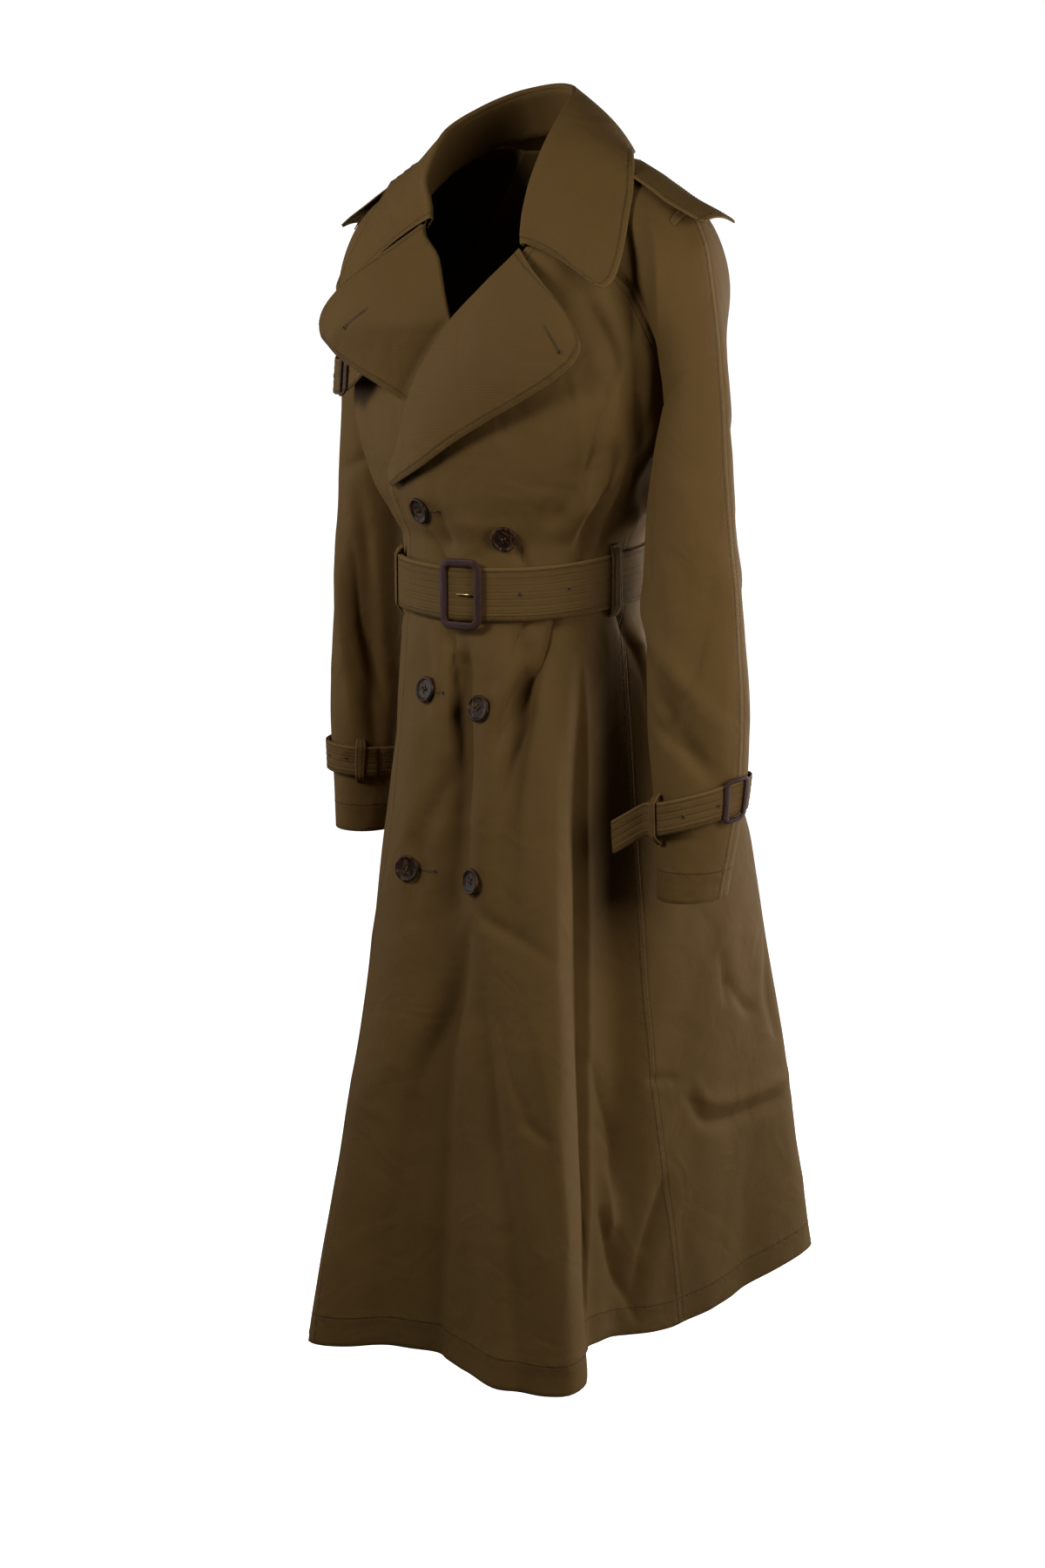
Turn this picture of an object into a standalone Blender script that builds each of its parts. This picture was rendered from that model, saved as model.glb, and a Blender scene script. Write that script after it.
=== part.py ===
"""A long double-breasted trench coat in cotton gabardine, worn open at the neck and hollow.

Every cloth piece is a thin wall worked out from tables: the body from cross sections and
fold lines round the vertical axis, the raglan sleeves from arcs between their seams, and
the collar and lapels from their roll line and their outer edge.

Frame: metres, +Z up. The wearer faces -Y and the wearer's left is +X. The origin is at the
middle of the neck opening, level with the side of the neck, where the wearer holds the coat.
Angles go round the body in degrees: 0 is the front, 90 the wearer's left, -90 the right.
"""
import bpy
import numpy as np

CLOTH = 0.0015          # wall of the cloth
SEAM = 0.0003           # gap between two pieces at a seam
UNDERARM_GAP = 0.0012   # how far each piece draws back where four meet at an underarm
LAYER = 0.003           # from one layer of cloth to the next
UNDER = 2 * LAYER       # how far the under front lies inside the outer front

HEM_Z = -1.22
HIP_Z = -0.60
KNEE_Z = -0.85
WAIST_LOW_Z = -0.446    # just below the belt

# ---------------------------------------------------------------- body

SECTION_COLUMNS = ("height", "left", "right", "front", "back", "squareness")
BODY_SECTIONS = (
    (0.050, 0.078, 0.078, 0.070, 0.078, 2.0),
    (0.020, 0.100, 0.100, 0.074, 0.092, 2.0),
    (-0.030, 0.128, 0.128, 0.090, 0.112, 2.0),
    (-0.060, 0.165, 0.165, 0.103, 0.122, 2.1),
    (-0.100, 0.192, 0.192, 0.118, 0.132, 2.2),
    (-0.160, 0.200, 0.200, 0.130, 0.142, 2.3),
    (-0.240, 0.190, 0.190, 0.134, 0.150, 2.2),
    (-0.310, 0.166, 0.168, 0.128, 0.152, 2.1),
    (-0.340, 0.149, 0.151, 0.121, 0.130, 2.0),
    (-0.366, 0.138, 0.139, 0.1125, 0.117, 2.0),
    (-0.446, 0.136, 0.137, 0.112, 0.116, 2.0),
)

# One row for each ridge or trough of the skirt, from the back round the wearer's right,
# the front and the left. The radius is measured from the vertical axis.
SKIRT_COLUMNS = ("name", "waist_angle", "hem_angle", "hip", "knee", "hem")
SKIRT_LINES = (
    ("back middle", -180.0, -180.0, 0.184, 0.236, 0.300),
    ("right back trough 1", -168.0, -168.0, 0.176, 0.222, 0.274),
    ("right back ridge 1", -157.0, -156.0, 0.190, 0.246, 0.312),
    ("right back trough 2", -146.0, -145.0, 0.178, 0.222, 0.268),
    ("right back ridge 2", -134.0, -133.0, 0.190, 0.238, 0.292),
    ("right back trough 3", -122.0, -120.0, 0.176, 0.212, 0.246),
    ("right side ridge", -108.0, -107.0, 0.180, 0.214, 0.252),
    ("right side trough", -96.0, -93.0, 0.168, 0.194, 0.222),
    ("right front ridge", -80.0, -77.0, 0.160, 0.188, 0.222),
    ("right front trough", -66.0, -60.0, 0.142, 0.166, 0.198),
    ("right front panel", -56.0, -40.0, 0.140, 0.168, 0.212),
    ("front edge", -49.0, -17.5, 0.141, 0.190, 0.276),
    ("front flat", -26.0, -4.0, 0.146, 0.182, 0.230),
    ("front trough", 2.0, 12.0, 0.132, 0.160, 0.200),
    ("front rise", 22.0, 24.0, 0.146, 0.180, 0.232),
    ("flute near side", 38.0, 35.0, 0.148, 0.198, 0.274),
    ("flute ridge", 51.0, 47.0, 0.164, 0.218, 0.288),
    ("flute far side", 58.5, 52.5, 0.156, 0.200, 0.270),
    ("left trough", 68.0, 60.5, 0.128, 0.142, 0.180),
    ("left flat", 84.0, 84.0, 0.142, 0.158, 0.170),
    ("left side", 102.0, 106.0, 0.168, 0.186, 0.188),
    ("left back slope", 120.0, 128.0, 0.204, 0.242, 0.248),
    ("left back ridge", 136.0, 145.0, 0.224, 0.290, 0.352),
    ("left back trough", 150.0, 157.0, 0.196, 0.248, 0.300),
    ("back ridge", 163.0, 168.0, 0.204, 0.262, 0.330),
)

# How far the hem drops below its plain height round the coat.
HEM_DROP_COLUMNS = ("angle", "drop")
HEM_DROP = (
    (-180.0, 0.000),
    (-110.0, 0.004),
    (-60.0, 0.000),
    (62.0, 0.000),
    (84.0, 0.009),
    (104.0, 0.016),
    (124.0, 0.010),
    (142.0, -0.013),
    (160.0, -0.004),
    (180.0, 0.000),
)

# One row for each soft ridge (+) or trough (-) laid over the chest and back.
CREASE_COLUMNS = ("name", "angle_top", "z_top", "angle_low", "z_low", "width_top", "width_low", "rise")
BODY_CREASES = (
    ("left underarm drag", 84.0, -0.235, 60.0, -0.354, 9.0, 6.0, 0.010),
    ("left drag hollow", 70.0, -0.250, 48.0, -0.352, 8.0, 5.0, -0.007),
    ("left lower drag", 98.0, -0.290, 80.0, -0.356, 8.0, 6.0, 0.008),
    ("chest hollow", 58.0, -0.130, 66.0, -0.230, 8.0, 10.0, -0.006),
    ("button pull", -6.0, -0.330, -2.0, -0.376, 5.0, 4.0, -0.005),
    ("button ridge", 12.0, -0.335, 16.0, -0.376, 6.0, 4.0, 0.004),
    ("right underarm drag", -84.0, -0.235, -66.0, -0.354, 9.0, 6.0, 0.007),
    ("right drag hollow", -98.0, -0.270, -84.0, -0.354, 7.0, 5.0, -0.006),
    ("left blade fold", 118.0, -0.200, 132.0, -0.352, 10.0, 7.0, 0.010),
    ("left blade hollow", 132.0, -0.180, 146.0, -0.350, 8.0, 6.0, -0.008),
    ("back blouse", 160.0, -0.260, 164.0, -0.352, 9.0, 6.0, 0.008),
    ("right blade fold", -124.0, -0.200, -136.0, -0.352, 10.0, 7.0, 0.010),
    ("right blade hollow", -142.0, -0.190, -152.0, -0.350, 8.0, 6.0, -0.008),
    ("buckle fold", 0.0, -0.450, 2.0, -0.620, 4.0, 6.0, 0.007),
    ("buckle hollow", 8.0, -0.450, 13.0, -0.700, 4.0, 6.0, -0.010),
    ("waist fold 1", 32.0, -0.450, 26.0, -0.640, 4.0, 6.0, 0.008),
    ("waist hollow 1", 41.0, -0.450, 38.0, -0.580, 4.0, 5.0, -0.007),
    ("left hip fold", 98.0, -0.450, 104.0, -0.600, 6.0, 8.0, 0.008),
    ("left hip hollow", 110.0, -0.450, 118.0, -0.600, 5.0, 8.0, -0.008),
    ("back gather 1", 172.0, -0.450, 174.0, -0.600, 5.0, 7.0, -0.008),
    ("back gather 2", -174.0, -0.450, -174.0, -0.600, 5.0, 7.0, 0.007),
    ("right hip fold", -102.0, -0.450, -106.0, -0.600, 5.0, 7.0, 0.008),
    ("right front fold", -70.0, -0.450, -66.0, -0.600, 5.0, 6.0, -0.005),
)

# Front edge of the outer (left) front below the break of the lapel, roll line above it.
LEFT_EDGE_COLUMNS = ("height", "angle")
LEFT_EDGE = (
    (-0.030, 50.0),
    (-0.050, 46.0),
    (-0.072, 38.0),
    (-0.104, 23.0),
    (-0.146, 3.4),
    (-0.201, -13.0),
    (-0.264, -24.7),
    (-0.314, -40.5),
    (-0.350, -42.5),
    (-0.388, -45.5),
    (-0.446, -49.0),
    (-0.516, -37.0),
    (-0.608, -33.6),
    (-0.720, -30.4),
    (-0.834, -27.6),
    (-0.958, -24.6),
    (-1.075, -21.6),
    (-1.220, -17.5),
)

# The same for the under (right) front.
RIGHT_EDGE_COLUMNS = ("height", "angle")
RIGHT_EDGE = (
    (-0.030, -46.0),
    (-0.050, -36.0),
    (-0.079, -14.0),
    (-0.122, -2.0),
    (-0.146, 4.0),
    (-0.201, 16.0),
    (-0.264, 27.0),
    (-0.314, 40.0),
    (-0.388, 44.0),
    (-0.446, 47.0),
    (-0.516, 36.0),
    (-0.608, 34.0),
    (-0.720, 32.0),
    (-0.958, 28.0),
    (-1.220, 26.0),
)

# Side seams, as angles.
SIDE_SEAM_COLUMNS = ("height", "left", "right")
SIDE_SEAM = (
    (-0.240, 90.0, -90.0),
    (-0.446, 90.0, -92.0),
    (-0.800, 92.0, -96.0),
    (-1.220, 108.0, -100.0),
)

# ---------------------------------------------------------------- sleeves

UNDERARM_STEP = 6.0
# Near the underarm the sleeve doubles back along the body, so its seam stands further out.
UNDERARM_PUSH_STEPS = (3.0, 4.0, 5.0, 6.0, 7.5)
UNDERARM_PUSH = (0.0, 0.0006, 0.0018, 0.0024, 0.0)

# Raglan seams on the body, from the neck (step 0) to the underarm.
RAGLAN_COLUMNS = ("step", "front_z", "front_angle", "back_z", "back_angle")
RAGLAN = (
    (0.0, -0.030, 54.0, 0.036, 142.0),
    (1.0, -0.060, 62.5, 0.004, 134.0),
    (2.0, -0.094, 70.5, -0.036, 126.0),
    (3.0, -0.130, 77.0, -0.082, 117.5),
    (4.0, -0.168, 82.0, -0.132, 108.5),
    (5.0, -0.206, 86.5, -0.188, 98.5),
    (6.0, -0.240, 90.0, -0.240, 90.0),
)

# One row for each section of a sleeve: the overarm point, then how the front and the back
# half leave their seam (out, ahead, up) and how far each runs past the overarm point.
SLEEVE_COLUMNS = (
    "step", "over_x", "over_y", "over_z",
    "front_out", "front_ahead", "front_up", "front_reach",
    "back_out", "back_ahead", "back_up", "back_reach",
)
LEFT_SLEEVE = (
    (0.0, 0.100, 0.010, 0.034, 0.006, -0.002, 0.018, 0.016, 0.010, 0.006, 0.006, 0.020),
    (1.0, 0.147, 0.006, 0.0130, 0.008, -0.004, 0.020, 0.022, 0.016, 0.012, 0.010, 0.034),
    (2.0, 0.186, 0.003, -0.0065, 0.016, -0.012, 0.026, 0.034, 0.022, 0.018, 0.014, 0.044),
    (3.0, 0.215, 0.000, -0.029, 0.024, -0.028, 0.024, 0.048, 0.024, 0.026, 0.014, 0.048),
    (4.0, 0.236, -0.004, -0.064, 0.024, -0.044, 0.018, 0.056, 0.024, 0.032, 0.012, 0.048),
    (5.0, 0.249, -0.009, -0.114, 0.020, -0.052, 0.010, 0.060, 0.020, 0.034, 0.008, 0.044),
    (6.0, 0.259, -0.013, -0.164, 0.014, -0.054, 0.004, 0.062, 0.014, 0.032, 0.002, 0.040),
    (7.0, 0.268, -0.016, -0.226, 0.003, -0.060, 0.000, 0.062, 0.004, 0.034, 0.000, 0.042),
    (8.0, 0.277, -0.018, -0.294, 0.000, -0.064, 0.000, 0.062, 0.000, 0.038, 0.000, 0.044),
    (9.0, 0.286, -0.019, -0.366, 0.000, -0.066, 0.000, 0.064, 0.000, 0.042, 0.000, 0.048),
    (10.0, 0.294, -0.020, -0.438, 0.000, -0.070, 0.000, 0.068, 0.000, 0.046, 0.000, 0.052),
    (11.0, 0.300, -0.021, -0.510, 0.000, -0.074, 0.000, 0.072, 0.000, 0.050, 0.000, 0.056),
    (12.0, 0.302, -0.024, -0.580, 0.000, -0.074, 0.000, 0.070, 0.000, 0.050, 0.000, 0.054),
    (13.0, 0.298, -0.030, -0.646, 0.000, -0.068, 0.000, 0.064, 0.000, 0.044, 0.000, 0.046),
    (14.0, 0.290, -0.036, -0.711, 0.000, -0.062, 0.000, 0.058, 0.000, 0.042, 0.000, 0.042),
)
RIGHT_SLEEVE = (
    (0.0, -0.100, 0.012, 0.034, 0.006, -0.002, 0.018, 0.016, 0.010, 0.006, 0.006, 0.020),
    (1.0, -0.147, 0.010, 0.0130, 0.008, -0.004, 0.020, 0.022, 0.016, 0.012, 0.010, 0.036),
    (2.0, -0.186, 0.010, -0.0065, 0.016, -0.010, 0.026, 0.034, 0.022, 0.020, 0.014, 0.046),
    (3.0, -0.216, 0.012, -0.029, 0.024, -0.020, 0.024, 0.044, 0.024, 0.030, 0.014, 0.054),
    (4.0, -0.240, 0.015, -0.064, 0.024, -0.032, 0.018, 0.050, 0.024, 0.042, 0.012, 0.058),
    (5.0, -0.256, 0.020, -0.114, 0.020, -0.036, 0.010, 0.052, 0.020, 0.052, 0.008, 0.056),
    (6.0, -0.267, 0.026, -0.164, 0.014, -0.036, 0.004, 0.050, 0.014, 0.058, 0.002, 0.056),
    (7.0, -0.277, 0.032, -0.226, 0.004, -0.044, 0.000, 0.054, 0.004, 0.060, 0.000, 0.058),
    (8.0, -0.283, 0.036, -0.294, 0.000, -0.050, 0.000, 0.058, 0.000, 0.060, 0.000, 0.060),
    (9.0, -0.288, 0.039, -0.366, 0.000, -0.056, 0.000, 0.062, 0.000, 0.062, 0.000, 0.062),
    (10.0, -0.293, 0.040, -0.438, 0.000, -0.062, 0.000, 0.066, 0.000, 0.066, 0.000, 0.066),
    (11.0, -0.297, 0.040, -0.510, 0.000, -0.066, 0.000, 0.070, 0.000, 0.070, 0.000, 0.070),
    (12.0, -0.299, 0.039, -0.580, 0.000, -0.066, 0.000, 0.070, 0.000, 0.068, 0.000, 0.068),
    (13.0, -0.297, 0.037, -0.650, 0.000, -0.062, 0.000, 0.064, 0.000, 0.060, 0.000, 0.060),
    (14.0, -0.293, 0.036, -0.724, 0.000, -0.060, 0.000, 0.062, 0.000, 0.058, 0.000, 0.058),
)

# Underarm seam of each sleeve, from the underarm to the cuff.
UNDERARM_COLUMNS = ("step", "left_x", "left_y", "left_z", "right_x", "right_y", "right_z")
UNDERARM = (
    (6.0, 0.190, 0.000, -0.240, -0.190, 0.000, -0.240),
    (7.0, 0.188, -0.008, -0.282, -0.193, 0.016, -0.282),
    (8.0, 0.185, -0.012, -0.332, -0.195, 0.028, -0.332),
    (9.0, 0.185, -0.014, -0.392, -0.198, 0.034, -0.392),
    (10.0, 0.188, -0.016, -0.454, -0.202, 0.038, -0.454),
    (11.0, 0.195, -0.018, -0.520, -0.206, 0.039, -0.520),
    (12.0, 0.204, -0.022, -0.586, -0.211, 0.038, -0.586),
    (13.0, 0.213, -0.028, -0.650, -0.217, 0.037, -0.653),
    (14.0, 0.222, -0.034, -0.714, -0.222, 0.036, -0.724),
)

# Soft folds of the sleeves: across is 0 at the seam below and 1 at the overarm seam.
SLEEVE_CREASE_COLUMNS = (
    "name", "side", "half", "step_top", "across_top", "step_low", "across_low", "width", "rise",
)
SLEEVE_CREASES = (
    ("left elbow fold", "left", "front", 9.6, 0.25, 11.2, 0.80, 0.09, 0.005),
    ("left elbow hollow", "left", "front", 10.2, 0.22, 11.8, 0.72, 0.08, -0.005),
    ("left back elbow fold", "left", "back", 9.4, 0.75, 11.0, 0.25, 0.09, 0.005),
    ("right elbow hollow", "right", "front", 9.2, 0.35, 12.2, 0.20, 0.08, -0.008),
    ("right elbow fold", "right", "front", 9.8, 0.60, 11.8, 0.42, 0.10, 0.005),
    ("right back elbow fold", "right", "back", 9.4, 0.75, 11.0, 0.25, 0.09, 0.005),
)

# ---------------------------------------------------------------- lapels and collar

# Each row runs from the roll line (by its height) to the outer edge, whose distance off the
# body is edge_off. Turn is the radius of the roll, lift how high the cloth swells between.
LAPEL_COLUMNS = ("roll_z", "edge_angle", "edge_z", "edge_off", "turn", "lift")
LEFT_LAPEL = (
    (-0.070, 51.7, -0.124, 0.0196, 0.0030, 0.010),
    (-0.075, 54.5, -0.142, 0.0225, 0.0030, 0.010),
    (-0.082, 56.0, -0.160, 0.0225, 0.0030, 0.010),
    (-0.093, 54.4, -0.174, 0.0204, 0.0029, 0.010),
    (-0.112, 48.8, -0.192, 0.0181, 0.0028, 0.009),
    (-0.136, 37.8, -0.215, 0.0163, 0.0026, 0.008),
    (-0.165, 24.9, -0.236, 0.0142, 0.0024, 0.006),
    (-0.205, 9.4, -0.259, 0.0124, 0.0022, 0.004),
    (-0.255, -9.7, -0.286, 0.0100, 0.0019, 0.002),
    (-0.302, -30.4, -0.308, 0.0070, 0.0016, 0.001),
)
RIGHT_LAPEL = (
    (-0.046, -47.8, -0.134, 0.0428, 0.0030, 0.012),
    (-0.051, -50.2, -0.144, 0.0473, 0.0030, 0.012),
    (-0.058, -50.7, -0.155, 0.0443, 0.0030, 0.012),
    (-0.068, -48.2, -0.165, 0.0392, 0.0029, 0.012),
    (-0.086, -40.4, -0.186, 0.0292, 0.0026, 0.010),
    (-0.108, -29.2, -0.208, 0.0184, 0.0022, 0.007),
    (-0.136, -15.4, -0.234, 0.0058, 0.0018, 0.002),
    (-0.180, -0.9, -0.258, -0.0030, 0.0015, 0.000),
    (-0.240, 19.9, -0.284, -0.0030, 0.0015, 0.000),
    (-0.302, 34.0, -0.308, -0.0030, 0.0015, 0.000),
)

# The collar from the wearer's left front round the back to the right front: the roll line,
# the foot of the stand and the outer edge of the leaf.
COLLAR_COLUMNS = (
    "name", "roll_x", "roll_y", "roll_z", "foot_x", "foot_y", "foot_z",
    "edge_x", "edge_y", "edge_z", "turn", "lift", "flat",
)
COLLAR = (
    ("left front edge", 0.078, -0.098, -0.062, 0.0768, -0.0899, -0.064,
     0.160, -0.096, -0.096, 0.003, 0.010, 0.004),
    ("left tip round", 0.077, -0.096, -0.056, 0.0807, -0.0866, -0.060,
     0.173, -0.090, -0.103, 0.003, 0.011, 0.004),
    ("left tip side", 0.075, -0.092, -0.048, 0.0834, -0.0800, -0.054,
     0.180, -0.082, -0.096, 0.003, 0.012, 0.004),
    ("left chest", 0.072, -0.085, -0.032, 0.0840, -0.0708, -0.044,
     0.182, -0.073, -0.078, 0.003, 0.018, 0.010),
    ("left collarbone", 0.069, -0.070, -0.002, 0.0870, -0.0500, -0.024,
     0.168, -0.036, -0.028, 0.003, 0.022, 0.014),
    ("left shoulder", 0.066, -0.035, 0.046, 0.086, -0.012, 0.012,
     0.134, 0.012, 0.024, 0.003, 0.020, 0.014),
    ("left back", 0.052, 0.012, 0.080, 0.074, 0.036, 0.036,
     0.095, 0.066, 0.031, 0.003, 0.016, 0.012),
    ("left nape", 0.028, 0.044, 0.094, 0.042, 0.068, 0.050,
     0.050, 0.105, 0.022, 0.003, 0.012, 0.012),
    ("nape", 0.000, 0.056, 0.098, 0.000, 0.078, 0.054,
     0.000, 0.122, 0.014, 0.003, 0.012, 0.012),
    ("right nape", -0.032, 0.046, 0.093, -0.042, 0.068, 0.050,
     -0.054, 0.110, 0.014, 0.003, 0.012, 0.012),
    ("right back", -0.062, 0.014, 0.076, -0.074, 0.036, 0.036,
     -0.106, 0.082, 0.006, 0.003, 0.014, 0.012),
    ("right shoulder", -0.080, -0.028, 0.048, -0.088, -0.012, 0.010,
     -0.146, 0.026, 0.002, 0.003, 0.022, 0.014),
    ("right collarbone", -0.080, -0.056, 0.008, -0.088, -0.046, -0.014,
     -0.172, -0.030, -0.034, 0.003, 0.018, 0.012),
    ("right chest", -0.071, -0.0635, -0.016, -0.0790, -0.0580, -0.032,
     -0.178, -0.076, -0.078, 0.003, 0.014, 0.010),
    ("right tip side", -0.066, -0.0670, -0.026, -0.0735, -0.0650, -0.038,
     -0.176, -0.094, -0.100, 0.003, 0.012, 0.008),
    ("right tip round", -0.0635, -0.0700, -0.032, -0.0710, -0.0690, -0.042,
     -0.168, -0.104, -0.110, 0.003, 0.011, 0.007),
    ("right front edge", -0.061, -0.0735, -0.038, -0.0680, -0.0730, -0.045,
     -0.150, -0.110, -0.108, 0.003, 0.010, 0.006),
)


# ---------------------------------------------------------------- tables and curves

def table(columns, rows):
    """The rows as one array for each named column."""
    return {name: np.array([row[i] for row in rows]) for i, name in enumerate(columns)}


def curve(known, values, at):
    """A smooth curve through the values that never overshoots them (monotone cubic)."""
    order = np.argsort(known)
    known = np.asarray(known, float)[order]
    values = np.asarray(values, float)[order]
    at = np.clip(np.asarray(at, float), known[0], known[-1])
    gap = np.diff(known)
    slope = np.diff(values) / gap
    tangent = np.zeros_like(values)
    both = slope[1:] + slope[:-1]
    rising = slope[1:] * slope[:-1] > 0
    tangent[1:-1] = np.where(rising, 2 * slope[1:] * slope[:-1] / np.where(rising, both, 1.0), 0.0)
    tangent[0], tangent[-1] = slope[0], slope[-1]
    k = np.clip(np.searchsorted(known, at, side="right") - 1, 0, len(known) - 2)
    t = (at - known[k]) / gap[k]
    return (values[k] * (1 + 2 * t) * (1 - t) ** 2
            + values[k + 1] * t * t * (3 - 2 * t)
            + gap[k] * t * (1 - t) * (tangent[k] * (1 - t) - tangent[k + 1] * t))


def columns_at(columns, rows, at, names, key=None):
    """The named columns at the places in at, as one array with a last axis of len(names)."""
    data = table(columns, rows)
    known = data[key or columns[0]]
    return np.stack([curve(known, data[name], at) for name in names], axis=-1)


def unit(vectors):
    length = np.linalg.norm(vectors, axis=-1, keepdims=True)
    return vectors / np.maximum(length, 1e-12)


def bezier(start, leave, arrive, end, t):
    """Cubic curve from start to end; leave and arrive are the two handles, as points."""
    t = np.asarray(t, float)[:, None]
    return ((1 - t) ** 3 * start + 3 * t * (1 - t) ** 2 * leave
            + 3 * t * t * (1 - t) * arrive + t ** 3 * end)


# ---------------------------------------------------------------- body surface

def oval(angles, z):
    """Radius of the plain body section at one height."""
    left, right, front, back, power = columns_at(
        SECTION_COLUMNS, BODY_SECTIONS, z, ("left", "right", "front", "back", "squareness"))
    a = np.radians(angles)
    across = np.where(np.sin(a) > 0, left, right)
    deep = np.where(np.cos(a) > 0, front, back)
    return ((np.abs(np.sin(a)) / across) ** power + (np.abs(np.cos(a)) / deep) ** power) ** (-1 / power)


def skirt(angles, z):
    """Radius of the skirt at one height, through every ridge and trough line."""
    lines = table(SKIRT_COLUMNS, SKIRT_LINES)
    down = np.clip((WAIST_LOW_Z - z) / (WAIST_LOW_Z - HEM_Z), 0, 1)
    spread = 1 - (1 - down) ** 3
    line_angle = lines["waist_angle"] + (lines["hem_angle"] - lines["waist_angle"]) * spread
    waist = oval(lines["waist_angle"], WAIST_LOW_Z)
    line_radius = np.array([
        curve((WAIST_LOW_Z, HIP_Z, KNEE_Z, HEM_Z), levels, z)
        for levels in zip(waist, lines["hip"], lines["knee"], lines["hem"])])
    around = np.concatenate([line_angle - 360, line_angle, line_angle + 360])
    return curve(around, np.tile(line_radius, 3), angles)


def creases(angles, z):
    """Height of the soft folds of the chest and back at one height."""
    rise = np.zeros_like(angles)
    for _, top, z_top, low, z_low, width_top, width_low, height in BODY_CREASES:
        along = (z_top - z) / (z_top - z_low)
        above_waist = z_top > WAIST_LOW_Z
        before, after = (0.35, 0.10) if above_waist else (0.00, 0.60)
        if not -before < along < 1 + after:
            continue
        t = min(max(along, 0.0), 1.0)
        middle = top + (low - top) * t
        width = width_top + (width_low - width_top) * t
        fade = (np.clip((along + before) / (before + 0.15), 0, 1)
                * np.clip((1 + after - along) / (after + 0.25), 0, 1))
        away = (angles - middle + 180) % 360 - 180
        rise = rise + height * fade ** 2 * np.exp(-(away / width) ** 2)
    return rise


def body_radius(angles, z):
    if z >= WAIST_LOW_Z:
        return oval(angles, z) + creases(angles, z)
    return skirt(angles, z) + creases(angles, z)


def dropped(angles, z):
    """Height of each point of a level line: near the hem it sinks with the hem's drop."""
    around = (np.asarray(angles, float) + 180) % 360 - 180
    share = np.clip((WAIST_LOW_Z - z) / (WAIST_LOW_Z - HEM_Z), 0, 1) ** 4
    return z - share * columns_at(HEM_DROP_COLUMNS, HEM_DROP, around, ("drop",))[..., 0]


def body_point(angles, z, out=0.0):
    """Points of the body surface at one level, moved out from the axis by out."""
    angles = np.atleast_1d(np.asarray(angles, float))
    r = body_radius(angles, z) + out
    a = np.radians(angles)
    return np.stack([r * np.sin(a), -r * np.cos(a), dropped(angles, z)], axis=-1)


def left_edge(z):
    return float(columns_at(LEFT_EDGE_COLUMNS, LEFT_EDGE, z, ("angle",))[0])


def right_edge(z):
    return float(columns_at(RIGHT_EDGE_COLUMNS, RIGHT_EDGE, z, ("angle",))[0])


def side_seam(z, side):
    return float(columns_at(SIDE_SEAM_COLUMNS, SIDE_SEAM, z, (side,))[0])


def raglan(step, half):
    """Height and angle (for the left side) of the raglan seam at one step from the neck."""
    return columns_at(RAGLAN_COLUMNS, RAGLAN, step, (half + "_z", half + "_angle"))


# ---------------------------------------------------------------- meshes

def grid_normals(grid):
    """Unit normals of a grid of points, rows by columns."""
    down = np.gradient(grid, axis=0)
    across = np.gradient(grid, axis=1)
    return unit(np.cross(across, down))


def turned_normals(grid):
    """Normals of a grid whose first column starts a roll, true to the roll at its start."""
    normals = grid_normals(grid)
    first = unit(grid[:, 1] - grid[:, 0])
    second = unit(grid[:, 2] - grid[:, 1])
    bend = np.sum(first * second, axis=-1, keepdims=True)
    across = unit((1 + 2 * bend) * first - second)
    normals[:, 0] = unit(np.cross(across, np.gradient(grid[:, 0], axis=0)))
    return normals


def share_normals(first, second):
    """Two rows of outward normals that meet at a seam both take the direction between them."""
    mean = unit(first + second)
    spread = np.sum(mean * first, axis=-1, keepdims=True)
    mean = mean / np.clip(spread, 0.3, 1.0)
    first[...] = mean
    second[...] = mean


def wall(grid, normals, thickness=CLOTH, mirrored=False):
    """Points and triangles of a wall whose middle surface is the grid.

    A mirrored wall has its four-sided cells cut along their other diagonal.
    """
    rows, cols = grid.shape[:2]
    outer = (grid + normals * thickness / 2).reshape(-1, 3)
    inner = (grid - normals * thickness / 2).reshape(-1, 3)
    points = np.concatenate([outer, inner])
    shift = rows * cols
    faces = []
    for i in range(rows - 1):
        for j in range(cols - 1):
            a = i * cols + j
            b, c, d = a + 1, a + cols + 1, a + cols
            cell = [(a, b, d), (b, c, d)] if mirrored else [(a, b, c), (a, c, d)]
            faces += cell
            faces += [(p + shift, r + shift, q + shift) for p, q, r in cell]
    rim = ([j for j in range(cols)]
           + [i * cols + cols - 1 for i in range(1, rows)]
           + [(rows - 1) * cols + j for j in range(cols - 2, -1, -1)]
           + [i * cols for i in range(rows - 2, 0, -1)])
    for a, b in zip(rim, rim[1:] + rim[:1]):
        faces += [(b, a, a + shift), (b, a + shift, b + shift)]
    return points, faces


def add_object(name, points, faces, slot, smooth=True):
    """A closed mesh object whose faces point outwards."""
    points = np.asarray(points, float)
    corners = points[np.asarray(faces)]
    volume = np.sum(np.cross(corners[:, 0], corners[:, 1]) * corners[:, 2]) / 6
    if volume < 0:
        faces = [tuple(reversed(face)) for face in faces]
    mesh = bpy.data.meshes.new(name)
    mesh.from_pydata([tuple(p) for p in points], [], faces)
    mesh.update()
    obj = bpy.data.objects.new(name, mesh)
    bpy.context.scene.collection.objects.link(obj)
    mesh.materials.append(MATERIALS[slot])
    for polygon in mesh.polygons:
        polygon.use_smooth = smooth
    return obj


def add_wall(name, grid, slot="gabardine", normals=None, thickness=CLOTH, mirrored=False):
    normals = grid_normals(grid) if normals is None else normals
    points, faces = wall(grid, normals, thickness, mirrored)
    return add_object(name, points, faces, slot)


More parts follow.
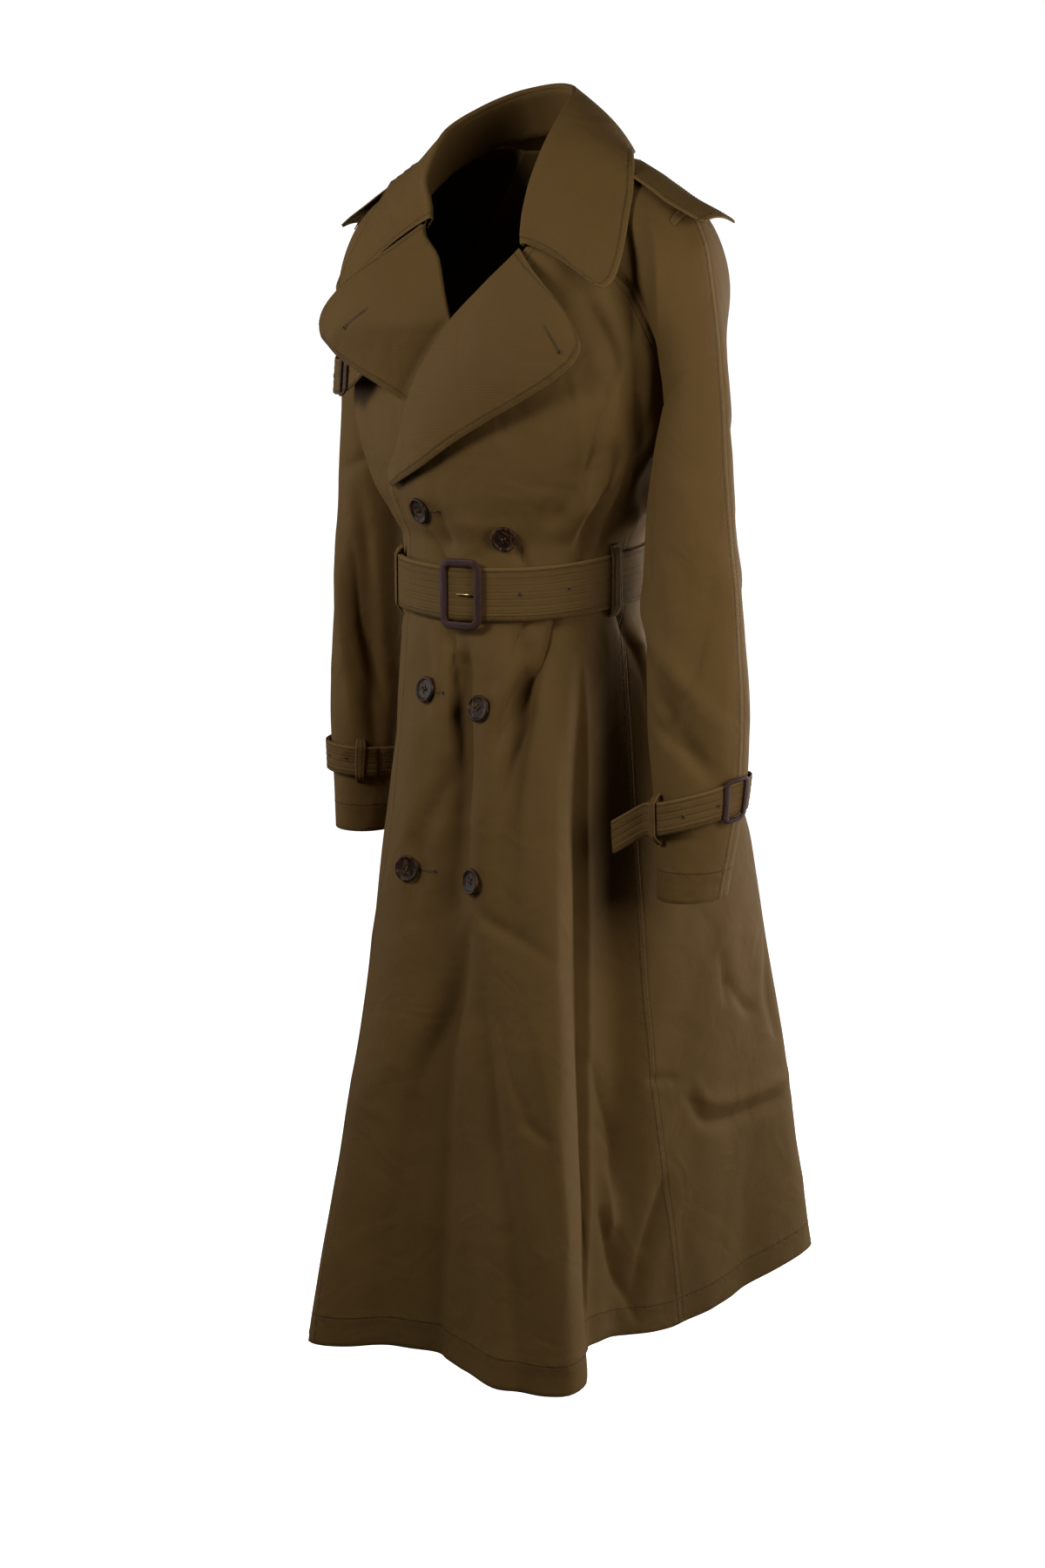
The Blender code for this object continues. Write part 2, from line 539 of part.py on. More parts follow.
def trim(grid, first_col=0.0, last_col=0.0):
    """Draw the side borders of a grid back by the given distances, for the gap at a seam."""
    grid = grid.copy()
    grid[:, 0] += unit(grid[:, 1] - grid[:, 0]) * first_col
    grid[:, -1] += unit(grid[:, -2] - grid[:, -1]) * last_col
    return grid


# ---------------------------------------------------------------- body panels

SKIRT_ROWS = (
    -1.220, -1.215, -1.170, -1.110, -1.040, -0.965, -0.885, -0.805, -0.730, -0.665,
    -0.605, -0.550, -0.505, -0.472, -0.446, -0.412, -0.384, -0.366, -0.340, -0.310, -0.275,
)
RAGLAN_STEPS = (6.0, 5.0, 4.0, 3.0, 2.0, 1.0, 0.0)
OVERLAP_COLUMNS = 9
FRONT_COLUMNS = 10
BACK_COLUMNS = 25
NARROW = 6.0            # least overlap, in degrees, that the shared columns cover


def front_grid(side, skirt_rows=SKIRT_ROWS, steps=RAGLAN_STEPS,
               overlap=OVERLAP_COLUMNS, rest=FRONT_COLUMNS):
    """Middle surface of one front, from its front edge or roll line to its side."""
    rows = [(z, abs(side_seam(z, side))) for z in skirt_rows]
    rows += [tuple(raglan(step, "front")) for step in steps]
    grid = []
    for z, seam in rows:
        left, right = left_edge(z), right_edge(z)
        if side == "left":
            near, far = left, max(right, left + NARROW)
            far = min(far, near + 0.85 * (seam - near))
            angles = np.concatenate([np.linspace(near, far, overlap),
                                     np.linspace(far, seam, rest + 1)[1:]])
            grid.append(body_point(angles, z))
        else:
            near, far = right, min(left, right - NARROW)
            far = max(far, near + 0.85 * (-seam - near))
            angles = np.concatenate([np.linspace(near, far, overlap),
                                     np.linspace(far, -seam, rest + 1)[1:]])
            tuck = UNDER * np.clip((angles + 62) / 12, 0, 1)
            grid.append(body_point(angles, z, -tuck))
    return np.array(grid)


def back_grid(skirt_rows=SKIRT_ROWS, steps=RAGLAN_STEPS, cols=BACK_COLUMNS):
    """Middle surface of the back, from the left side round to the right side."""
    rows = [(z, side_seam(z, "left"), 360 + side_seam(z, "right")) for z in skirt_rows]
    for step in steps:
        z, angle = raglan(step, "back")
        rows.append((z, angle, 360 - angle))
    return np.array([body_point(np.linspace(first, last, cols), z) for z, first, last in rows])


# ---------------------------------------------------------------- sleeves

SLEEVE_STEPS = (
    0.0, 1.0, 2.0, 3.0, 4.0, 5.0, 6.0, 6.7, 7.5, 8.3, 9.1, 9.9, 10.6, 11.3, 12.0, 12.7, 13.35, 14.0,
)
SLEEVE_COLUMNS_EACH = 9
SEAT_LOW_Z = -0.16       # nothing is seated on the cloth below this height
SEAT_GAP = 0.0026        # between the middles of two layers on the shoulder
LEAF_GAP = 0.0034        # the same under the collar leaf
STRAP_MARGIN = 0.024     # how far round a strap the leaf is kept clear of it


def sleeve_crease(side, half, step, across):
    rise = np.zeros_like(across)
    for _, which, part, step_top, across_top, step_low, across_low, width, height in SLEEVE_CREASES:
        if which != side or part != half:
            continue
        along = (step - step_top) / (step_low - step_top)
        if not -0.4 < along < 1.4:
            continue
        middle = across_top + (across_low - across_top) * along
        fade = np.clip((along + 0.4) / 0.4, 0, 1) * np.clip((1.4 - along) / 0.4, 0, 1)
        rise = rise + height * fade * np.exp(-((across - middle) / width) ** 2)
    return rise * np.sin(np.pi * across) ** 0.5


def sleeve_grid(side, half, steps=SLEEVE_STEPS, cols=SLEEVE_COLUMNS_EACH):
    """Middle surface of half a sleeve, from its seam on the body or underarm to the overarm."""
    sign = 1.0 if side == "left" else -1.0
    rows = LEFT_SLEEVE if side == "left" else RIGHT_SLEEVE
    ahead = -1.0 if half == "front" else 1.0
    grid = []
    across = np.linspace(0, 1, cols)
    for step in steps:
        over = columns_at(SLEEVE_COLUMNS, rows, step, ("over_x", "over_y", "over_z"))
        handle = columns_at(SLEEVE_COLUMNS, rows, step,
                            (half + "_out", half + "_ahead", half + "_up"))
        handle = handle * np.array([sign, 1.0, 1.0])
        reach = float(columns_at(SLEEVE_COLUMNS, rows, step, (half + "_reach",))[0])
        if step <= UNDERARM_STEP:
            z, angle = raglan(step, half)
            seam = body_point(sign * angle, z)[0]
        else:
            seam = columns_at(UNDERARM_COLUMNS, UNDERARM, step,
                              (side + "_x", side + "_y", side + "_z"))
        line = bezier(seam, seam + handle, over + np.array([0, ahead * reach, 0]), over, across)
        grid.append(line)
    grid = np.array(grid)
    rise = np.array([sleeve_crease(side, half, step, across) for step in steps])
    normals = grid_normals(grid)
    centre = grid.mean(axis=1, keepdims=True)
    outward = np.sign(np.sum(normals * (grid - centre), axis=-1, keepdims=True))
    return grid + normals * outward * rise[..., None]


# ---------------------------------------------------------------- seating on the shoulders

def facets_of(grid):
    """Corners of the triangles of a grid."""
    a, b = grid[:-1, :-1], grid[:-1, 1:]
    c, d = grid[1:, 1:], grid[1:, :-1]
    return np.concatenate([np.stack([a, b, c], axis=2).reshape(-1, 3, 3),
                           np.stack([a, c, d], axis=2).reshape(-1, 3, 3)])


def height_over(facets, x, y, gap):
    """Height that clears the highest facet over a point of the ground by gap, or -inf."""
    a, b, c = facets[:, 0], facets[:, 1], facets[:, 2]
    normal = unit(np.cross(b - a, c - a))
    area = (b[:, 0] - a[:, 0]) * (c[:, 1] - a[:, 1]) - (b[:, 1] - a[:, 1]) * (c[:, 0] - a[:, 0])
    area = np.where(np.abs(area) < 1e-12, 1e-12, area)
    share_a = ((b[:, 0] - x) * (c[:, 1] - y) - (b[:, 1] - y) * (c[:, 0] - x)) / area
    share_b = ((c[:, 0] - x) * (a[:, 1] - y) - (c[:, 1] - y) * (a[:, 0] - x)) / area
    share_c = 1 - share_a - share_b
    inside = (share_a >= -0.01) & (share_b >= -0.01) & (share_c >= -0.01)
    if not inside.any():
        return -np.inf
    height = share_a * a[:, 2] + share_b * b[:, 2] + share_c * c[:, 2]
    clear = height + gap / np.maximum(np.abs(normal[:, 2]), 0.25)
    return clear[inside].max()


def widened(grid, by):
    """A strap's grid made longer at its first end and wider at both sides, for seating over it."""
    grid = np.concatenate([grid[:1] + unit(grid[:1] - grid[1:2]) * by, grid])
    left = grid[:, :1] + unit(grid[:, :1] - grid[:, 1:2]) * by
    right = grid[:, -1:] + unit(grid[:, -1:] - grid[:, -2:-1]) * by
    return np.concatenate([left, grid, right], axis=1)


def seat(grid, facets, gap, first_col=0):
    """Raise the points of a grid that are less than gap above the facets."""
    grid = grid.copy()
    for row in grid:
        for point in row[first_col:]:
            point[2] = max(point[2], height_over(facets, point[0], point[1], gap))
    return grid


def shoulder_facets():
    """Triangles of the sleeves and panels near the neck and shoulders."""
    grids = [front_grid("left"), front_grid("right"), back_grid()]
    for side in ("left", "right"):
        for half in ("front", "back"):
            grids.append(sleeve_grid(side, half))
    facets = np.concatenate([facets_of(grid) for grid in grids])
    return facets[facets[:, :, 2].max(axis=1) > SEAT_LOW_Z]


# ---------------------------------------------------------------- turned cloth

ROLL_GAP = 0.0005
TURN_ANGLES = (0.0, 60.0, 120.0, 180.0)
LEAF_PARTS = (0.12, 0.28, 0.46, 0.64, 0.82, 1.0)


def turned_row(foot, along, out, edge, turn, lift, flat, parts=LEAF_PARTS, turns=TURN_ANGLES):
    """One row of cloth that comes up along, rolls over towards out and runs to its edge."""
    foot = foot + along * ROLL_GAP
    centre = foot + out * turn
    rolled = [centre + turn * (np.sin(np.radians(a)) * along - np.cos(np.radians(a)) * out)
              for a in turns]
    start = rolled[-1]
    run = edge - start
    span = np.linalg.norm(run)
    leave = start - along * 0.10 * span + run * 0.25 + out * lift
    arrive = edge - run * 0.30 + out * flat
    return np.array(rolled + list(bezier(start, leave, arrive, edge, parts)))


def front_border(side, z):
    """Point of a front's edge at one height, and the point of the next column."""
    grid = front_grid(side)
    return [np.array([np.interp(z, grid[:, 0, 2], grid[:, col, axis]) for axis in range(3)])
            for col in (0, 1)]


def lapel_stations(data, rows_per):
    """Places along a lapel: evenly spaced, with each that is near a row of the front put on it."""
    last = len(data["roll_z"]) - 1
    index = np.linspace(0, last, last * rows_per + 1)
    fine = np.linspace(0, last, last * 200 + 1)
    heights = curve(np.arange(last + 1), data["roll_z"], fine)
    panel = list(SKIRT_ROWS) + [float(raglan(step, "front")[0]) for step in RAGLAN_STEPS]
    for z in panel:
        if heights[-1] + 0.002 < z < heights[0] - 0.002:
            spot = fine[np.argmin(np.abs(heights - z))]
            nearest = 1 + np.argmin(np.abs(index[1:-1] - spot))
            index[nearest] = spot
    return index


def lapel_grid(side, rows_per=2, parts=LEAF_PARTS, turns=TURN_ANGLES):
    """Middle surface of a lapel, turned out from the roll line of its front."""
    rows = LEFT_LAPEL if side == "left" else RIGHT_LAPEL
    data = table(LAPEL_COLUMNS, rows)
    index = lapel_stations(data, rows_per)
    count = len(index)
    at = {name: curve(np.arange(len(rows)), values, index) for name, values in data.items()}
    feet = [front_border(side, z) for z in at["roll_z"]]
    line = unit(np.gradient(np.array([foot for foot, inside in feet]), axis=0))
    t = np.array(parts)
    grid = []
    for k in range(count):
        foot, inside = feet[k]
        along = unit(foot - inside)
        along = unit(along - line[k] * np.dot(along, line[k]))
        out = np.cross(line[k], along)
        out = unit(out if np.dot(out[:2], foot[:2]) > 0 else -out)
        turn = at["turn"][k]
        start = foot + along * ROLL_GAP
        centre = start + out * turn
        rolled = [centre + turn * (np.sin(np.radians(a)) * along - np.cos(np.radians(a)) * out)
                  for a in turns]
        first_angle = np.degrees(np.arctan2(rolled[-1][0], -rolled[-1][1]))
        first_z = rolled[-1][2]
        angles = first_angle + (at["edge_angle"][k] - first_angle) * t
        heights = first_z + (at["edge_z"][k] - first_z) * t
        start_off = np.hypot(*rolled[-1][:2]) - float(body_radius(np.array([first_angle]), first_z)[0])
        offs = start_off + (at["edge_off"][k] - start_off) * t * t * (3 - 2 * t)
        offs = offs + at["lift"][k] * 4 * t * (1 - t)
        row = []
        for angle, z, off in zip(angles, heights, offs):
            if side == "right":
                # Where the outer front lies over it, the lapel stays flat between the fronts.
                clear = left_edge(z) - 7.0 - angle
                off = min(off, -LAYER + max(clear, 0.0) * 0.0012)
            row.append(body_point(angle, z, off)[0])
        grid.append(np.array(rolled + row))
    return np.array(grid)


def collar_data(rows_per=1):
    names = COLLAR_COLUMNS[1:]
    data = table(COLLAR_COLUMNS, COLLAR)
    count = (len(COLLAR) - 1) * rows_per + 1
    index = np.linspace(0, len(COLLAR) - 1, count)
    at = {name: curve(np.arange(len(COLLAR)), data[name].astype(float), index) for name in names}
    roll = np.stack([at["roll_x"], at["roll_y"], at["roll_z"]], axis=-1)
    foot = np.stack([at["foot_x"], at["foot_y"], at["foot_z"]], axis=-1)
    edge = np.stack([at["edge_x"], at["edge_y"], at["edge_z"]], axis=-1)
    return at, roll, foot, edge


def stand_grid(rows_per=1, parts=(0.0, 0.5, 1.0)):
    """Middle surface of the collar stand, from its foot to the roll line."""
    _, roll, foot, _ = collar_data(rows_per)
    return np.array([foot + (roll - foot) * t for t in parts]).swapaxes(0, 1)


def leaf_grid(rows_per=1, parts=LEAF_PARTS, turns=TURN_ANGLES):
    """Middle surface of the collar leaf, turned over from the roll line."""
    at, roll, foot, edge = collar_data(rows_per)
    line = unit(np.gradient(roll, axis=0))
    grid = []
    for k in range(len(roll)):
        along = unit(roll[k] - foot[k])
        along = unit(along - line[k] * np.dot(along, line[k]))
        out = unit(np.cross(along, line[k]))
        if np.dot(out, edge[k] - foot[k]) < 0:
            out = -out
        grid.append(turned_row(roll[k], along, out, edge[k], at["turn"][k], at["lift"][k],
                               at["flat"][k], parts, turns))
    return np.array(grid)


# ---------------------------------------------------------------- belt

# Middle height of the belt round the waist, and how far it stands off the cloth.
BELT_COLUMNS = ("angle", "middle")
BELT_LINE = (
    (-180.0, -0.394),
    (-100.0, -0.402),
    (-45.0, -0.413),
    (0.0, -0.415),
    (40.0, -0.412),
    (62.0, -0.407),
    (84.0, -0.400),
    (120.0, -0.395),
    (180.0, -0.394),
)
BELT_WIDTH = 0.054
BELT_THICK = 0.0022
BELT_OFF = 0.0038       # middle of the inner turn from the middle of the cloth
BELT_LAP = 0.0030       # from the inner turn to the tail that lies on it
BELT_START = -8.0       # end of the inner turn, behind the buckle
BELT_RISE = (30.0, 0.0)   # the strap climbs on to the inner turn between these angles
BELT_TAIL = -96.0       # end of the tail, on the wearer's right
BELT_STEP = 8.0


def panel_radius(angle, z):
    """Radius of a panel at one angle and height; a panel is straight between its rows."""
    rows = sorted(SKIRT_ROWS)
    return np.interp(z, rows, [float(body_radius(np.array([angle]), row)[0]) for row in rows])


def belt_middle(angles):
    wrapped = (np.asarray(angles, float) + 180) % 360 - 180
    return curve([row[0] for row in BELT_LINE], [row[1] for row in BELT_LINE], wrapped)


def belt_radius(angles):
    """Largest radius of the cloth behind the belt at each angle."""
    wrapped = (np.asarray(angles, float) + 180) % 360 - 180
    result = []
    for angle, middle in zip(wrapped, belt_middle(wrapped)):
        heights = middle + BELT_WIDTH * np.linspace(-0.5, 0.5, 7)
        result.append(max(float(body_radius(np.array([angle]), z)[0]) for z in heights))
    return np.array(result)


def belt_point(angles, up=0.0, out=0.0):
    """Points over the waist: up from the middle of the belt, out from the cloth."""
    angles = np.atleast_1d(np.asarray(angles, float))
    r = belt_radius(angles) + out
    a = np.radians(angles)
    return np.stack([r * np.sin(a), -r * np.cos(a), belt_middle(angles) + up], axis=-1)


def belt_grid(step=BELT_STEP, rows=(-0.5, 0.5)):
    """Middle surface of the belt: once round from the buckle, through it and on to the tail."""
    turns = np.arange(BELT_START, BELT_TAIL - 360 - 0.01, -step)
    first, last = BELT_RISE[0] - 360, BELT_RISE[1] - 360
    t = np.clip((first - turns) / (first - last), 0, 1)
    out = BELT_OFF + BELT_LAP * t * t * (3 - 2 * t)
    return np.array([belt_point(turns, BELT_WIDTH * row, out) for row in rows])


def ring(sections):
    """Points and triangles of a closed ring of closed sections."""
    count, corners = sections.shape[:2]
    faces = []
    for i in range(count):
        for j in range(corners):
            a = i * corners + j
            b = i * corners + (j + 1) % corners
            c = ((i + 1) % count) * corners + (j + 1) % corners
            d = ((i + 1) % count) * corners + j
            faces += [(a, b, c), (a, c, d)]
    return sections.reshape(-1, 3), faces


def rod(sections):
    """Points and triangles of a solid lofted through closed sections, flat at both ends."""
    count, corners = sections.shape[:2]
    faces = []
    for i in range(count - 1):
        for j in range(corners):
            a = i * corners + j
            b = i * corners + (j + 1) % corners
            c = (i + 1) * corners + (j + 1) % corners
            d = (i + 1) * corners + j
            faces += [(a, b, c), (a, c, d)]
    last = (count - 1) * corners
    for j in range(1, corners - 1):
        faces += [(0, j + 1, j), (last, last + j, last + j + 1)]
    return sections.reshape(-1, 3), faces


def frame_outline(width, height, corner, per_corner=3):
    """A rounded rectangle as (across, up) points, with the direction out of it at each."""
    points, outward = [], []
    for cx, cy, start in ((1, 1, 0), (-1, 1, 90), (-1, -1, 180), (1, -1, 270)):
        for k in range(per_corner + 1):
            a = np.radians(start + 90 * k / per_corner)
            direction = np.array([np.cos(a), np.sin(a)])
            middle = np.array([cx * (width / 2 - corner), cy * (height / 2 - corner)])
            points.append(middle + corner * direction)
            outward.append(direction)
    return np.array(points), np.array(outward)


def add_frame(name, place, width, height, corner, bar, thick, slot):
    """A buckle frame; place(across, up, out) gives a point of the bent frame."""
    line, outward = frame_outline(width - bar, height - bar, corner)
    section = ((-0.5, -0.5), (-0.5, 0.2), (-0.25, 0.5), (0.25, 0.5), (0.5, 0.2), (0.5, -0.5))
    sections = []
    for point, direction in zip(line, outward):
        sections.append([place(*(point + direction * bar * side), thick * up)
                         for side, up in section])
    points, faces = ring(np.array(sections))
    return add_object(name, points, faces, slot)


BUCKLE_ANGLE = 7.0
BUCKLE_WIDTH = 0.052
BUCKLE_HEIGHT = 0.074
BUCKLE_BAR = 0.0085
BUCKLE_THICK = 0.0036
BUCKLE_OFF = BELT_OFF + BELT_LAP + BELT_THICK / 2 + 0.0005 + BUCKLE_THICK / 2


def buckle_place(across, up, out):
    angle = BUCKLE_ANGLE + np.degrees(across / 0.122)
    return belt_point(angle, up, BUCKLE_OFF + out)[0]


def build_belt():
    add_wall("belt", belt_grid(), thickness=BELT_THICK)
    add_frame("belt_buckle", buckle_place, BUCKLE_WIDTH, BUCKLE_HEIGHT, 0.009,
              BUCKLE_BAR, BUCKLE_THICK, "leather")
    # The prong shows from the eyelet to the right bar of the frame.
    sections = []
    bar_side = BUCKLE_WIDTH / 2 - BUCKLE_BAR
    for across in (bar_side - 0.022, bar_side - 0.010, bar_side - SEAM):
        sections.append([buckle_place(across, 0.0011 * np.cos(a), 0.0009 * np.sin(a) - 0.0006)
                         for a in np.radians(np.arange(0, 360, 60))])
    points, faces = rod(np.array(sections))
    add_object("buckle_prong", points, faces, "brass")


LOOP_COLUMNS = ("name", "angle", "layers")
BELT_LOOPS = (
    ("belt_loop_left_side", 82.0, 1),
    ("belt_loop_right_front", -52.0, 2),
    ("belt_loop_back_left", 150.0, 1),
    ("belt_loop_back_right", -150.0, 1),
)
LOOP_WIDTH = 0.011
LOOP_THICK = 0.0014
LOOP_SEAT = CLOTH / 2 + SEAM + LOOP_THICK / 2 + 0.0006


def loop_grid(angle, layers):
    """Middle surface of a carrier loop, down over the belt and back on to the cloth."""
    over = BELT_OFF + BELT_LAP * (layers - 1) + BELT_THICK / 2 + 0.0009 + LOOP_THICK / 2
    half = BELT_WIDTH / 2
    path = ((half + 0.009, None), (half + 0.0035, over * 0.75), (half - 0.002, over),
            (-half + 0.002, over), (-half - 0.0035, over * 0.75), (-half - 0.009, None))
    turn = np.degrees(LOOP_WIDTH / 2 / 0.125)
    grid = []
    for up, out in path:
        row = []
        for side in (angle - turn, angle + turn):
            z = float(belt_middle(side)) + up
            least = panel_radius((side + 180) % 360 - 180, z)
            if out is None:
                radius = least + LOOP_SEAT
            else:
                radius = max(float(belt_radius([side])[0]) + out, least + LOOP_SEAT)
            a = np.radians(side)
            row.append([radius * np.sin(a), -radius * np.cos(a), z])
        grid.append(row)
    return np.array(grid)


# ---------------------------------------------------------------- buttons

BUTTON_COLUMNS = ("name", "angle", "height")
BUTTONS = (
    ("button_top_right", -17.6, -0.331),
    ("button_top_left", 30.4, -0.354),
    ("button_middle_right", -12.0, -0.519),
    ("button_middle_left", 19.7, -0.531),
    ("button_low_right", -10.5, -0.706),
    ("button_low_left", 20.0, -0.709),
)
# Radius and height of the button's outline from its back to the bottom of its dish.
BUTTON_PROFILE = ((0.0110, 0.0000), (0.0138, 0.0012), (0.0140, 0.0030), (0.0128, 0.0042),
                  (0.0108, 0.0038), (0.0094, 0.0026))
BUTTON_SIDES = 16


def panel_hit(facets, angle, z):
    """Where a level line from the axis leaves through the facets, and the normal there."""
    a = np.radians(angle)
    way = np.array([np.sin(a), -np.cos(a), 0.0])
    start = np.array([0.0, 0.0, z])
    first, second, third = facets[:, 0], facets[:, 1], facets[:, 2]
    normal = unit(np.cross(second - first, third - first))
    slope = normal @ way
    slope = np.where(np.abs(slope) < 1e-9, 1e-9, slope)
    reach = np.sum(normal * (first - start), axis=1) / slope
    points = start + reach[:, None] * way
    inside = reach > 0
    for p, q in ((first, second), (second, third), (third, first)):
        inside &= np.sum(np.cross(q - p, points - p) * normal, axis=1) > -1e-9
    pick = np.argmax(np.where(inside, reach, -1.0))
    return points[pick], normal[pick] * np.sign(slope[pick])


def surface_frame(facets, angle, z, radius):
    """Centre, normal and directions across and up of a disc that lies on the facets."""
    point, normal = panel_hit(facets, angle, z)
    across = unit(np.cross(np.array([0.0, 0.0, 1.0]), normal))
    up = unit(np.cross(normal, across))
    rise = 0.0
    for t in np.radians(np.arange(0, 360, 30)):
        rim = point + radius * (np.cos(t) * across + np.sin(t) * up)
        cloth, _ = panel_hit(facets, np.degrees(np.arctan2(rim[0], -rim[1])), rim[2])
        rise = max(rise, np.dot(cloth - rim, normal))
    return point + normal * (CLOTH / 2 + SEAM + rise), normal, across, up


def turned_disc(profile, centre, normal, across, up, sides):
    """A closed solid turned about the normal from (radius, height) rows."""
    a = np.radians(np.arange(sides) * 360 / sides)
    sections = []
    for radius, height in profile:
        sections.append([centre + normal * height + radius * (np.cos(t) * across + np.sin(t) * up)
                         for t in a])
    return rod(np.array(sections))


def build_buttons():
    facets = facets_of(front_grid("left"))
    for name, angle, z in BUTTONS:
        frame = surface_frame(facets, angle, z, BUTTON_PROFILE[0][0])
        points, faces = turned_disc(BUTTON_PROFILE, *frame, BUTTON_SIDES)
        add_object(name, points, faces, "horn")


# ---------------------------------------------------------------- shoulder straps

# Stations of a shoulder strap from under the collar to its free end: the middle line and
# the half width, with how far the edges droop.
EPAULETTE_COLUMNS = ("along", "middle_x", "middle_y", "middle_z", "half", "droop")
LEFT_EPAULETTE = (
    (0.0, 0.134, 0.004, 0.0215, 0.025, 0.004),
    (1.0, 0.150, 0.003, 0.0135, 0.026, 0.005),
    (2.0, 0.180, 0.002, -0.001, 0.028, 0.006),
    (3.0, 0.208, 0.000, -0.0155, 0.030, 0.007),
    (4.0, 0.234, -0.001, -0.027, 0.031, 0.007),
    (5.0, 0.245, -0.001, -0.033, 0.030, 0.006),
    (6.0, 0.249, -0.001, -0.036, 0.026, 0.005),
)
RIGHT_EPAULETTE = (
    (0.0, -0.134, 0.006, 0.0215, 0.025, 0.004),
    (1.0, -0.150, 0.007, 0.0135, 0.026, 0.005),
    (2.0, -0.180, 0.009, -0.001, 0.028, 0.006),
    (3.0, -0.208, 0.011, -0.0155, 0.030, 0.007),
    (4.0, -0.230, 0.013, -0.027, 0.031, 0.007),
    (5.0, -0.241, 0.014, -0.034, 0.030, 0.006),
    (6.0, -0.245, 0.015, -0.037, 0.026, 0.005),
)


def epaulette_grid(side, steps=(0.0, 1.0, 2.0, 3.0, 4.0, 5.0, 6.0), cols=5):
    rows = LEFT_EPAULETTE if side == "left" else RIGHT_EPAULETTE
    names = ("middle_x", "middle_y", "middle_z", "half", "droop")
    grid = []
    for step in steps:
        x, y, z, half, droop = columns_at(EPAULETTE_COLUMNS, rows, step, names)
        across = np.linspace(-1, 1, cols)
        grid.append(np.stack([np.full(cols, x), y + half * across, z - droop * across ** 2], axis=-1))
    return np.array(grid)


# ---------------------------------------------------------------- cuff straps

CUFF_STRAP_WIDTH = 0.033
CUFF_STRAP_OFF = 0.0042     # middle of the inner turn from the middle of the sleeve cloth
CUFF_STRAP_LAP = 0.0026
CUFF_STRAP_THICK = 0.0016
# The strap starts at its buckle, goes once round the sleeve, runs under the buckle and
# ends in a tail. Turns are counted from the underarm seam over the front: 0.5 is the
# overarm seam. After its last turn the left tail stands off the sleeve, to its tip.
CUFF_COLUMNS = ("side", "buckle_turn", "tail_turn", "tip_x", "tip_y", "tip_z",
                "front_z", "over_z", "back_z", "under_z")
CUFF_STRAPS = (
    ("left", 0.475, 0.13, -0.040, -0.006, -0.024, -0.624, -0.603, -0.612, -0.632),
    ("right", 0.56, 0.10, 0.000, 0.000, 0.000, -0.640, -0.638, -0.642, -0.642),
)
CUFF_RING = 32
CUFF_TUBE_STEPS = np.linspace(12.0, 14.0, 9)


def cuff_rings(side):
    """Closed sleeve sections near the cuff, each point by its share of the way round."""
    front = sleeve_grid(side, "front", steps=CUFF_TUBE_STEPS, cols=CUFF_RING // 2 + 1)
    back = sleeve_grid(side, "back", steps=CUFF_TUBE_STEPS, cols=CUFF_RING // 2 + 1)
    return np.concatenate([front, back[:, ::-1][:, 1:]], axis=1)


def cuff_point(rings, turn, z, out):
    """A point beside the sleeve at one share of the way round and one height."""
    place = (turn % 1.0) * CUFF_RING
    ring_points = []
    for shift in (-1.0, 0.0, 1.0):
        spot = (place + shift) % CUFF_RING
        low = int(np.floor(spot)) % CUFF_RING
        share = spot - np.floor(spot)
        line = rings[:, low] * (1 - share) + rings[:, low + 1] * share
        order = np.argsort(line[:, 2])
        ring_points.append(np.array([np.interp(z, line[order, 2], line[order, i])
                                     for i in range(3)]))
    before, here, after = ring_points
    tangent = unit(after - before)
    outward = np.cross(tangent, np.array([0.0, 0.0, 1.0]))
    middle = rings[len(rings) // 2, :CUFF_RING].mean(axis=0)
    if np.dot(outward[:2], (here - middle)[:2]) < 0:
        outward = -outward
    return here + outward * out


def cuff_strap_z(row, turn):
    """Middle height of a cuff strap at one share of the way round."""
    front_z, over_z, back_z, under_z = row[6:]
    around = 2 * np.pi * turn
    return ((front_z + over_z + back_z + under_z) / 4
            + (under_z - over_z) / 2 * np.cos(around) + (front_z - back_z) / 2 * np.sin(around))


def cuff_strap_grid(row, step=1 / 24, rows=(-0.5, 0.5)):
    """Middle surface of a cuff strap, wound once round and on to its tail."""
    side, buckle_turn, tail_turn = row[:3]
    tip = np.array(row[3:6])
    rings = cuff_rings(side)
    start = buckle_turn - 0.03
    stop = tail_turn - 1.0
    turns = np.linspace(start, stop, int(round((start - stop) / step)) + 1)
    climb_from, climb_to = buckle_turn + 0.12 - 1, buckle_turn - 1
    t = np.clip((climb_from - turns) / (climb_from - climb_to), 0, 1)
    outs = CUFF_STRAP_OFF + CUFF_STRAP_LAP * t * t * (3 - 2 * t)
    grid = [[cuff_point(rings, turn, cuff_strap_z(row, turn) + CUFF_STRAP_WIDTH * share, out)
             for turn, out in zip(turns, outs)] for share in rows]
    if np.any(tip):
        way = unit(grid[0][-1] - grid[0][-2]) * np.linalg.norm(tip) * 0.35
        for line in grid:
            end = line[-1] + tip
            line += list(bezier(line[-1], line[-1] + way, end - tip * 0.35, end,
                                (0.2, 0.4, 0.6, 0.8, 1.0)))
    return np.array(grid)


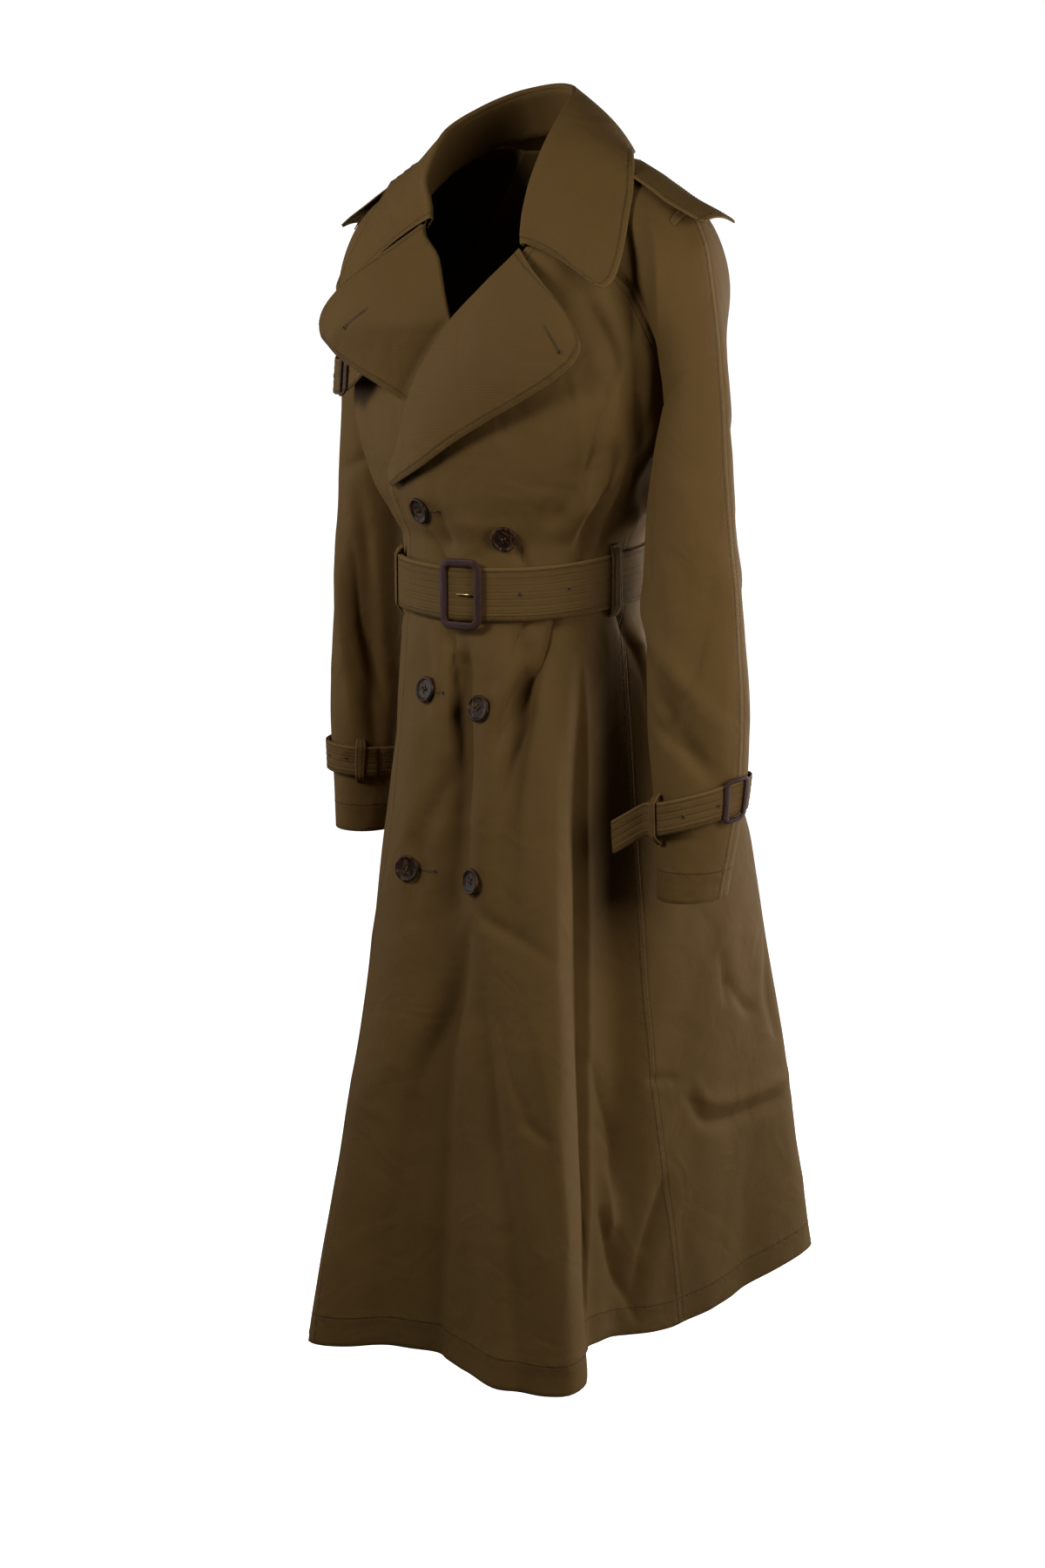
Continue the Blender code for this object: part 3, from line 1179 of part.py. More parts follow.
def build_cuff_straps():
    for row in CUFF_STRAPS:
        side, buckle_turn, tail_turn = row[:3]
        add_wall("cuff_strap_" + side, cuff_strap_grid(row), thickness=CUFF_STRAP_THICK)
        rings = cuff_rings(side)
        over = CUFF_STRAP_OFF + CUFF_STRAP_LAP + CUFF_STRAP_THICK / 2 + 0.0006

        def place(across, up, out):
            turn = buckle_turn - 0.01 + across / 0.30
            return cuff_point(rings, turn, cuff_strap_z(row, turn) + up, over + 0.0014 + out)

        add_frame("cuff_buckle_" + side, place, 0.023, 0.045, 0.005, 0.0046, 0.0026, "leather")
        add_wall("cuff_loop_" + side, cuff_loop_grid(row, rings, tail_turn + 0.06), thickness=0.0012)


def cuff_loop_grid(row, rings, turn):
    """Middle surface of the loop that holds a cuff strap to the sleeve."""
    half = CUFF_STRAP_WIDTH / 2
    over = CUFF_STRAP_OFF + CUFF_STRAP_LAP + CUFF_STRAP_THICK / 2 + 0.0020
    low = CLOTH / 2 + SEAM + 0.0004
    path = ((half + 0.009, low), (half + 0.0036, over * 0.75), (half - 0.001, over),
            (-half + 0.001, over), (-half - 0.0036, over * 0.75), (-half - 0.009, low))
    grid = []
    for up, out in path:
        grid.append([cuff_point(rings, turn + side, cuff_strap_z(row, turn + side) + up, out)
                     for side in (-0.014, 0.014)])
    return np.array(grid)


# ---------------------------------------------------------------- throat latch

# Stations of the throat latch along its middle line, from under the right lapel.
LATCH_COLUMNS = ("along", "x", "y", "z")
LATCH_LINE = (
    (0.0, -0.096, -0.1358, -0.172),
    (1.0, -0.126, -0.1275, -0.190),
    (2.0, -0.148, -0.1170, -0.197),
    (3.0, -0.166, -0.1080, -0.199),
    (4.0, -0.180, -0.0970, -0.198),
    (5.0, -0.190, -0.0820, -0.195),
    (6.0, -0.192, -0.0680, -0.192),
)
LATCH_WIDTH = 0.036
LATCH_THICK = 0.0018


def latch_grid(steps=(0.0, 1.0, 2.0, 3.0, 4.0, 5.0, 6.0)):
    """Middle surface of the latch strap, which stands on edge."""
    line = columns_at(LATCH_COLUMNS, LATCH_LINE, np.array(steps), ("x", "y", "z"))
    up = np.array([0.10, 0.0, 0.995]) * LATCH_WIDTH / 2
    return np.array([line + up, line, line - up])


def latch_place(across, up, out):
    """A point by the strap: across runs along it from its buckle."""
    at = 1.75 + across / 0.0187
    here, ahead = columns_at(LATCH_COLUMNS, LATCH_LINE, np.array([at, at + 0.1]), ("x", "y", "z"))
    along = unit(ahead - here)
    outward = unit(np.cross(along, np.array([0.0, 0.0, 1.0])))
    if outward[1] > 0:
        outward = -outward
    return here + np.array([0.10, 0.0, 0.995]) * up + outward * out


def build_latch():
    add_wall("throat_latch", latch_grid(), thickness=LATCH_THICK)

    def place(across, up, out):
        return latch_place(across, up, LATCH_THICK / 2 + 0.0018 + out)

    add_frame("latch_buckle", place, 0.018, 0.044, 0.004, 0.0045, 0.0024, "leather")


# ---------------------------------------------------------------- shoulder strap loops

STRAP_THICK = 0.0018
STRAP_LOOP_THICK = 0.0012
STRAP_LOOP_HALF = 0.036     # from the overarm seam to each end of the loop
LOOP_OFF = CLOTH / 2 + SEAM + 0.0012


def shoulder_loop_grid(side, step=3.0, cols=7):
    """Middle surface of the short loop on the shoulder, under the strap."""
    grid = []
    for at in (step - 0.10, step + 0.10):
        front = sleeve_grid(side, "front", steps=(at - 0.05, at, at + 0.05), cols=33)
        back = sleeve_grid(side, "back", steps=(at - 0.05, at, at + 0.05), cols=33)
        line = np.concatenate([front[1], back[1, ::-1][1:]])
        normals = np.concatenate([grid_normals(front)[1], grid_normals(back)[1, ::-1][1:]])
        normals = normals * np.sign(normals[:, 2:3] + 1e-9)
        length = np.concatenate([[0.0], np.cumsum(np.linalg.norm(np.diff(line, axis=0), axis=1))])
        spots = length[32] + np.linspace(-STRAP_LOOP_HALF, STRAP_LOOP_HALF, cols)
        high = LOOP_OFF + 0.0008 * np.sin(np.pi * np.linspace(0, 1, cols))
        points = [[np.interp(spot, length, (line + normals * rise)[:, axis]) for axis in range(3)]
                  for spot, rise in zip(spots, high)]
        grid.append(points)
    return np.array(grid)


# ---------------------------------------------------------------- materials

MATERIALS = {}
LOOKS = (
    # slot, red, green, blue, roughness, metallic
    ("gabardine", 0.107, 0.064, 0.018, 0.62, 0.0),
    ("leather", 0.030, 0.011, 0.008, 0.40, 0.0),
    ("horn", 0.022, 0.014, 0.009, 0.25, 0.0),
    ("brass", 0.520, 0.400, 0.200, 0.30, 1.0),
)


def make_materials():
    for slot, red, green, blue, roughness, metallic in LOOKS:
        material = bpy.data.materials.new(slot)
        material.use_nodes = True
        shader = material.node_tree.nodes["Principled BSDF"]
        shader.inputs["Base Color"].default_value = (red, green, blue, 1.0)
        shader.inputs["Roughness"].default_value = roughness
        shader.inputs["Metallic"].default_value = metallic
        MATERIALS[slot] = material


def build_panels():
    """Fronts, back and sleeves, with the same normals on both sides of each seam."""
    grids = {
        "front_left": front_grid("left"),
        "front_right": front_grid("right"),
        "back": back_grid(),
    }
    for side in ("left", "right"):
        for half in ("front", "back"):
            grids["sleeve_" + half + "_" + side] = sleeve_grid(side, half)
    inward = ("front_right", "sleeve_front_left", "sleeve_back_right")
    normals = {name: grid_normals(grid) * (-1 if name in inward else 1)
               for name, grid in grids.items()}
    below = len(SKIRT_ROWS)
    top = len(RAGLAN_STEPS)
    for side in ("left", "right"):
        front = normals["front_" + side]
        back = normals["back"]
        back_col = 0 if side == "left" else -1
        share_normals(front[:below, -1], back[:below, back_col])
        sleeve_front = normals["sleeve_front_" + side]
        sleeve_back = normals["sleeve_back_" + side]
        share_normals(sleeve_front[:, -1], sleeve_back[:, -1])
        share_normals(sleeve_front[top - 1:, 0], sleeve_back[top - 1:, 0])
        share_normals(front[below, -1], back[below, back_col])
        share_normals(front[below + 1:, -1], sleeve_front[:top - 1, 0][::-1])
        share_normals(back[below + 1:, back_col], sleeve_back[:top - 1, 0][::-1])
    # The four pieces that come together at an underarm stand a little further apart there.
    body_gap = np.full((below + top, 1), SEAM / 2)
    body_gap[below] = UNDERARM_GAP
    sleeve_gap = np.full((len(SLEEVE_STEPS), 1), SEAM / 2)
    sleeve_gap[top - 1] = UNDERARM_GAP
    for name, grid in grids.items():
        if name.startswith("front"):
            grid = trim(grid, last_col=body_gap)
        elif name == "back":
            grid = trim(grid, first_col=body_gap, last_col=body_gap)
        else:
            grid = trim(grid, first_col=sleeve_gap, last_col=SEAM / 2)
            grid[:, 0, 0] += np.sign(grid[:, 0, 0]) * np.interp(
                SLEEVE_STEPS, UNDERARM_PUSH_STEPS, UNDERARM_PUSH)
        add_wall(name, grid, normals=normals[name], mirrored=name == "front_right")


def build_lapels_and_collar():
    """Shoulder straps seated on the sleeves, then the collar over their inner ends."""
    facets = shoulder_facets()
    covered = [facets]
    for side in ("left", "right"):
        loop = shoulder_loop_grid(side)
        add_wall("epaulette_loop_" + side, loop, thickness=STRAP_LOOP_THICK)
        strap = seat(epaulette_grid(side), np.concatenate([facets, facets_of(loop)]), SEAT_GAP)
        add_wall("epaulette_" + side, strap, thickness=STRAP_THICK)
        covered.append(facets_of(widened(strap, STRAP_MARGIN)))
    for side in ("left", "right"):
        lapel = lapel_grid(side)
        add_wall("lapel_" + side, lapel, normals=turned_normals(lapel))
    leaf = seat(leaf_grid(rows_per=2), np.concatenate(covered), LEAF_GAP, len(TURN_ANGLES))
    add_wall("collar_leaf", leaf, normals=turned_normals(leaf))
    add_wall("collar_stand", stand_grid(rows_per=2))


def main():
    for obj in list(bpy.data.objects):
        bpy.data.objects.remove(obj, do_unlink=True)
    make_materials()
    build_panels()
    build_lapels_and_collar()
    build_belt()
    for name, angle, layers in BELT_LOOPS:
        add_wall(name, loop_grid(angle, layers), thickness=LOOP_THICK)
    build_buttons()
    build_cuff_straps()
    build_latch()


main()
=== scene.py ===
# %% [markdown]
# # A trench coat in cotton gabardine, dressed piece by piece
# A trench coat is cut from flat panels of a tight twill, sewn into tubes and turned edges, and
# pulled in by a belt. This lesson rebuilds every cut piece as a thin shell: a grid of points is
# worked out from the pattern's own sizes, given the cloth's thickness, and then its weave,
# stitching, buttons and buckles are added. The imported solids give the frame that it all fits.

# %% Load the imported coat
import math

import bpy
import numpy as np
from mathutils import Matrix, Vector, noise
from mathutils.bvhtree import BVHTree


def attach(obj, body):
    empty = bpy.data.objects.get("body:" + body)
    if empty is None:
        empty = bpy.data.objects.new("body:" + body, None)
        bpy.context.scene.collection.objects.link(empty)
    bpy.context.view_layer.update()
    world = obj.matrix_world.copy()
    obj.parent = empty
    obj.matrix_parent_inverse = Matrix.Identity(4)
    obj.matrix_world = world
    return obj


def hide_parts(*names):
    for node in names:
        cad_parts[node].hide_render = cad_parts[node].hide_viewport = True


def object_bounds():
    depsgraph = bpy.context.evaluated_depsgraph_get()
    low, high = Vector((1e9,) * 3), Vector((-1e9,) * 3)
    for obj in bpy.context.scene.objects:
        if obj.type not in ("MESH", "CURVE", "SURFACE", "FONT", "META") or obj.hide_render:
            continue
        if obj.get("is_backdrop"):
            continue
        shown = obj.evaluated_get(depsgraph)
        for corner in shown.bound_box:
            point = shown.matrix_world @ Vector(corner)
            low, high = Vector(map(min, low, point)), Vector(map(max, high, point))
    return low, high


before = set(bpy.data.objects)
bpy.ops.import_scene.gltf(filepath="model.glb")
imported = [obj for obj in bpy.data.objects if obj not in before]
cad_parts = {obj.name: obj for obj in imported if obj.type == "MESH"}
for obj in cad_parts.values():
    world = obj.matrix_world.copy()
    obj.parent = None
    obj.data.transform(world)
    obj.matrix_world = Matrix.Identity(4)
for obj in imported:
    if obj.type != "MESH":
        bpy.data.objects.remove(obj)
cad_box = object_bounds()
print("solids in the frame:", len(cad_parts))

# %% [markdown]
# ## The camera
# The lens stands a little above the belt, in front of the wearer's left hip, and looks slightly
# down. Its focal length comes from the height of the picture: 57 mm behind a 36 mm tall sensor
# shows the whole coat from two and a half metres without bending its straight edges.

# %% Camera
VIEW_TURN = 39.0        # degrees round from straight in front, towards the wearer's left
VIEW_DOWN = 12.08       # degrees below level
VIEW_DISTANCE = 2.65
VIEW_HEIGHT = -0.07


def put(name, data):
    """A new object in the scene."""
    piece = bpy.data.objects.new(name, data)
    bpy.context.scene.collection.objects.link(piece)
    return piece


camera = put("camera", bpy.data.cameras.new("camera"))
bpy.context.scene.camera = camera
camera.location = (
    VIEW_DISTANCE * math.sin(math.radians(VIEW_TURN)),
    -VIEW_DISTANCE * math.cos(math.radians(VIEW_TURN)),
    VIEW_HEIGHT,
)
camera.rotation_euler = (math.radians(90 - VIEW_DOWN), 0.0, math.radians(VIEW_TURN))
camera.data.sensor_fit = "VERTICAL"
camera.data.sensor_height = 36.0
camera.data.lens = 57.0
print("camera at", [round(value, 3) for value in camera.location])

# %% [markdown]
# ## Small helpers
# Colours are written the way a swatch card gives them, as sRGB hex, and one function turns them
# into the linear values that a shader works in. Another adds a node, sets it and joins it up, and
# serves both the shaders and the geometry trees below. The rest name the few nodes that every
# finish repeats: noise, a sum, a stretched range, a mix of two colours, and the joining up.

# %% Colour and node helpers
def linear(swatch):
    """Linear colour, with alpha, of an sRGB hex swatch."""
    channels = [int(swatch[i:i + 2], 16) / 255 for i in (1, 3, 5)]
    return (*(c / 12.92 if c <= 0.04045 else ((c + 0.055) / 1.055) ** 2.4 for c in channels), 1.0)


def add(tree, kind, inputs=None, **settings):
    """Adds a node; inputs gives each socket a value or the output that feeds it."""
    node = tree.nodes.new(kind)
    for name, value in settings.items():
        setattr(node, name, value)
    for socket, value in (inputs or {}).items():
        if isinstance(value, bpy.types.NodeSocket):
            tree.links.new(value, node.inputs[socket])
        else:
            node.inputs[socket].default_value = value
    return node


def new_material(name):
    """An empty material with its shader, as (material, tree, shader)."""
    material = bpy.data.materials.new(name)
    material.use_nodes = True
    return material, material.node_tree, material.node_tree.nodes["Principled BSDF"]


def noise_at(tree, place, scale, detail, **more):
    inputs = {"Vector": place, "Scale": scale, "Detail": detail, **more}
    return add(tree, "ShaderNodeTexNoise", inputs).outputs["Fac"]


def maths(tree, operation, *values):
    return add(tree, "ShaderNodeMath", dict(enumerate(values)), operation=operation).outputs[0]


def stretch(tree, value, low, high, reach=(0.0, 1.0), **settings):
    """Turns the range that a value has (its reach) into the range from low to high."""
    return add(tree, "ShaderNodeMapRange", {
        "Value": value, "From Min": reach[0], "From Max": reach[1], "To Min": low, "To Max": high,
    }, **settings).outputs["Result"]


def blend(tree, share, first, second):
    """The first colour at a share of 0 and the second at 1; each is a swatch or a socket."""
    first, second = (linear(c) if isinstance(c, str) else c for c in (first, second))
    return add(tree, "ShaderNodeMix", {"Factor": share, 6: first, 7: second},
               data_type="RGBA").outputs[2]


def finish(look, colour, roughness, height, depth, strength, levels=None):
    """Joins colour, roughness and bump to the shader; levels are its other inputs."""
    material, tree, shader = look
    bump = add(tree, "ShaderNodeBump", {"Height": height, "Distance": depth, "Strength": strength})
    tree.links.new(colour, shader.inputs["Base Color"])
    tree.links.new(roughness, shader.inputs["Roughness"])
    tree.links.new(bump.outputs["Normal"], shader.inputs["Normal"])
    for socket, value in (levels or {}).items():
        shader.inputs[socket].default_value = value
    return material


print("helpers ready; mid grey is", [round(value, 3) for value in linear("#808080")[:3]])

# %% [markdown]
# ## The cloth: cotton gabardine
# Gabardine is a warp-faced twill: fine yarns, tightly set, that run in steep diagonal lines. To
# the eye it is smooth and a little dry, with a soft bloom where light grazes it, and it shows
# every turned edge, because an edge rubs paler. The real lines are about half a millimetre
# apart; they are drawn two millimetres apart here, which is the finest that shows at this size.
# The pattern reads each piece's own UV map, in metres, so it turns with the cloth. Two point
# attributes carry the sewing: "seam" is the distance to up to three rows of stitching, where the
# thread pulls a small valley and the colour is darkened there as painted shade, and "edge" is
# the distance to up to three turned edges.

# %% Gabardine
GABARDINE_FACE = "#76592d"
GABARDINE_DEEP = "#664c26"
GABARDINE_WORN = "#86693d"
GABARDINE_SHEEN = "#b59a68"
TWILL_PITCH = 0.0020
SLUB_WIDTH = 0.0016
SLUB_LENGTH = 0.018


def nearest(tree, sewing):
    """Distance to the nearest of the three lines that a sewing attribute holds."""
    lines = add(tree, "ShaderNodeAttribute", attribute_name=sewing).outputs["Vector"]
    parts = add(tree, "ShaderNodeSeparateXYZ", {"Vector": lines}).outputs
    first, second, third = (maths(tree, "ABSOLUTE", part) for part in parts)
    return maths(tree, "MINIMUM", maths(tree, "MINIMUM", first, second), third)


def dimmed(tree, colour, share):
    return add(tree, "ShaderNodeVectorMath", {0: colour, "Scale": share},
               operation="SCALE").outputs[0]


def gabardine(name, face=GABARDINE_FACE, deep=GABARDINE_DEEP, row_pitch=0.0):
    """Twill cloth; row_pitch is the distance between the stitched rows of a strap, or nothing."""
    look = new_material(name)
    tree = look[1]
    place = add(tree, "ShaderNodeUVMap", uv_map="cloth").outputs["UV"]
    solid = add(tree, "ShaderNodeTexCoord").outputs["Object"]

    # A diagonal wave goes through one period in 0.628 / scale units of x + y.
    twill = add(tree, "ShaderNodeTexWave", {
        "Vector": place, "Scale": 0.628 / (TWILL_PITCH * 1.414), "Distortion": 0.6,
        "Detail": 1.0, "Detail Scale": 0.4}, bands_direction="DIAGONAL").outputs["Fac"]
    drawn_out = add(tree, "ShaderNodeMapping", {
        "Vector": place, "Scale": (1 / SLUB_WIDTH, 1 / SLUB_LENGTH, 1.0)}).outputs["Vector"]
    slub = noise_at(tree, drawn_out, 1.0, 2.0)
    patch = noise_at(tree, solid, 5.0, 3.0, Roughness=0.6)
    thready = maths(tree, "MULTIPLY", twill, slub)
    at_seam, at_edge = nearest(tree, "seam"), nearest(tree, "edge")

    tone = stretch(tree, thready, 0.88, 1.10, (0.0, 0.8))
    toned = dimmed(tree, blend(tree, patch, deep, face), tone)
    wear = stretch(tree, at_edge, 0.40, 0.0, (0.0002, 0.0020))
    # Painted shade: the colour darkens by up to 28 per cent along each row of stitching, in the
    # small valley that the thread pulls.
    valley = stretch(tree, at_seam, 0.72, 1.0, (0.0003, 0.0018))
    colour = dimmed(tree, blend(tree, wear, toned, GABARDINE_WORN), valley)

    # Heights in metres: broad softness, the pucker beside a seam, the seam's valley, the weave.
    soft = noise_at(tree, solid, 17.0, 2.0, Distortion=0.8)
    ripple = noise_at(tree, place, 130.0, 1.0)
    pucker = maths(tree, "MULTIPLY", ripple, stretch(tree, at_seam, 1.0, 0.0, (0.0, 0.011)))
    sunk = stretch(tree, at_seam, 0.0, 1.0, (0.0, 0.0016), interpolation_type="SMOOTHSTEP")
    layers = [(soft, 0.0040), (pucker, 0.0014), (sunk, 0.0005), (thready, 0.00022)]
    if row_pitch:
        across = add(tree, "ShaderNodeSeparateXYZ", {"Vector": place}).outputs["Y"]
        fold = maths(tree, "PINGPONG", across, row_pitch / 2)
        layers.append((stretch(tree, fold, 0.0, 1.0, (0.0, 0.0013),
                               interpolation_type="SMOOTHSTEP"), 0.0004))
    height = maths(tree, "MULTIPLY", *layers[0])
    for layer in layers[1:]:
        height = maths(tree, "ADD", height, maths(tree, "MULTIPLY", *layer))
    return finish(look, colour, stretch(tree, slub, 0.72, 0.88), height, 1.0, 0.9, {
        "Specular IOR Level": 0.20, "Sheen Weight": 0.05, "Sheen Roughness": 0.45,
        "Sheen Tint": linear(GABARDINE_SHEEN)})


cloth_look = gabardine("cotton_gabardine")
strap_look = gabardine("stitched_gabardine", row_pitch=0.0072)
inside_look = gabardine("gabardine_wrong_side", face="#6c522b", deep="#5d4724")
print("gabardine in", len(cloth_look.node_tree.nodes), "nodes")

# %% [markdown]
# ## Thread, leather, horn and brass
# Topstitching is spun polyester, twisted from two plies, a shade paler than the cloth. The
# buckles are covered in dark calf: a fine pebble of pores, darker in the hollows, with a low
# wax gloss. Horn buttons are sawn from cattle horn and polished, so smoky brown bands run
# through a nearly black ground under a clear gloss. The prong is brass, brushed by wear.

# %% Thread, leather, horn and brass
PLY_PITCH = 0.0009
CALF_FACE, CALF_DEEP, CALF_RUBBED = "#3c1b15", "#26100c", "#59342a"
HORN_STOPS = ((0.36, "#17110e"), (0.54, "#3a2619"), (0.72, "#73502f"))
BRASS_DULL, BRASS_BRIGHT = "#a58a52", "#e6d3a0"


def thread(name, hollow, crown):
    """Twisted polyester thread: the ply shows as a fine slanting ripple, with painted shade
    darkening the hollows between the plies.
    """
    look = new_material(name)
    tree = look[1]
    solid = add(tree, "ShaderNodeTexCoord").outputs["Object"]
    ply = add(tree, "ShaderNodeTexWave", {
        "Vector": solid, "Scale": 0.314 / PLY_PITCH, "Distortion": 1.5}).outputs["Fac"]
    # Painted shade: the colour runs from the darker hollow swatch between the plies to the crown
    # swatch on them.
    colour = blend(tree, ply, hollow, crown)
    return finish(look, colour, stretch(tree, ply, 0.5, 0.7), ply, 0.0002, 0.5)


def calf_leather(name):
    """Pebbled calf: pores a millimetre apart, a wax gloss that the pebble breaks up."""
    look = new_material(name)
    tree = look[1]
    solid = add(tree, "ShaderNodeTexCoord").outputs["Object"]
    pores = add(tree, "ShaderNodeTexVoronoi", {"Vector": solid, "Scale": 900.0},
                feature="DISTANCE_TO_EDGE").outputs["Distance"]
    mottle = noise_at(tree, solid, 90.0, 4.0)
    pointed = add(tree, "ShaderNodeNewGeometry").outputs["Pointiness"]
    rubbed = stretch(tree, pointed, 0.0, 1.0, (0.51, 0.60))
    colour = blend(tree, rubbed, blend(tree, mottle, CALF_DEEP, CALF_FACE), CALF_RUBBED)
    pebble = stretch(tree, pores, 0.0, 1.0, (0.0, 0.25))
    return finish(look, colour, stretch(tree, mottle, 0.46, 0.62), pebble, 0.0003, 0.6, {
        "Specular IOR Level": 0.30, "Coat Weight": 0.05, "Coat Roughness": 0.25})


def horn(name):
    """Polished horn: smoky bands drawn out across a nearly black ground."""
    look = new_material(name)
    tree = look[1]
    solid = add(tree, "ShaderNodeTexCoord").outputs["Object"]
    drawn_out = add(tree, "ShaderNodeMapping", {
        "Vector": solid, "Rotation": (0.3, 0.5, 0.9), "Scale": (170.0, 40.0, 80.0)})
    bands = noise_at(tree, drawn_out.outputs["Vector"], 1.0, 5.0, Distortion=1.6)
    colour = add(tree, "ShaderNodeValToRGB", {"Fac": bands})
    stops = colour.color_ramp.elements
    stops.new(0.54)
    for stop, (position, swatch) in zip(stops, HORN_STOPS):
        stop.position, stop.color = position, linear(swatch)
    return finish(look, colour.outputs["Color"], stretch(tree, bands, 0.42, 0.55), bands,
                  0.0002, 0.25, {
                      "Specular IOR Level": 0.18, "Coat Weight": 0.03, "Coat Roughness": 0.10})


def brushed_brass(name):
    """Drawn brass wire, brightened where it rubs and dulled between."""
    look = new_material(name)
    tree = look[1]
    solid = add(tree, "ShaderNodeTexCoord").outputs["Object"]
    rub = noise_at(tree, solid, 400.0, 3.0)
    colour = blend(tree, rub, BRASS_DULL, BRASS_BRIGHT)
    return finish(look, colour, stretch(tree, rub, 0.22, 0.42), rub, 0.0001, 0.4,
                  {"Metallic": 1.0})


thread_look = thread("polyester_topstitch_thread", "#5c4525", "#70562f")
buttonhole_look = thread("buttonhole_twist", "#4b3517", "#6b4f25")
# Painted shade: a nearly black material for the solids that stand in for the darkness inside each
# worked hole.
hole_shade_look = thread("buttonhole_gimp", "#1d1407", "#2e200c")
leather_look = calf_leather("calf_leather")
horn_look = horn("polished_horn")
brass_look = brushed_brass("brushed_brass")
print("materials:", sorted(material.name for material in bpy.data.materials))

# %% [markdown]
# ## Curves through a table
# Each part of the pattern is a short table of sizes. A smooth curve runs through each column
# without overshooting, so a fold never bulges past the size it was given. A monotone cubic does
# this; a plain spline would not. Sizes in the tables are typed in millimetres.

# %% Curves
def table(columns, *rows):
    """Typed rows as one array for each named column; a column in _mm becomes metres."""
    data = {}
    for name, values in zip(columns.split(), zip(*rows)):
        values = np.array(values)
        data[name.removesuffix("_mm")] = values / 1000 if name.endswith("_mm") else values
    return data


def smooth(t):
    return t * t * (3 - 2 * t)


def curve(known, values, at):
    """A smooth curve through the values that never overshoots them (monotone cubic)."""
    order = np.argsort(known)
    known = np.asarray(known, float)[order]
    values = np.asarray(values, float)[order]
    at = np.clip(np.asarray(at, float), known[0], known[-1])
    gap = np.diff(known)
    slope = np.diff(values) / gap
    tangent = np.zeros_like(values)
    both = slope[1:] + slope[:-1]
    rising = slope[1:] * slope[:-1] > 0
    tangent[1:-1] = np.where(rising, 2 * slope[1:] * slope[:-1] / np.where(rising, both, 1.0), 0.0)
    tangent[0], tangent[-1] = slope[0], slope[-1]
    k = np.clip(np.searchsorted(known, at, side="right") - 1, 0, len(known) - 2)
    t = (at - known[k]) / gap[k]
    return (values[k] * (1 + 2 * t) * (1 - t) ** 2
            + values[k + 1] * smooth(t)
            + gap[k] * t * (1 - t) * (tangent[k] * (1 - t) - tangent[k + 1] * t))


def columns_at(data, at, *names):
    """The named columns of a table where its first column has the value at."""
    known = next(iter(data.values()))
    return np.stack([curve(known, data[name], at) for name in names], axis=-1)


def size_at(data, at, name):
    return float(columns_at(data, at, name)[0])


def unit(vectors):
    """The same directions with a length of 1."""
    length = np.linalg.norm(vectors, axis=-1, keepdims=True)
    return vectors / np.maximum(length, 1e-12)


def bezier(start, leave, arrive, end, t):
    """Cubic curve from start to end; leave and arrive are the two handles, as points."""
    t = np.asarray(t, float)[:, None]
    return ((1 - t) ** 3 * start + 3 * t * (1 - t) ** 2 * leave
            + 3 * t * t * (1 - t) * arrive + t ** 3 * end)


print("halfway between 0 and 1:", round(float(curve((0, 1, 2), (0, 1, 1), 0.5)), 3))

# %% [markdown]
# ## The body of the coat
# A pattern maker lofts the upper body from sections and lets the skirt hang in flutes. The
# sections are ovals that can be a little square; each flute is one row with its angle and
# radius at the hip, the knee and the hem. Angles go round from the front, in degrees, towards
# the wearer's left.

# %% Body tables
CLOTH = 0.0015          # wall of the cloth
LAYER = 0.003           # from one layer of cloth to the next
UNDER = 2 * LAYER       # how far the under front lies inside the outer front
HEM_Z = -1.22
HIP_Z = -0.60
KNEE_Z = -0.85
WAIST_LOW_Z = -0.446    # just below the belt

BODY_SECTIONS = table(
    "height_mm left_mm right_mm front_mm back_mm squareness",
    (50, 78, 78, 70, 78, 2),
    (20, 100, 100, 74, 92, 2),
    (-30, 128, 128, 90, 112, 2),
    (-60, 165, 165, 103, 122, 2.1),
    (-100, 192, 192, 118, 132, 2.2),
    (-160, 200, 200, 130, 142, 2.3),
    (-240, 190, 190, 134, 150, 2.2),
    (-310, 166, 168, 128, 152, 2.1),
    (-340, 149, 151, 121, 130, 2),
    (-366, 138, 139, 112.5, 117, 2),
    (-446, 136, 137, 112, 116, 2),
)

# One row for each ridge or trough of the skirt, from the back round the wearer's right,
# the front and the left. The radius is measured from the vertical axis.
SKIRT_LINES = table(
    "name waist_angle hem_angle hip_mm knee_mm hem_mm",
    ("back middle", -180, -180, 184, 236, 300),
    ("right back trough 1", -168, -168, 176, 222, 274),
    ("right back ridge 1", -157, -156, 190, 246, 312),
    ("right back trough 2", -146, -145, 178, 222, 268),
    ("right back ridge 2", -134, -133, 190, 238, 292),
    ("right back trough 3", -122, -120, 176, 212, 246),
    ("right side ridge", -108, -107, 180, 214, 252),
    ("right side trough", -96, -93, 168, 194, 222),
    ("right front ridge", -80, -77, 160, 188, 222),
    ("right front trough", -66, -60, 142, 166, 198),
    ("right front panel", -56, -40, 140, 168, 212),
    ("front edge", -49, -17.5, 141, 190, 276),
    ("front flat", -26, -4, 146, 182, 230),
    ("front trough", 2, 12, 132, 160, 200),
    ("front rise", 22, 24, 146, 180, 232),
    ("flute near side", 38, 35, 148, 198, 274),
    ("flute ridge", 51, 47, 164, 218, 288),
    ("flute far side", 58.5, 52.5, 156, 200, 270),
    ("left trough", 68, 60.5, 128, 142, 180),
    ("left flat", 84, 84, 142, 158, 170),
    ("left side", 102, 106, 168, 186, 188),
    ("left back slope", 120, 128, 204, 242, 248),
    ("left back ridge", 136, 145, 224, 290, 352),
    ("left back trough", 150, 157, 196, 248, 300),
    ("back ridge", 163, 168, 204, 262, 330),
)

# How far the hem drops below its plain height round the coat.
HEM_DROP = table(
    "angle drop_mm",
    (-180, 0), (-110, 4), (-60, 0), (62, 0), (84, 9), (104, 16), (124, 10), (142, -13), (160, -4),
    (180, 0),
)

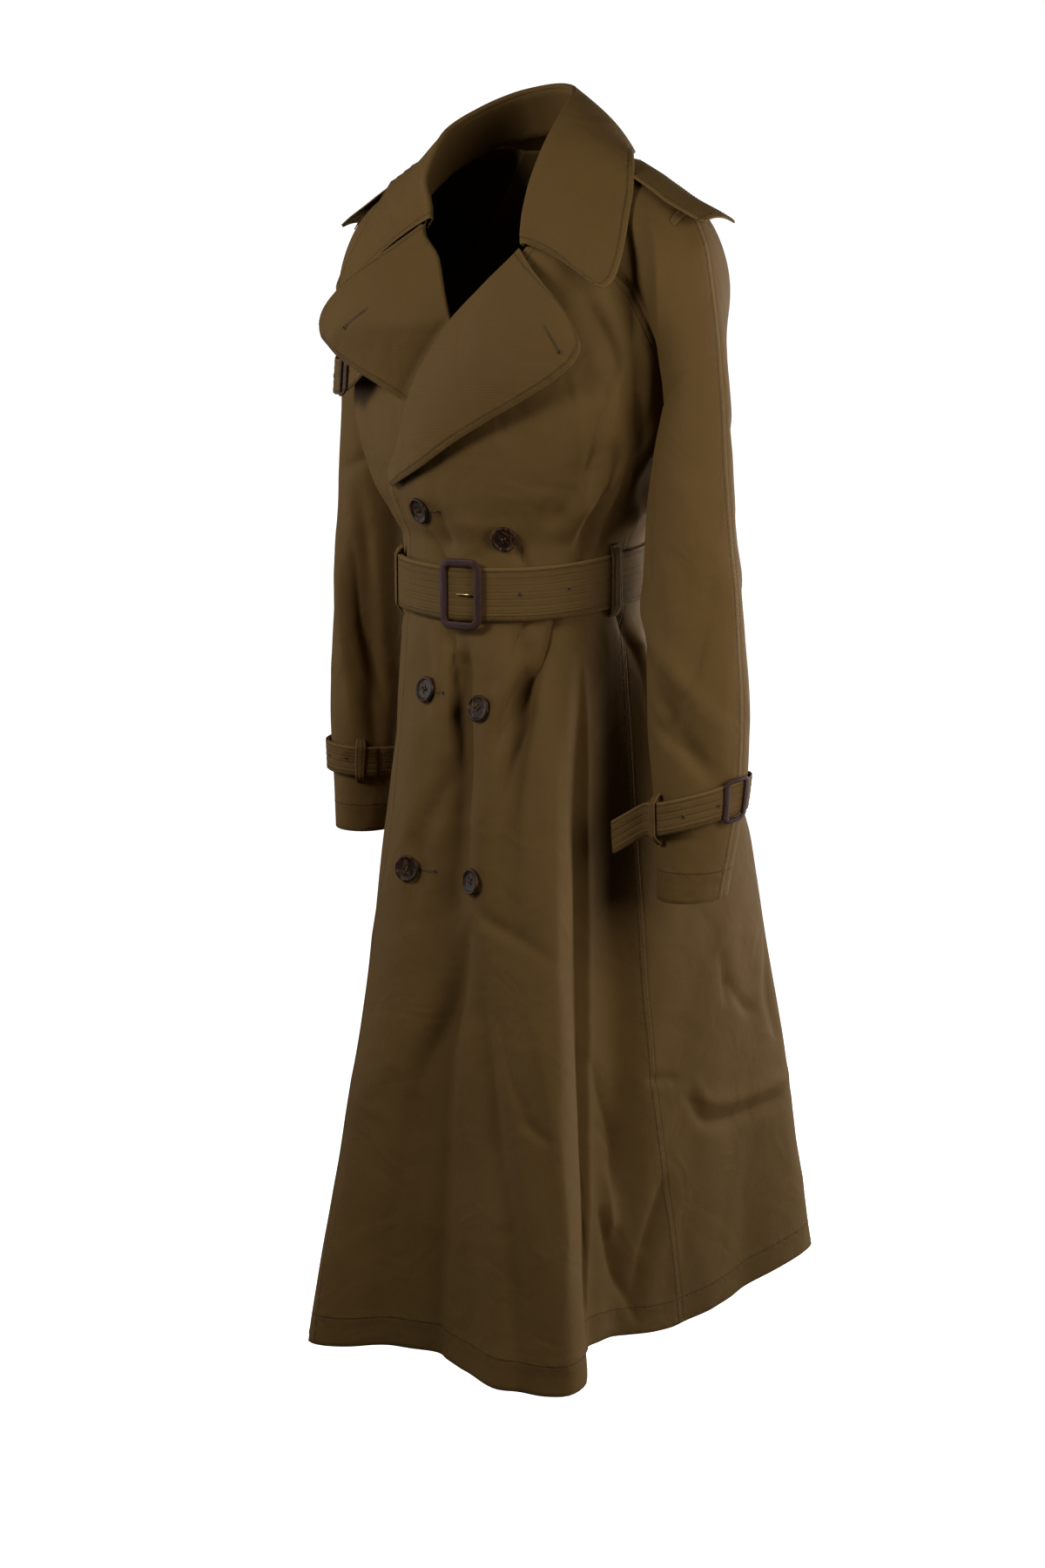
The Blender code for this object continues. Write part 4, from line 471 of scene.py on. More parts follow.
# One row for each soft ridge (+) or trough (-) laid over the chest and back.
BODY_CREASES = table(
    "name angle_top z_top_mm angle_low z_low_mm width_top width_low rise_mm",
    ("left underarm drag", 84, -235, 60, -354, 9, 6, 10),
    ("left drag hollow", 70, -250, 48, -352, 8, 5, -7),
    ("left lower drag", 98, -290, 80, -356, 8, 6, 8),
    ("chest hollow", 58, -130, 66, -230, 8, 10, -6),
    ("button pull", -6, -330, -2, -376, 5, 4, -5),
    ("button ridge", 12, -335, 16, -376, 6, 4, 4),
    ("right underarm drag", -84, -235, -66, -354, 9, 6, 7),
    ("right drag hollow", -98, -270, -84, -354, 7, 5, -6),
    ("left blade fold", 118, -200, 132, -352, 10, 7, 10),
    ("left blade hollow", 132, -180, 146, -350, 8, 6, -8),
    ("back blouse", 160, -260, 164, -352, 9, 6, 8),
    ("right blade fold", -124, -200, -136, -352, 10, 7, 10),
    ("right blade hollow", -142, -190, -152, -350, 8, 6, -8),
    ("buckle fold", 0, -450, 2, -620, 4, 6, 7),
    ("buckle hollow", 8, -450, 13, -700, 4, 6, -10),
    ("waist fold 1", 32, -450, 26, -640, 4, 6, 8),
    ("waist hollow 1", 41, -450, 38, -580, 4, 5, -7),
    ("left hip fold", 98, -450, 104, -600, 6, 8, 8),
    ("left hip hollow", 110, -450, 118, -600, 5, 8, -8),
    ("back gather 1", 172, -450, 174, -600, 5, 7, -8),
    ("back gather 2", -174, -450, -174, -600, 5, 7, 7),
    ("right hip fold", -102, -450, -106, -600, 5, 7, 8),
    ("right front fold", -70, -450, -66, -600, 5, 6, -5),
)

# Front edge of the outer (left) front below the break of the lapel, roll line above it.
LEFT_EDGE = table(
    "height_mm angle",
    (-30, 50), (-50, 46), (-72, 38), (-104, 23), (-146, 3.4), (-201, -13), (-264, -24.7),
    (-314, -40.5), (-350, -42.5), (-388, -45.5), (-446, -49), (-516, -37), (-608, -33.6),
    (-720, -30.4), (-834, -27.6), (-958, -24.6), (-1075, -21.6), (-1220, -17.5),
)

# The same for the under (right) front.
RIGHT_EDGE = table(
    "height_mm angle",
    (-30, -46), (-50, -36), (-79, -14), (-122, -2), (-146, 4), (-201, 16), (-264, 27), (-314, 40),
    (-388, 44), (-446, 47), (-516, 36), (-608, 34), (-720, 32), (-958, 28), (-1220, 26),
)

# Side seams, as angles.
SIDE_SEAM = table(
    "height_mm left right",
    (-240, 90, -90), (-446, 90, -92), (-800, 92, -96), (-1220, 108, -100),
)

print("body sections:", len(BODY_SECTIONS["height"]), "- skirt lines:", len(SKIRT_LINES["name"]))

# %% [markdown]
# ## One radius for the whole body
# At any height the coat is one closed line round the body, so a function can give its distance
# from the axis. The form could be sculpted instead, but a function can be asked again later, by
# the belt, the buttons and the lapels, and always gives the same cloth.

# %% Body surface
def oval(angles, z):
    """Radius of the plain body section at one height."""
    left, right, front, back, power = columns_at(
        BODY_SECTIONS, z, "left", "right", "front", "back", "squareness")
    a = np.radians(angles)
    across = np.where(np.sin(a) > 0, left, right)
    deep = np.where(np.cos(a) > 0, front, back)
    return ((np.abs(np.sin(a)) / across) ** power
            + (np.abs(np.cos(a)) / deep) ** power) ** (-1 / power)


def below_waist(z):
    """0 at the waist and 1 at the hem."""
    return np.clip((WAIST_LOW_Z - z) / (WAIST_LOW_Z - HEM_Z), 0, 1)


def wrapped(angles):
    """Angles from -180 up to 180."""
    return (np.asarray(angles, float) + 180) % 360 - 180


def skirt(angles, z):
    """Radius of the skirt at one height, through every ridge and trough line."""
    _, first, last, hip, knee, hem = SKIRT_LINES.values()
    spread = 1 - (1 - below_waist(z)) ** 3
    line_angle = first + (last - first) * spread
    line_radius = np.array([curve((WAIST_LOW_Z, HIP_Z, KNEE_Z, HEM_Z), levels, z)
                            for levels in zip(oval(first, WAIST_LOW_Z), hip, knee, hem)])
    around = np.concatenate([line_angle - 360, line_angle, line_angle + 360])
    return curve(around, np.tile(line_radius, 3), angles)


def creases(angles, z):
    """Height of the soft folds of the chest and back at one height."""
    rise = np.zeros_like(angles)
    for _, top, z_top, low, z_low, width_top, width_low, height in zip(*BODY_CREASES.values()):
        along = (z_top - z) / (z_top - z_low)
        before, after = (0.35, 0.10) if z_top > WAIST_LOW_Z else (0.00, 0.60)
        if not -before < along < 1 + after:
            continue
        t = min(max(along, 0.0), 1.0)
        middle = top + (low - top) * t
        width = width_top + (width_low - width_top) * t
        fade = (np.clip((along + before) / (before + 0.15), 0, 1)
                * np.clip((1 + after - along) / (after + 0.25), 0, 1))
        rise = rise + height * fade ** 2 * np.exp(-(wrapped(angles - middle) / width) ** 2)
    return rise


def body_radius(angles, z):
    """Distance of the cloth from the vertical axis."""
    plain = oval if z >= WAIST_LOW_Z else skirt
    return plain(angles, z) + creases(angles, z)


def panel_radius(angle, z):
    return float(body_radius(np.array([angle]), z)[0])


def polar(radius, angles, z):
    """Points from their distance to the axis, their angle in degrees and their height."""
    a = np.radians(angles)
    return np.stack([radius * np.sin(a), -radius * np.cos(a), z], axis=-1)


def body_point(angles, z, out=0.0):
    """Points of the body surface at one level, moved out; near the hem they drop with it."""
    angles = np.atleast_1d(np.asarray(angles, float))
    drop = columns_at(HEM_DROP, wrapped(angles), "drop")[..., 0]
    return polar(body_radius(angles, z) + out, angles, z - below_waist(z) ** 4 * drop)


print("radius in front at waist, hip and hem:",
      [round(panel_radius(0.0, z), 3) for z in (WAIST_LOW_Z, HIP_Z, HEM_Z)])

# %% [markdown]
# ## From a grid to a piece of cloth
# Every cut piece starts as a grid of points in the middle of the cloth. The shell puts one copy
# of the grid half a thickness out and one half a thickness in, and joins them round the border
# with a slightly bowed rim, as a turned edge has. Solidify could do this, but here the rim, the
# UV map and the sewing attributes are all known already, so the mesh is written directly.

# %% Shell of cloth
FAR = 1.0               # an attribute value that means "nowhere near"
RIM_BOW = 0.42          # how far the rim bows out, as a share of the thickness
coat = {}               # every finished piece
grids = {}              # every cloth piece's own grid, normals and thickness, for the stitching


def grid_normals(grid):
    """Unit normals of a grid of points, rows by columns."""
    return unit(np.cross(np.gradient(grid, axis=1), np.gradient(grid, axis=0)))


def grid_cells(rows, cols):
    """The cells of a grid, each as the numbers of its four points."""
    number = np.arange(rows * cols).reshape(rows, cols)
    corners = (number[:-1, :-1], number[:-1, 1:], number[1:, 1:], number[1:, :-1])
    return np.stack(corners, axis=-1).reshape(-1, 4)


def run_lengths(grid):
    """How far each point lies along its row from the first column, and along its column."""
    along = np.linalg.norm(np.diff(grid, axis=1), axis=2)
    along = np.concatenate([np.zeros((len(grid), 1)), np.cumsum(along, axis=1)], axis=1)
    down = np.linalg.norm(np.diff(grid, axis=0), axis=2)
    down = np.concatenate([np.zeros((1, grid.shape[1])), np.cumsum(down, axis=0)], axis=0)
    return along, down


def border_distance(grid, border):
    """Distance of every point of a grid from one of its borders."""
    along, down = run_lengths(grid)
    return {"first": along, "last": along[:, -1:] - along,
            "start": down, "end": down[-1:] - down}[border]


def rim_ring(grid, thickness):
    """The border of a grid, once round, as point numbers and as points pushed outwards."""
    rows, cols = grid.shape[:2]
    round_it = ([(0, j) for j in range(cols)] + [(i, cols - 1) for i in range(1, rows)]
                + [(rows - 1, j) for j in range(cols - 2, -1, -1)]
                + [(i, 0) for i in range(rows - 2, 0, -1)])
    points = []
    for i, j in round_it:
        inside = grid[min(max(i, 1), rows - 2), min(max(j, 1), cols - 2)]
        points.append(grid[i, j] + unit(grid[i, j] - inside) * thickness * RIM_BOW)
    return [i * cols + j for i, j in round_it], np.array(points)


def cloth(name, grid, looks, normals=None, thickness=CLOTH, rows=(), edges=()):
    """A piece of cloth as a closed shell, added to the coat.

    looks are the materials of its right and its wrong side. rows lists (border, inset) for each
    row of stitching that sinks into it, edges the borders that are turned edges.
    """
    normals = grid_normals(grid) if normals is None else normals
    shape = grid.shape[:2]
    outer = (grid + normals * thickness / 2).reshape(-1, 3)
    inner = (grid - normals * thickness / 2).reshape(-1, 3)
    ring, rim = rim_ring(grid, thickness)
    points = np.concatenate([outer, inner, rim])
    shift, lip = len(outer), 2 * len(outer)

    cells = grid_cells(*shape)
    corner, right, below = points[cells[:, 0]], points[cells[:, 1]], points[cells[:, 3]]
    facing = np.cross(right - corner, below - corner)
    turned = np.sum(facing * normals.reshape(-1, 3)[cells[:, 0]]) < 0
    cells = cells[:, ::-1] if turned else cells
    faces = cells.tolist() + (cells[:, ::-1] + shift).tolist()
    for k in range(len(ring)):
        a, b = ring[k], ring[(k + 1) % len(ring)]
        m, n = lip + k, lip + (k + 1) % len(ring)
        pair = [(b, a, m, n), (n, m, a + shift, b + shift)]
        faces += [face[::-1] for face in pair] if turned else pair

    mesh = bpy.data.meshes.new(name + "_cloth")
    mesh.from_pydata(points.tolist(), [], faces)
    for look in looks:
        mesh.materials.append(look)
    side = np.zeros(len(faces), int)
    side[len(cells):2 * len(cells)] = len(looks) - 1
    mesh.polygons.foreach_set("material_index", side)
    mesh.polygons.foreach_set("use_smooth", np.ones(len(faces), bool))

    def spread_out(values):
        """The grid's values for the outer face, the inner face and the rim."""
        values = values.reshape(-1, values.shape[-1])
        return np.concatenate([values, values, values[ring]])

    along, down = run_lengths(grid)
    along = along - along[:, shape[1] // 2:shape[1] // 2 + 1]
    down = np.broadcast_to(down.mean(axis=1, keepdims=True), shape)
    corners = np.zeros(len(mesh.loops), int)
    mesh.loops.foreach_get("vertex_index", corners)
    uv = spread_out(np.stack([along, down], axis=-1))[corners]
    mesh.uv_layers.new(name="cloth").data.foreach_set("uv", uv.ravel())
    for label, lines in (("seam", rows), ("edge", [(border, 0.0) for border in edges])):
        values = np.full(shape + (3,), FAR)
        for k, (border, inset) in enumerate(lines[:3]):
            values[:, :, k] = border_distance(grid, border) - inset
        attribute = mesh.attributes.new(label, "FLOAT_VECTOR", "POINT")
        attribute.data.foreach_set("vector", spread_out(values).ravel())
    mesh.validate()
    mesh.update()
    coat[name] = put(name + "_cloth", mesh)
    grids[name] = (grid, normals, thickness)


def flat_area(grid):
    """Area of a grid, as the sum of its cells."""
    a, b, c, d = grid[:-1, :-1], grid[:-1, 1:], grid[1:, 1:], grid[1:, :-1]
    return float(np.linalg.norm(np.cross(c - a, d - b), axis=-1).sum() / 2)


swatch = np.array([[(x, y, 0.0) for x in (0.0, 0.1)] for y in (0.0, 0.2)])
print("a 100 by 200 mm swatch measures", round(flat_area(swatch), 4), "square metres")

# %% [markdown]
# ## Raglan sleeves
# A raglan sleeve runs up to the neck, so its seam crosses the chest from the armpit to the
# collar. Each sleeve is cut in two, and its halves meet at a welt along the top of the arm. Each
# half is a Bezier arc swept down the arm: it leaves its seam in the direction that the shoulder
# gives it, and ends at the overarm line.

# %% Sleeve tables
# Raglan seams on the body, from the neck (step 0) to the underarm.
RAGLAN = table(
    "step front_z_mm front_angle back_z_mm back_angle",
    (0, -30, 54, 36, 142),
    (1, -60, 62.5, 4, 134),
    (2, -94, 70.5, -36, 126),
    (3, -130, 77, -82, 117.5),
    (4, -168, 82, -132, 108.5),
    (5, -206, 86.5, -188, 98.5),
    (6, -240, 90, -240, 90),
)

# One row for each section of a sleeve: the overarm point, then how the front and the back
# half leave their seam (out, ahead, up) and how far each runs past the overarm point.
SLEEVE_SIZES = (
    "step over_x_mm over_y_mm over_z_mm front_out_mm front_ahead_mm front_up_mm "
    "front_reach_mm back_out_mm back_ahead_mm back_up_mm back_reach_mm"
)
LEFT_SLEEVE = table(
    SLEEVE_SIZES,
    (0, 100, 10, 34, 6, -2, 18, 16, 10, 6, 6, 20),
    (1, 147, 6, 13, 8, -4, 20, 22, 16, 12, 10, 34),
    (2, 186, 3, -6.5, 16, -12, 26, 34, 22, 18, 14, 44),
    (3, 215, 0, -29, 24, -28, 24, 48, 24, 26, 14, 48),
    (4, 236, -4, -64, 24, -44, 18, 56, 24, 32, 12, 48),
    (5, 249, -9, -114, 20, -52, 10, 60, 20, 34, 8, 44),
    (6, 259, -13, -164, 14, -54, 4, 62, 14, 32, 2, 40),
    (7, 268, -16, -226, 3, -60, 0, 62, 4, 34, 0, 42),
    (8, 277, -18, -294, 0, -64, 0, 62, 0, 38, 0, 44),
    (9, 286, -19, -366, 0, -66, 0, 64, 0, 42, 0, 48),
    (10, 294, -20, -438, 0, -70, 0, 68, 0, 46, 0, 52),
    (11, 300, -21, -510, 0, -74, 0, 72, 0, 50, 0, 56),
    (12, 302, -24, -580, 0, -74, 0, 70, 0, 50, 0, 54),
    (13, 298, -30, -646, 0, -68, 0, 64, 0, 44, 0, 46),
    (14, 290, -36, -711, 0, -62, 0, 58, 0, 42, 0, 42),
)
RIGHT_SLEEVE = table(
    SLEEVE_SIZES,
    (0, -100, 12, 34, 6, -2, 18, 16, 10, 6, 6, 20),
    (1, -147, 10, 13, 8, -4, 20, 22, 16, 12, 10, 36),
    (2, -186, 10, -6.5, 16, -10, 26, 34, 22, 20, 14, 46),
    (3, -216, 12, -29, 24, -20, 24, 44, 24, 30, 14, 54),
    (4, -240, 15, -64, 24, -32, 18, 50, 24, 42, 12, 58),
    (5, -256, 20, -114, 20, -36, 10, 52, 20, 52, 8, 56),
    (6, -267, 26, -164, 14, -36, 4, 50, 14, 58, 2, 56),
    (7, -277, 32, -226, 4, -44, 0, 54, 4, 60, 0, 58),
    (8, -283, 36, -294, 0, -50, 0, 58, 0, 60, 0, 60),
    (9, -288, 39, -366, 0, -56, 0, 62, 0, 62, 0, 62),
    (10, -293, 40, -438, 0, -62, 0, 66, 0, 66, 0, 66),
    (11, -297, 40, -510, 0, -66, 0, 70, 0, 70, 0, 70),
    (12, -299, 39, -580, 0, -66, 0, 70, 0, 68, 0, 68),
    (13, -297, 37, -650, 0, -62, 0, 64, 0, 60, 0, 60),
    (14, -293, 36, -724, 0, -60, 0, 62, 0, 58, 0, 58),
)

# Underarm seam of each sleeve, from the underarm to the cuff.
UNDERARM = table(
    "step left_x_mm left_y_mm left_z_mm right_x_mm right_y_mm right_z_mm",
    (6, 190, 0, -240, -190, 0, -240),
    (7, 188, -8, -282, -193, 16, -282),
    (8, 185, -12, -332, -195, 28, -332),
    (9, 185, -14, -392, -198, 34, -392),
    (10, 188, -16, -454, -202, 38, -454),
    (11, 195, -18, -520, -206, 39, -520),
    (12, 204, -22, -586, -211, 38, -586),
    (13, 213, -28, -650, -217, 37, -653),
    (14, 222, -34, -714, -222, 36, -724),
)

# Soft folds of the sleeves: across is 0 at the seam below and 1 at the overarm seam.
SLEEVE_CREASES = table(
    "name side half step_top across_top step_low across_low width rise_mm",
    ("left elbow fold", "left", "front", 9.6, 0.25, 11.2, 0.8, 0.09, 5),
    ("left elbow hollow", "left", "front", 10.2, 0.22, 11.8, 0.72, 0.08, -5),
    ("left back elbow fold", "left", "back", 9.4, 0.75, 11, 0.25, 0.09, 5),
    ("right elbow hollow", "right", "front", 9.2, 0.35, 12.2, 0.2, 0.08, -8),
    ("right elbow fold", "right", "front", 9.8, 0.6, 11.8, 0.42, 0.1, 5),
    ("right back elbow fold", "right", "back", 9.4, 0.75, 11, 0.25, 0.09, 5),
)
print("sleeve sections:", len(LEFT_SLEEVE["step"]), "and", len(RIGHT_SLEEVE["step"]))

# %% [markdown]
# ## Panels as grids of points
# A cut panel has sewn edges and a hem, and a grid of rows and columns has the same four borders.
# One mesh for the whole coat would close more easily, but would have no seams. Neighbouring
# panels take the points of a shared seam from the same line instead, so they meet all along it.

# %% Fronts, back and sleeves as grids
UNDERARM_STEP = 6.0
UNDERARM_Z = -0.24
SKIRT_LEVELS = np.concatenate([np.linspace(HEM_Z, WAIST_LOW_Z, 176),
                               np.linspace(WAIST_LOW_Z, UNDERARM_Z, 50)[1:-1]])
RAGLAN_STEPS = np.linspace(UNDERARM_STEP, 0.0, 55)
CUFF_STEP = 14.0
SLEEVE_STEPS = np.concatenate([RAGLAN_STEPS[::-1], np.linspace(UNDERARM_STEP, CUFF_STEP, 121)[1:]])
OVERLAP_COLUMNS = 40
FRONT_COLUMNS = 66
BACK_COLUMNS = 161
SLEEVE_COLUMNS_EACH = 49
NARROW = 6.0            # least overlap, in degrees, that the shared columns cover
OVERLAP_MOST = 0.85     # most of the way from the front edge to the side that they cover


def raglan(step, half):
    """Height and angle (for the left side) of the raglan seam at one step from the neck."""
    return columns_at(RAGLAN, step, half + "_z", half + "_angle")


def tuck(angles):
    """How far the right front, and the sleeve beside it, go in to lie under the outer front."""
    return UNDER * np.clip((angles + 62) / 12, 0, 1)


def front_grid(side):
    """One front, from its front edge or roll line to its side."""
    rows = [(z, abs(size_at(SIDE_SEAM, z, side))) for z in SKIRT_LEVELS]
    rows += [tuple(raglan(step, "front")) for step in RAGLAN_STEPS]
    grid = []
    for z, seam in rows:
        left, right = size_at(LEFT_EDGE, z, "angle"), size_at(RIGHT_EDGE, z, "angle")
        near, other = (left, right) if side == "left" else (-right, -left)
        far = min(max(other, near + NARROW), near + OVERLAP_MOST * (seam - near))
        angles = np.concatenate([np.linspace(near, far, OVERLAP_COLUMNS),
                                 np.linspace(far, seam, FRONT_COLUMNS + 1)[1:]])
        if side == "left":
            grid.append(body_point(angles, z))
        else:
            grid.append(body_point(-angles, z, -tuck(-angles)))
    return np.array(grid)


def back_grid():
    """The back, from the left side round to the right side."""
    rows = [(z, size_at(SIDE_SEAM, z, "left"), 360 + size_at(SIDE_SEAM, z, "right"))
            for z in SKIRT_LEVELS]
    for step in RAGLAN_STEPS:
        z, angle = raglan(step, "back")
        rows.append((z, angle, 360 - angle))
    return np.array([body_point(np.linspace(first, last, BACK_COLUMNS), z)
                     for z, first, last in rows])


def sleeve_crease(side, half, step, across):
    """Height of a sleeve's soft folds along one of its sections."""
    rise = np.zeros_like(across)
    for row in zip(*SLEEVE_CREASES.values()):
        _, which, part, step_top, across_top, step_low, across_low, width, height = row
        if which != side or part != half:
            continue
        along = (step - step_top) / (step_low - step_top)
        if not -0.4 < along < 1.4:
            continue
        middle = across_top + (across_low - across_top) * along
        fade = np.clip((along + 0.4) / 0.4, 0, 1) * np.clip((1.4 - along) / 0.4, 0, 1)
        rise = rise + height * fade * np.exp(-((across - middle) / width) ** 2)
    return rise * np.sin(np.pi * across) ** 0.5


def sleeve_grid(side, half, steps=SLEEVE_STEPS, cols=SLEEVE_COLUMNS_EACH):
    """Half a sleeve, from its seam on the body or under the arm to the overarm seam."""
    sign = 1.0 if side == "left" else -1.0
    data = LEFT_SLEEVE if side == "left" else RIGHT_SLEEVE
    ahead = -1.0 if half == "front" else 1.0
    grid = []
    across = np.linspace(0, 1, cols)
    for step in steps:
        over = columns_at(data, step, "over_x", "over_y", "over_z")
        handle = columns_at(data, step, half + "_out", half + "_ahead", half + "_up")
        handle = handle * np.array([sign, 1.0, 1.0])
        reach = np.array([0, ahead * size_at(data, step, half + "_reach"), 0])
        if step <= UNDERARM_STEP:
            z, angle = raglan(step, half)
            under = tuck(-angle) if (side, half) == ("right", "front") else 0.0
            seam = body_point(sign * angle, z, -under)[0]
        else:
            seam = columns_at(UNDERARM, step, side + "_x", side + "_y", side + "_z")
        grid.append(bezier(seam, seam + handle, over + reach, over, across))
    grid = np.array(grid)
    rise = np.array([sleeve_crease(side, half, step, across) for step in steps])
    normals = grid_normals(grid)
    centre = grid.mean(axis=1, keepdims=True)
    outward = np.sign(np.sum(normals * (grid - centre), axis=-1, keepdims=True))
    return grid + normals * outward * rise[..., None]


def share_normals(first, second):
    """Two rows of outward normals that meet at a seam both take the direction between them."""
    mean = unit(first + second)
    spread = np.sum(mean * first, axis=-1, keepdims=True)
    first[...] = second[...] = mean / np.clip(spread, 0.3, 1.0)


SIDES = ("left", "right")
HALVES = ("front", "back")
panels = {"front_" + side: front_grid(side) for side in SIDES}
panels["back"] = back_grid()
for side in SIDES:
    for half in HALVES:
        panels["sleeve_" + half + "_" + side] = sleeve_grid(side, half)
print({name: round(flat_area(grid), 3) for name, grid in panels.items()})
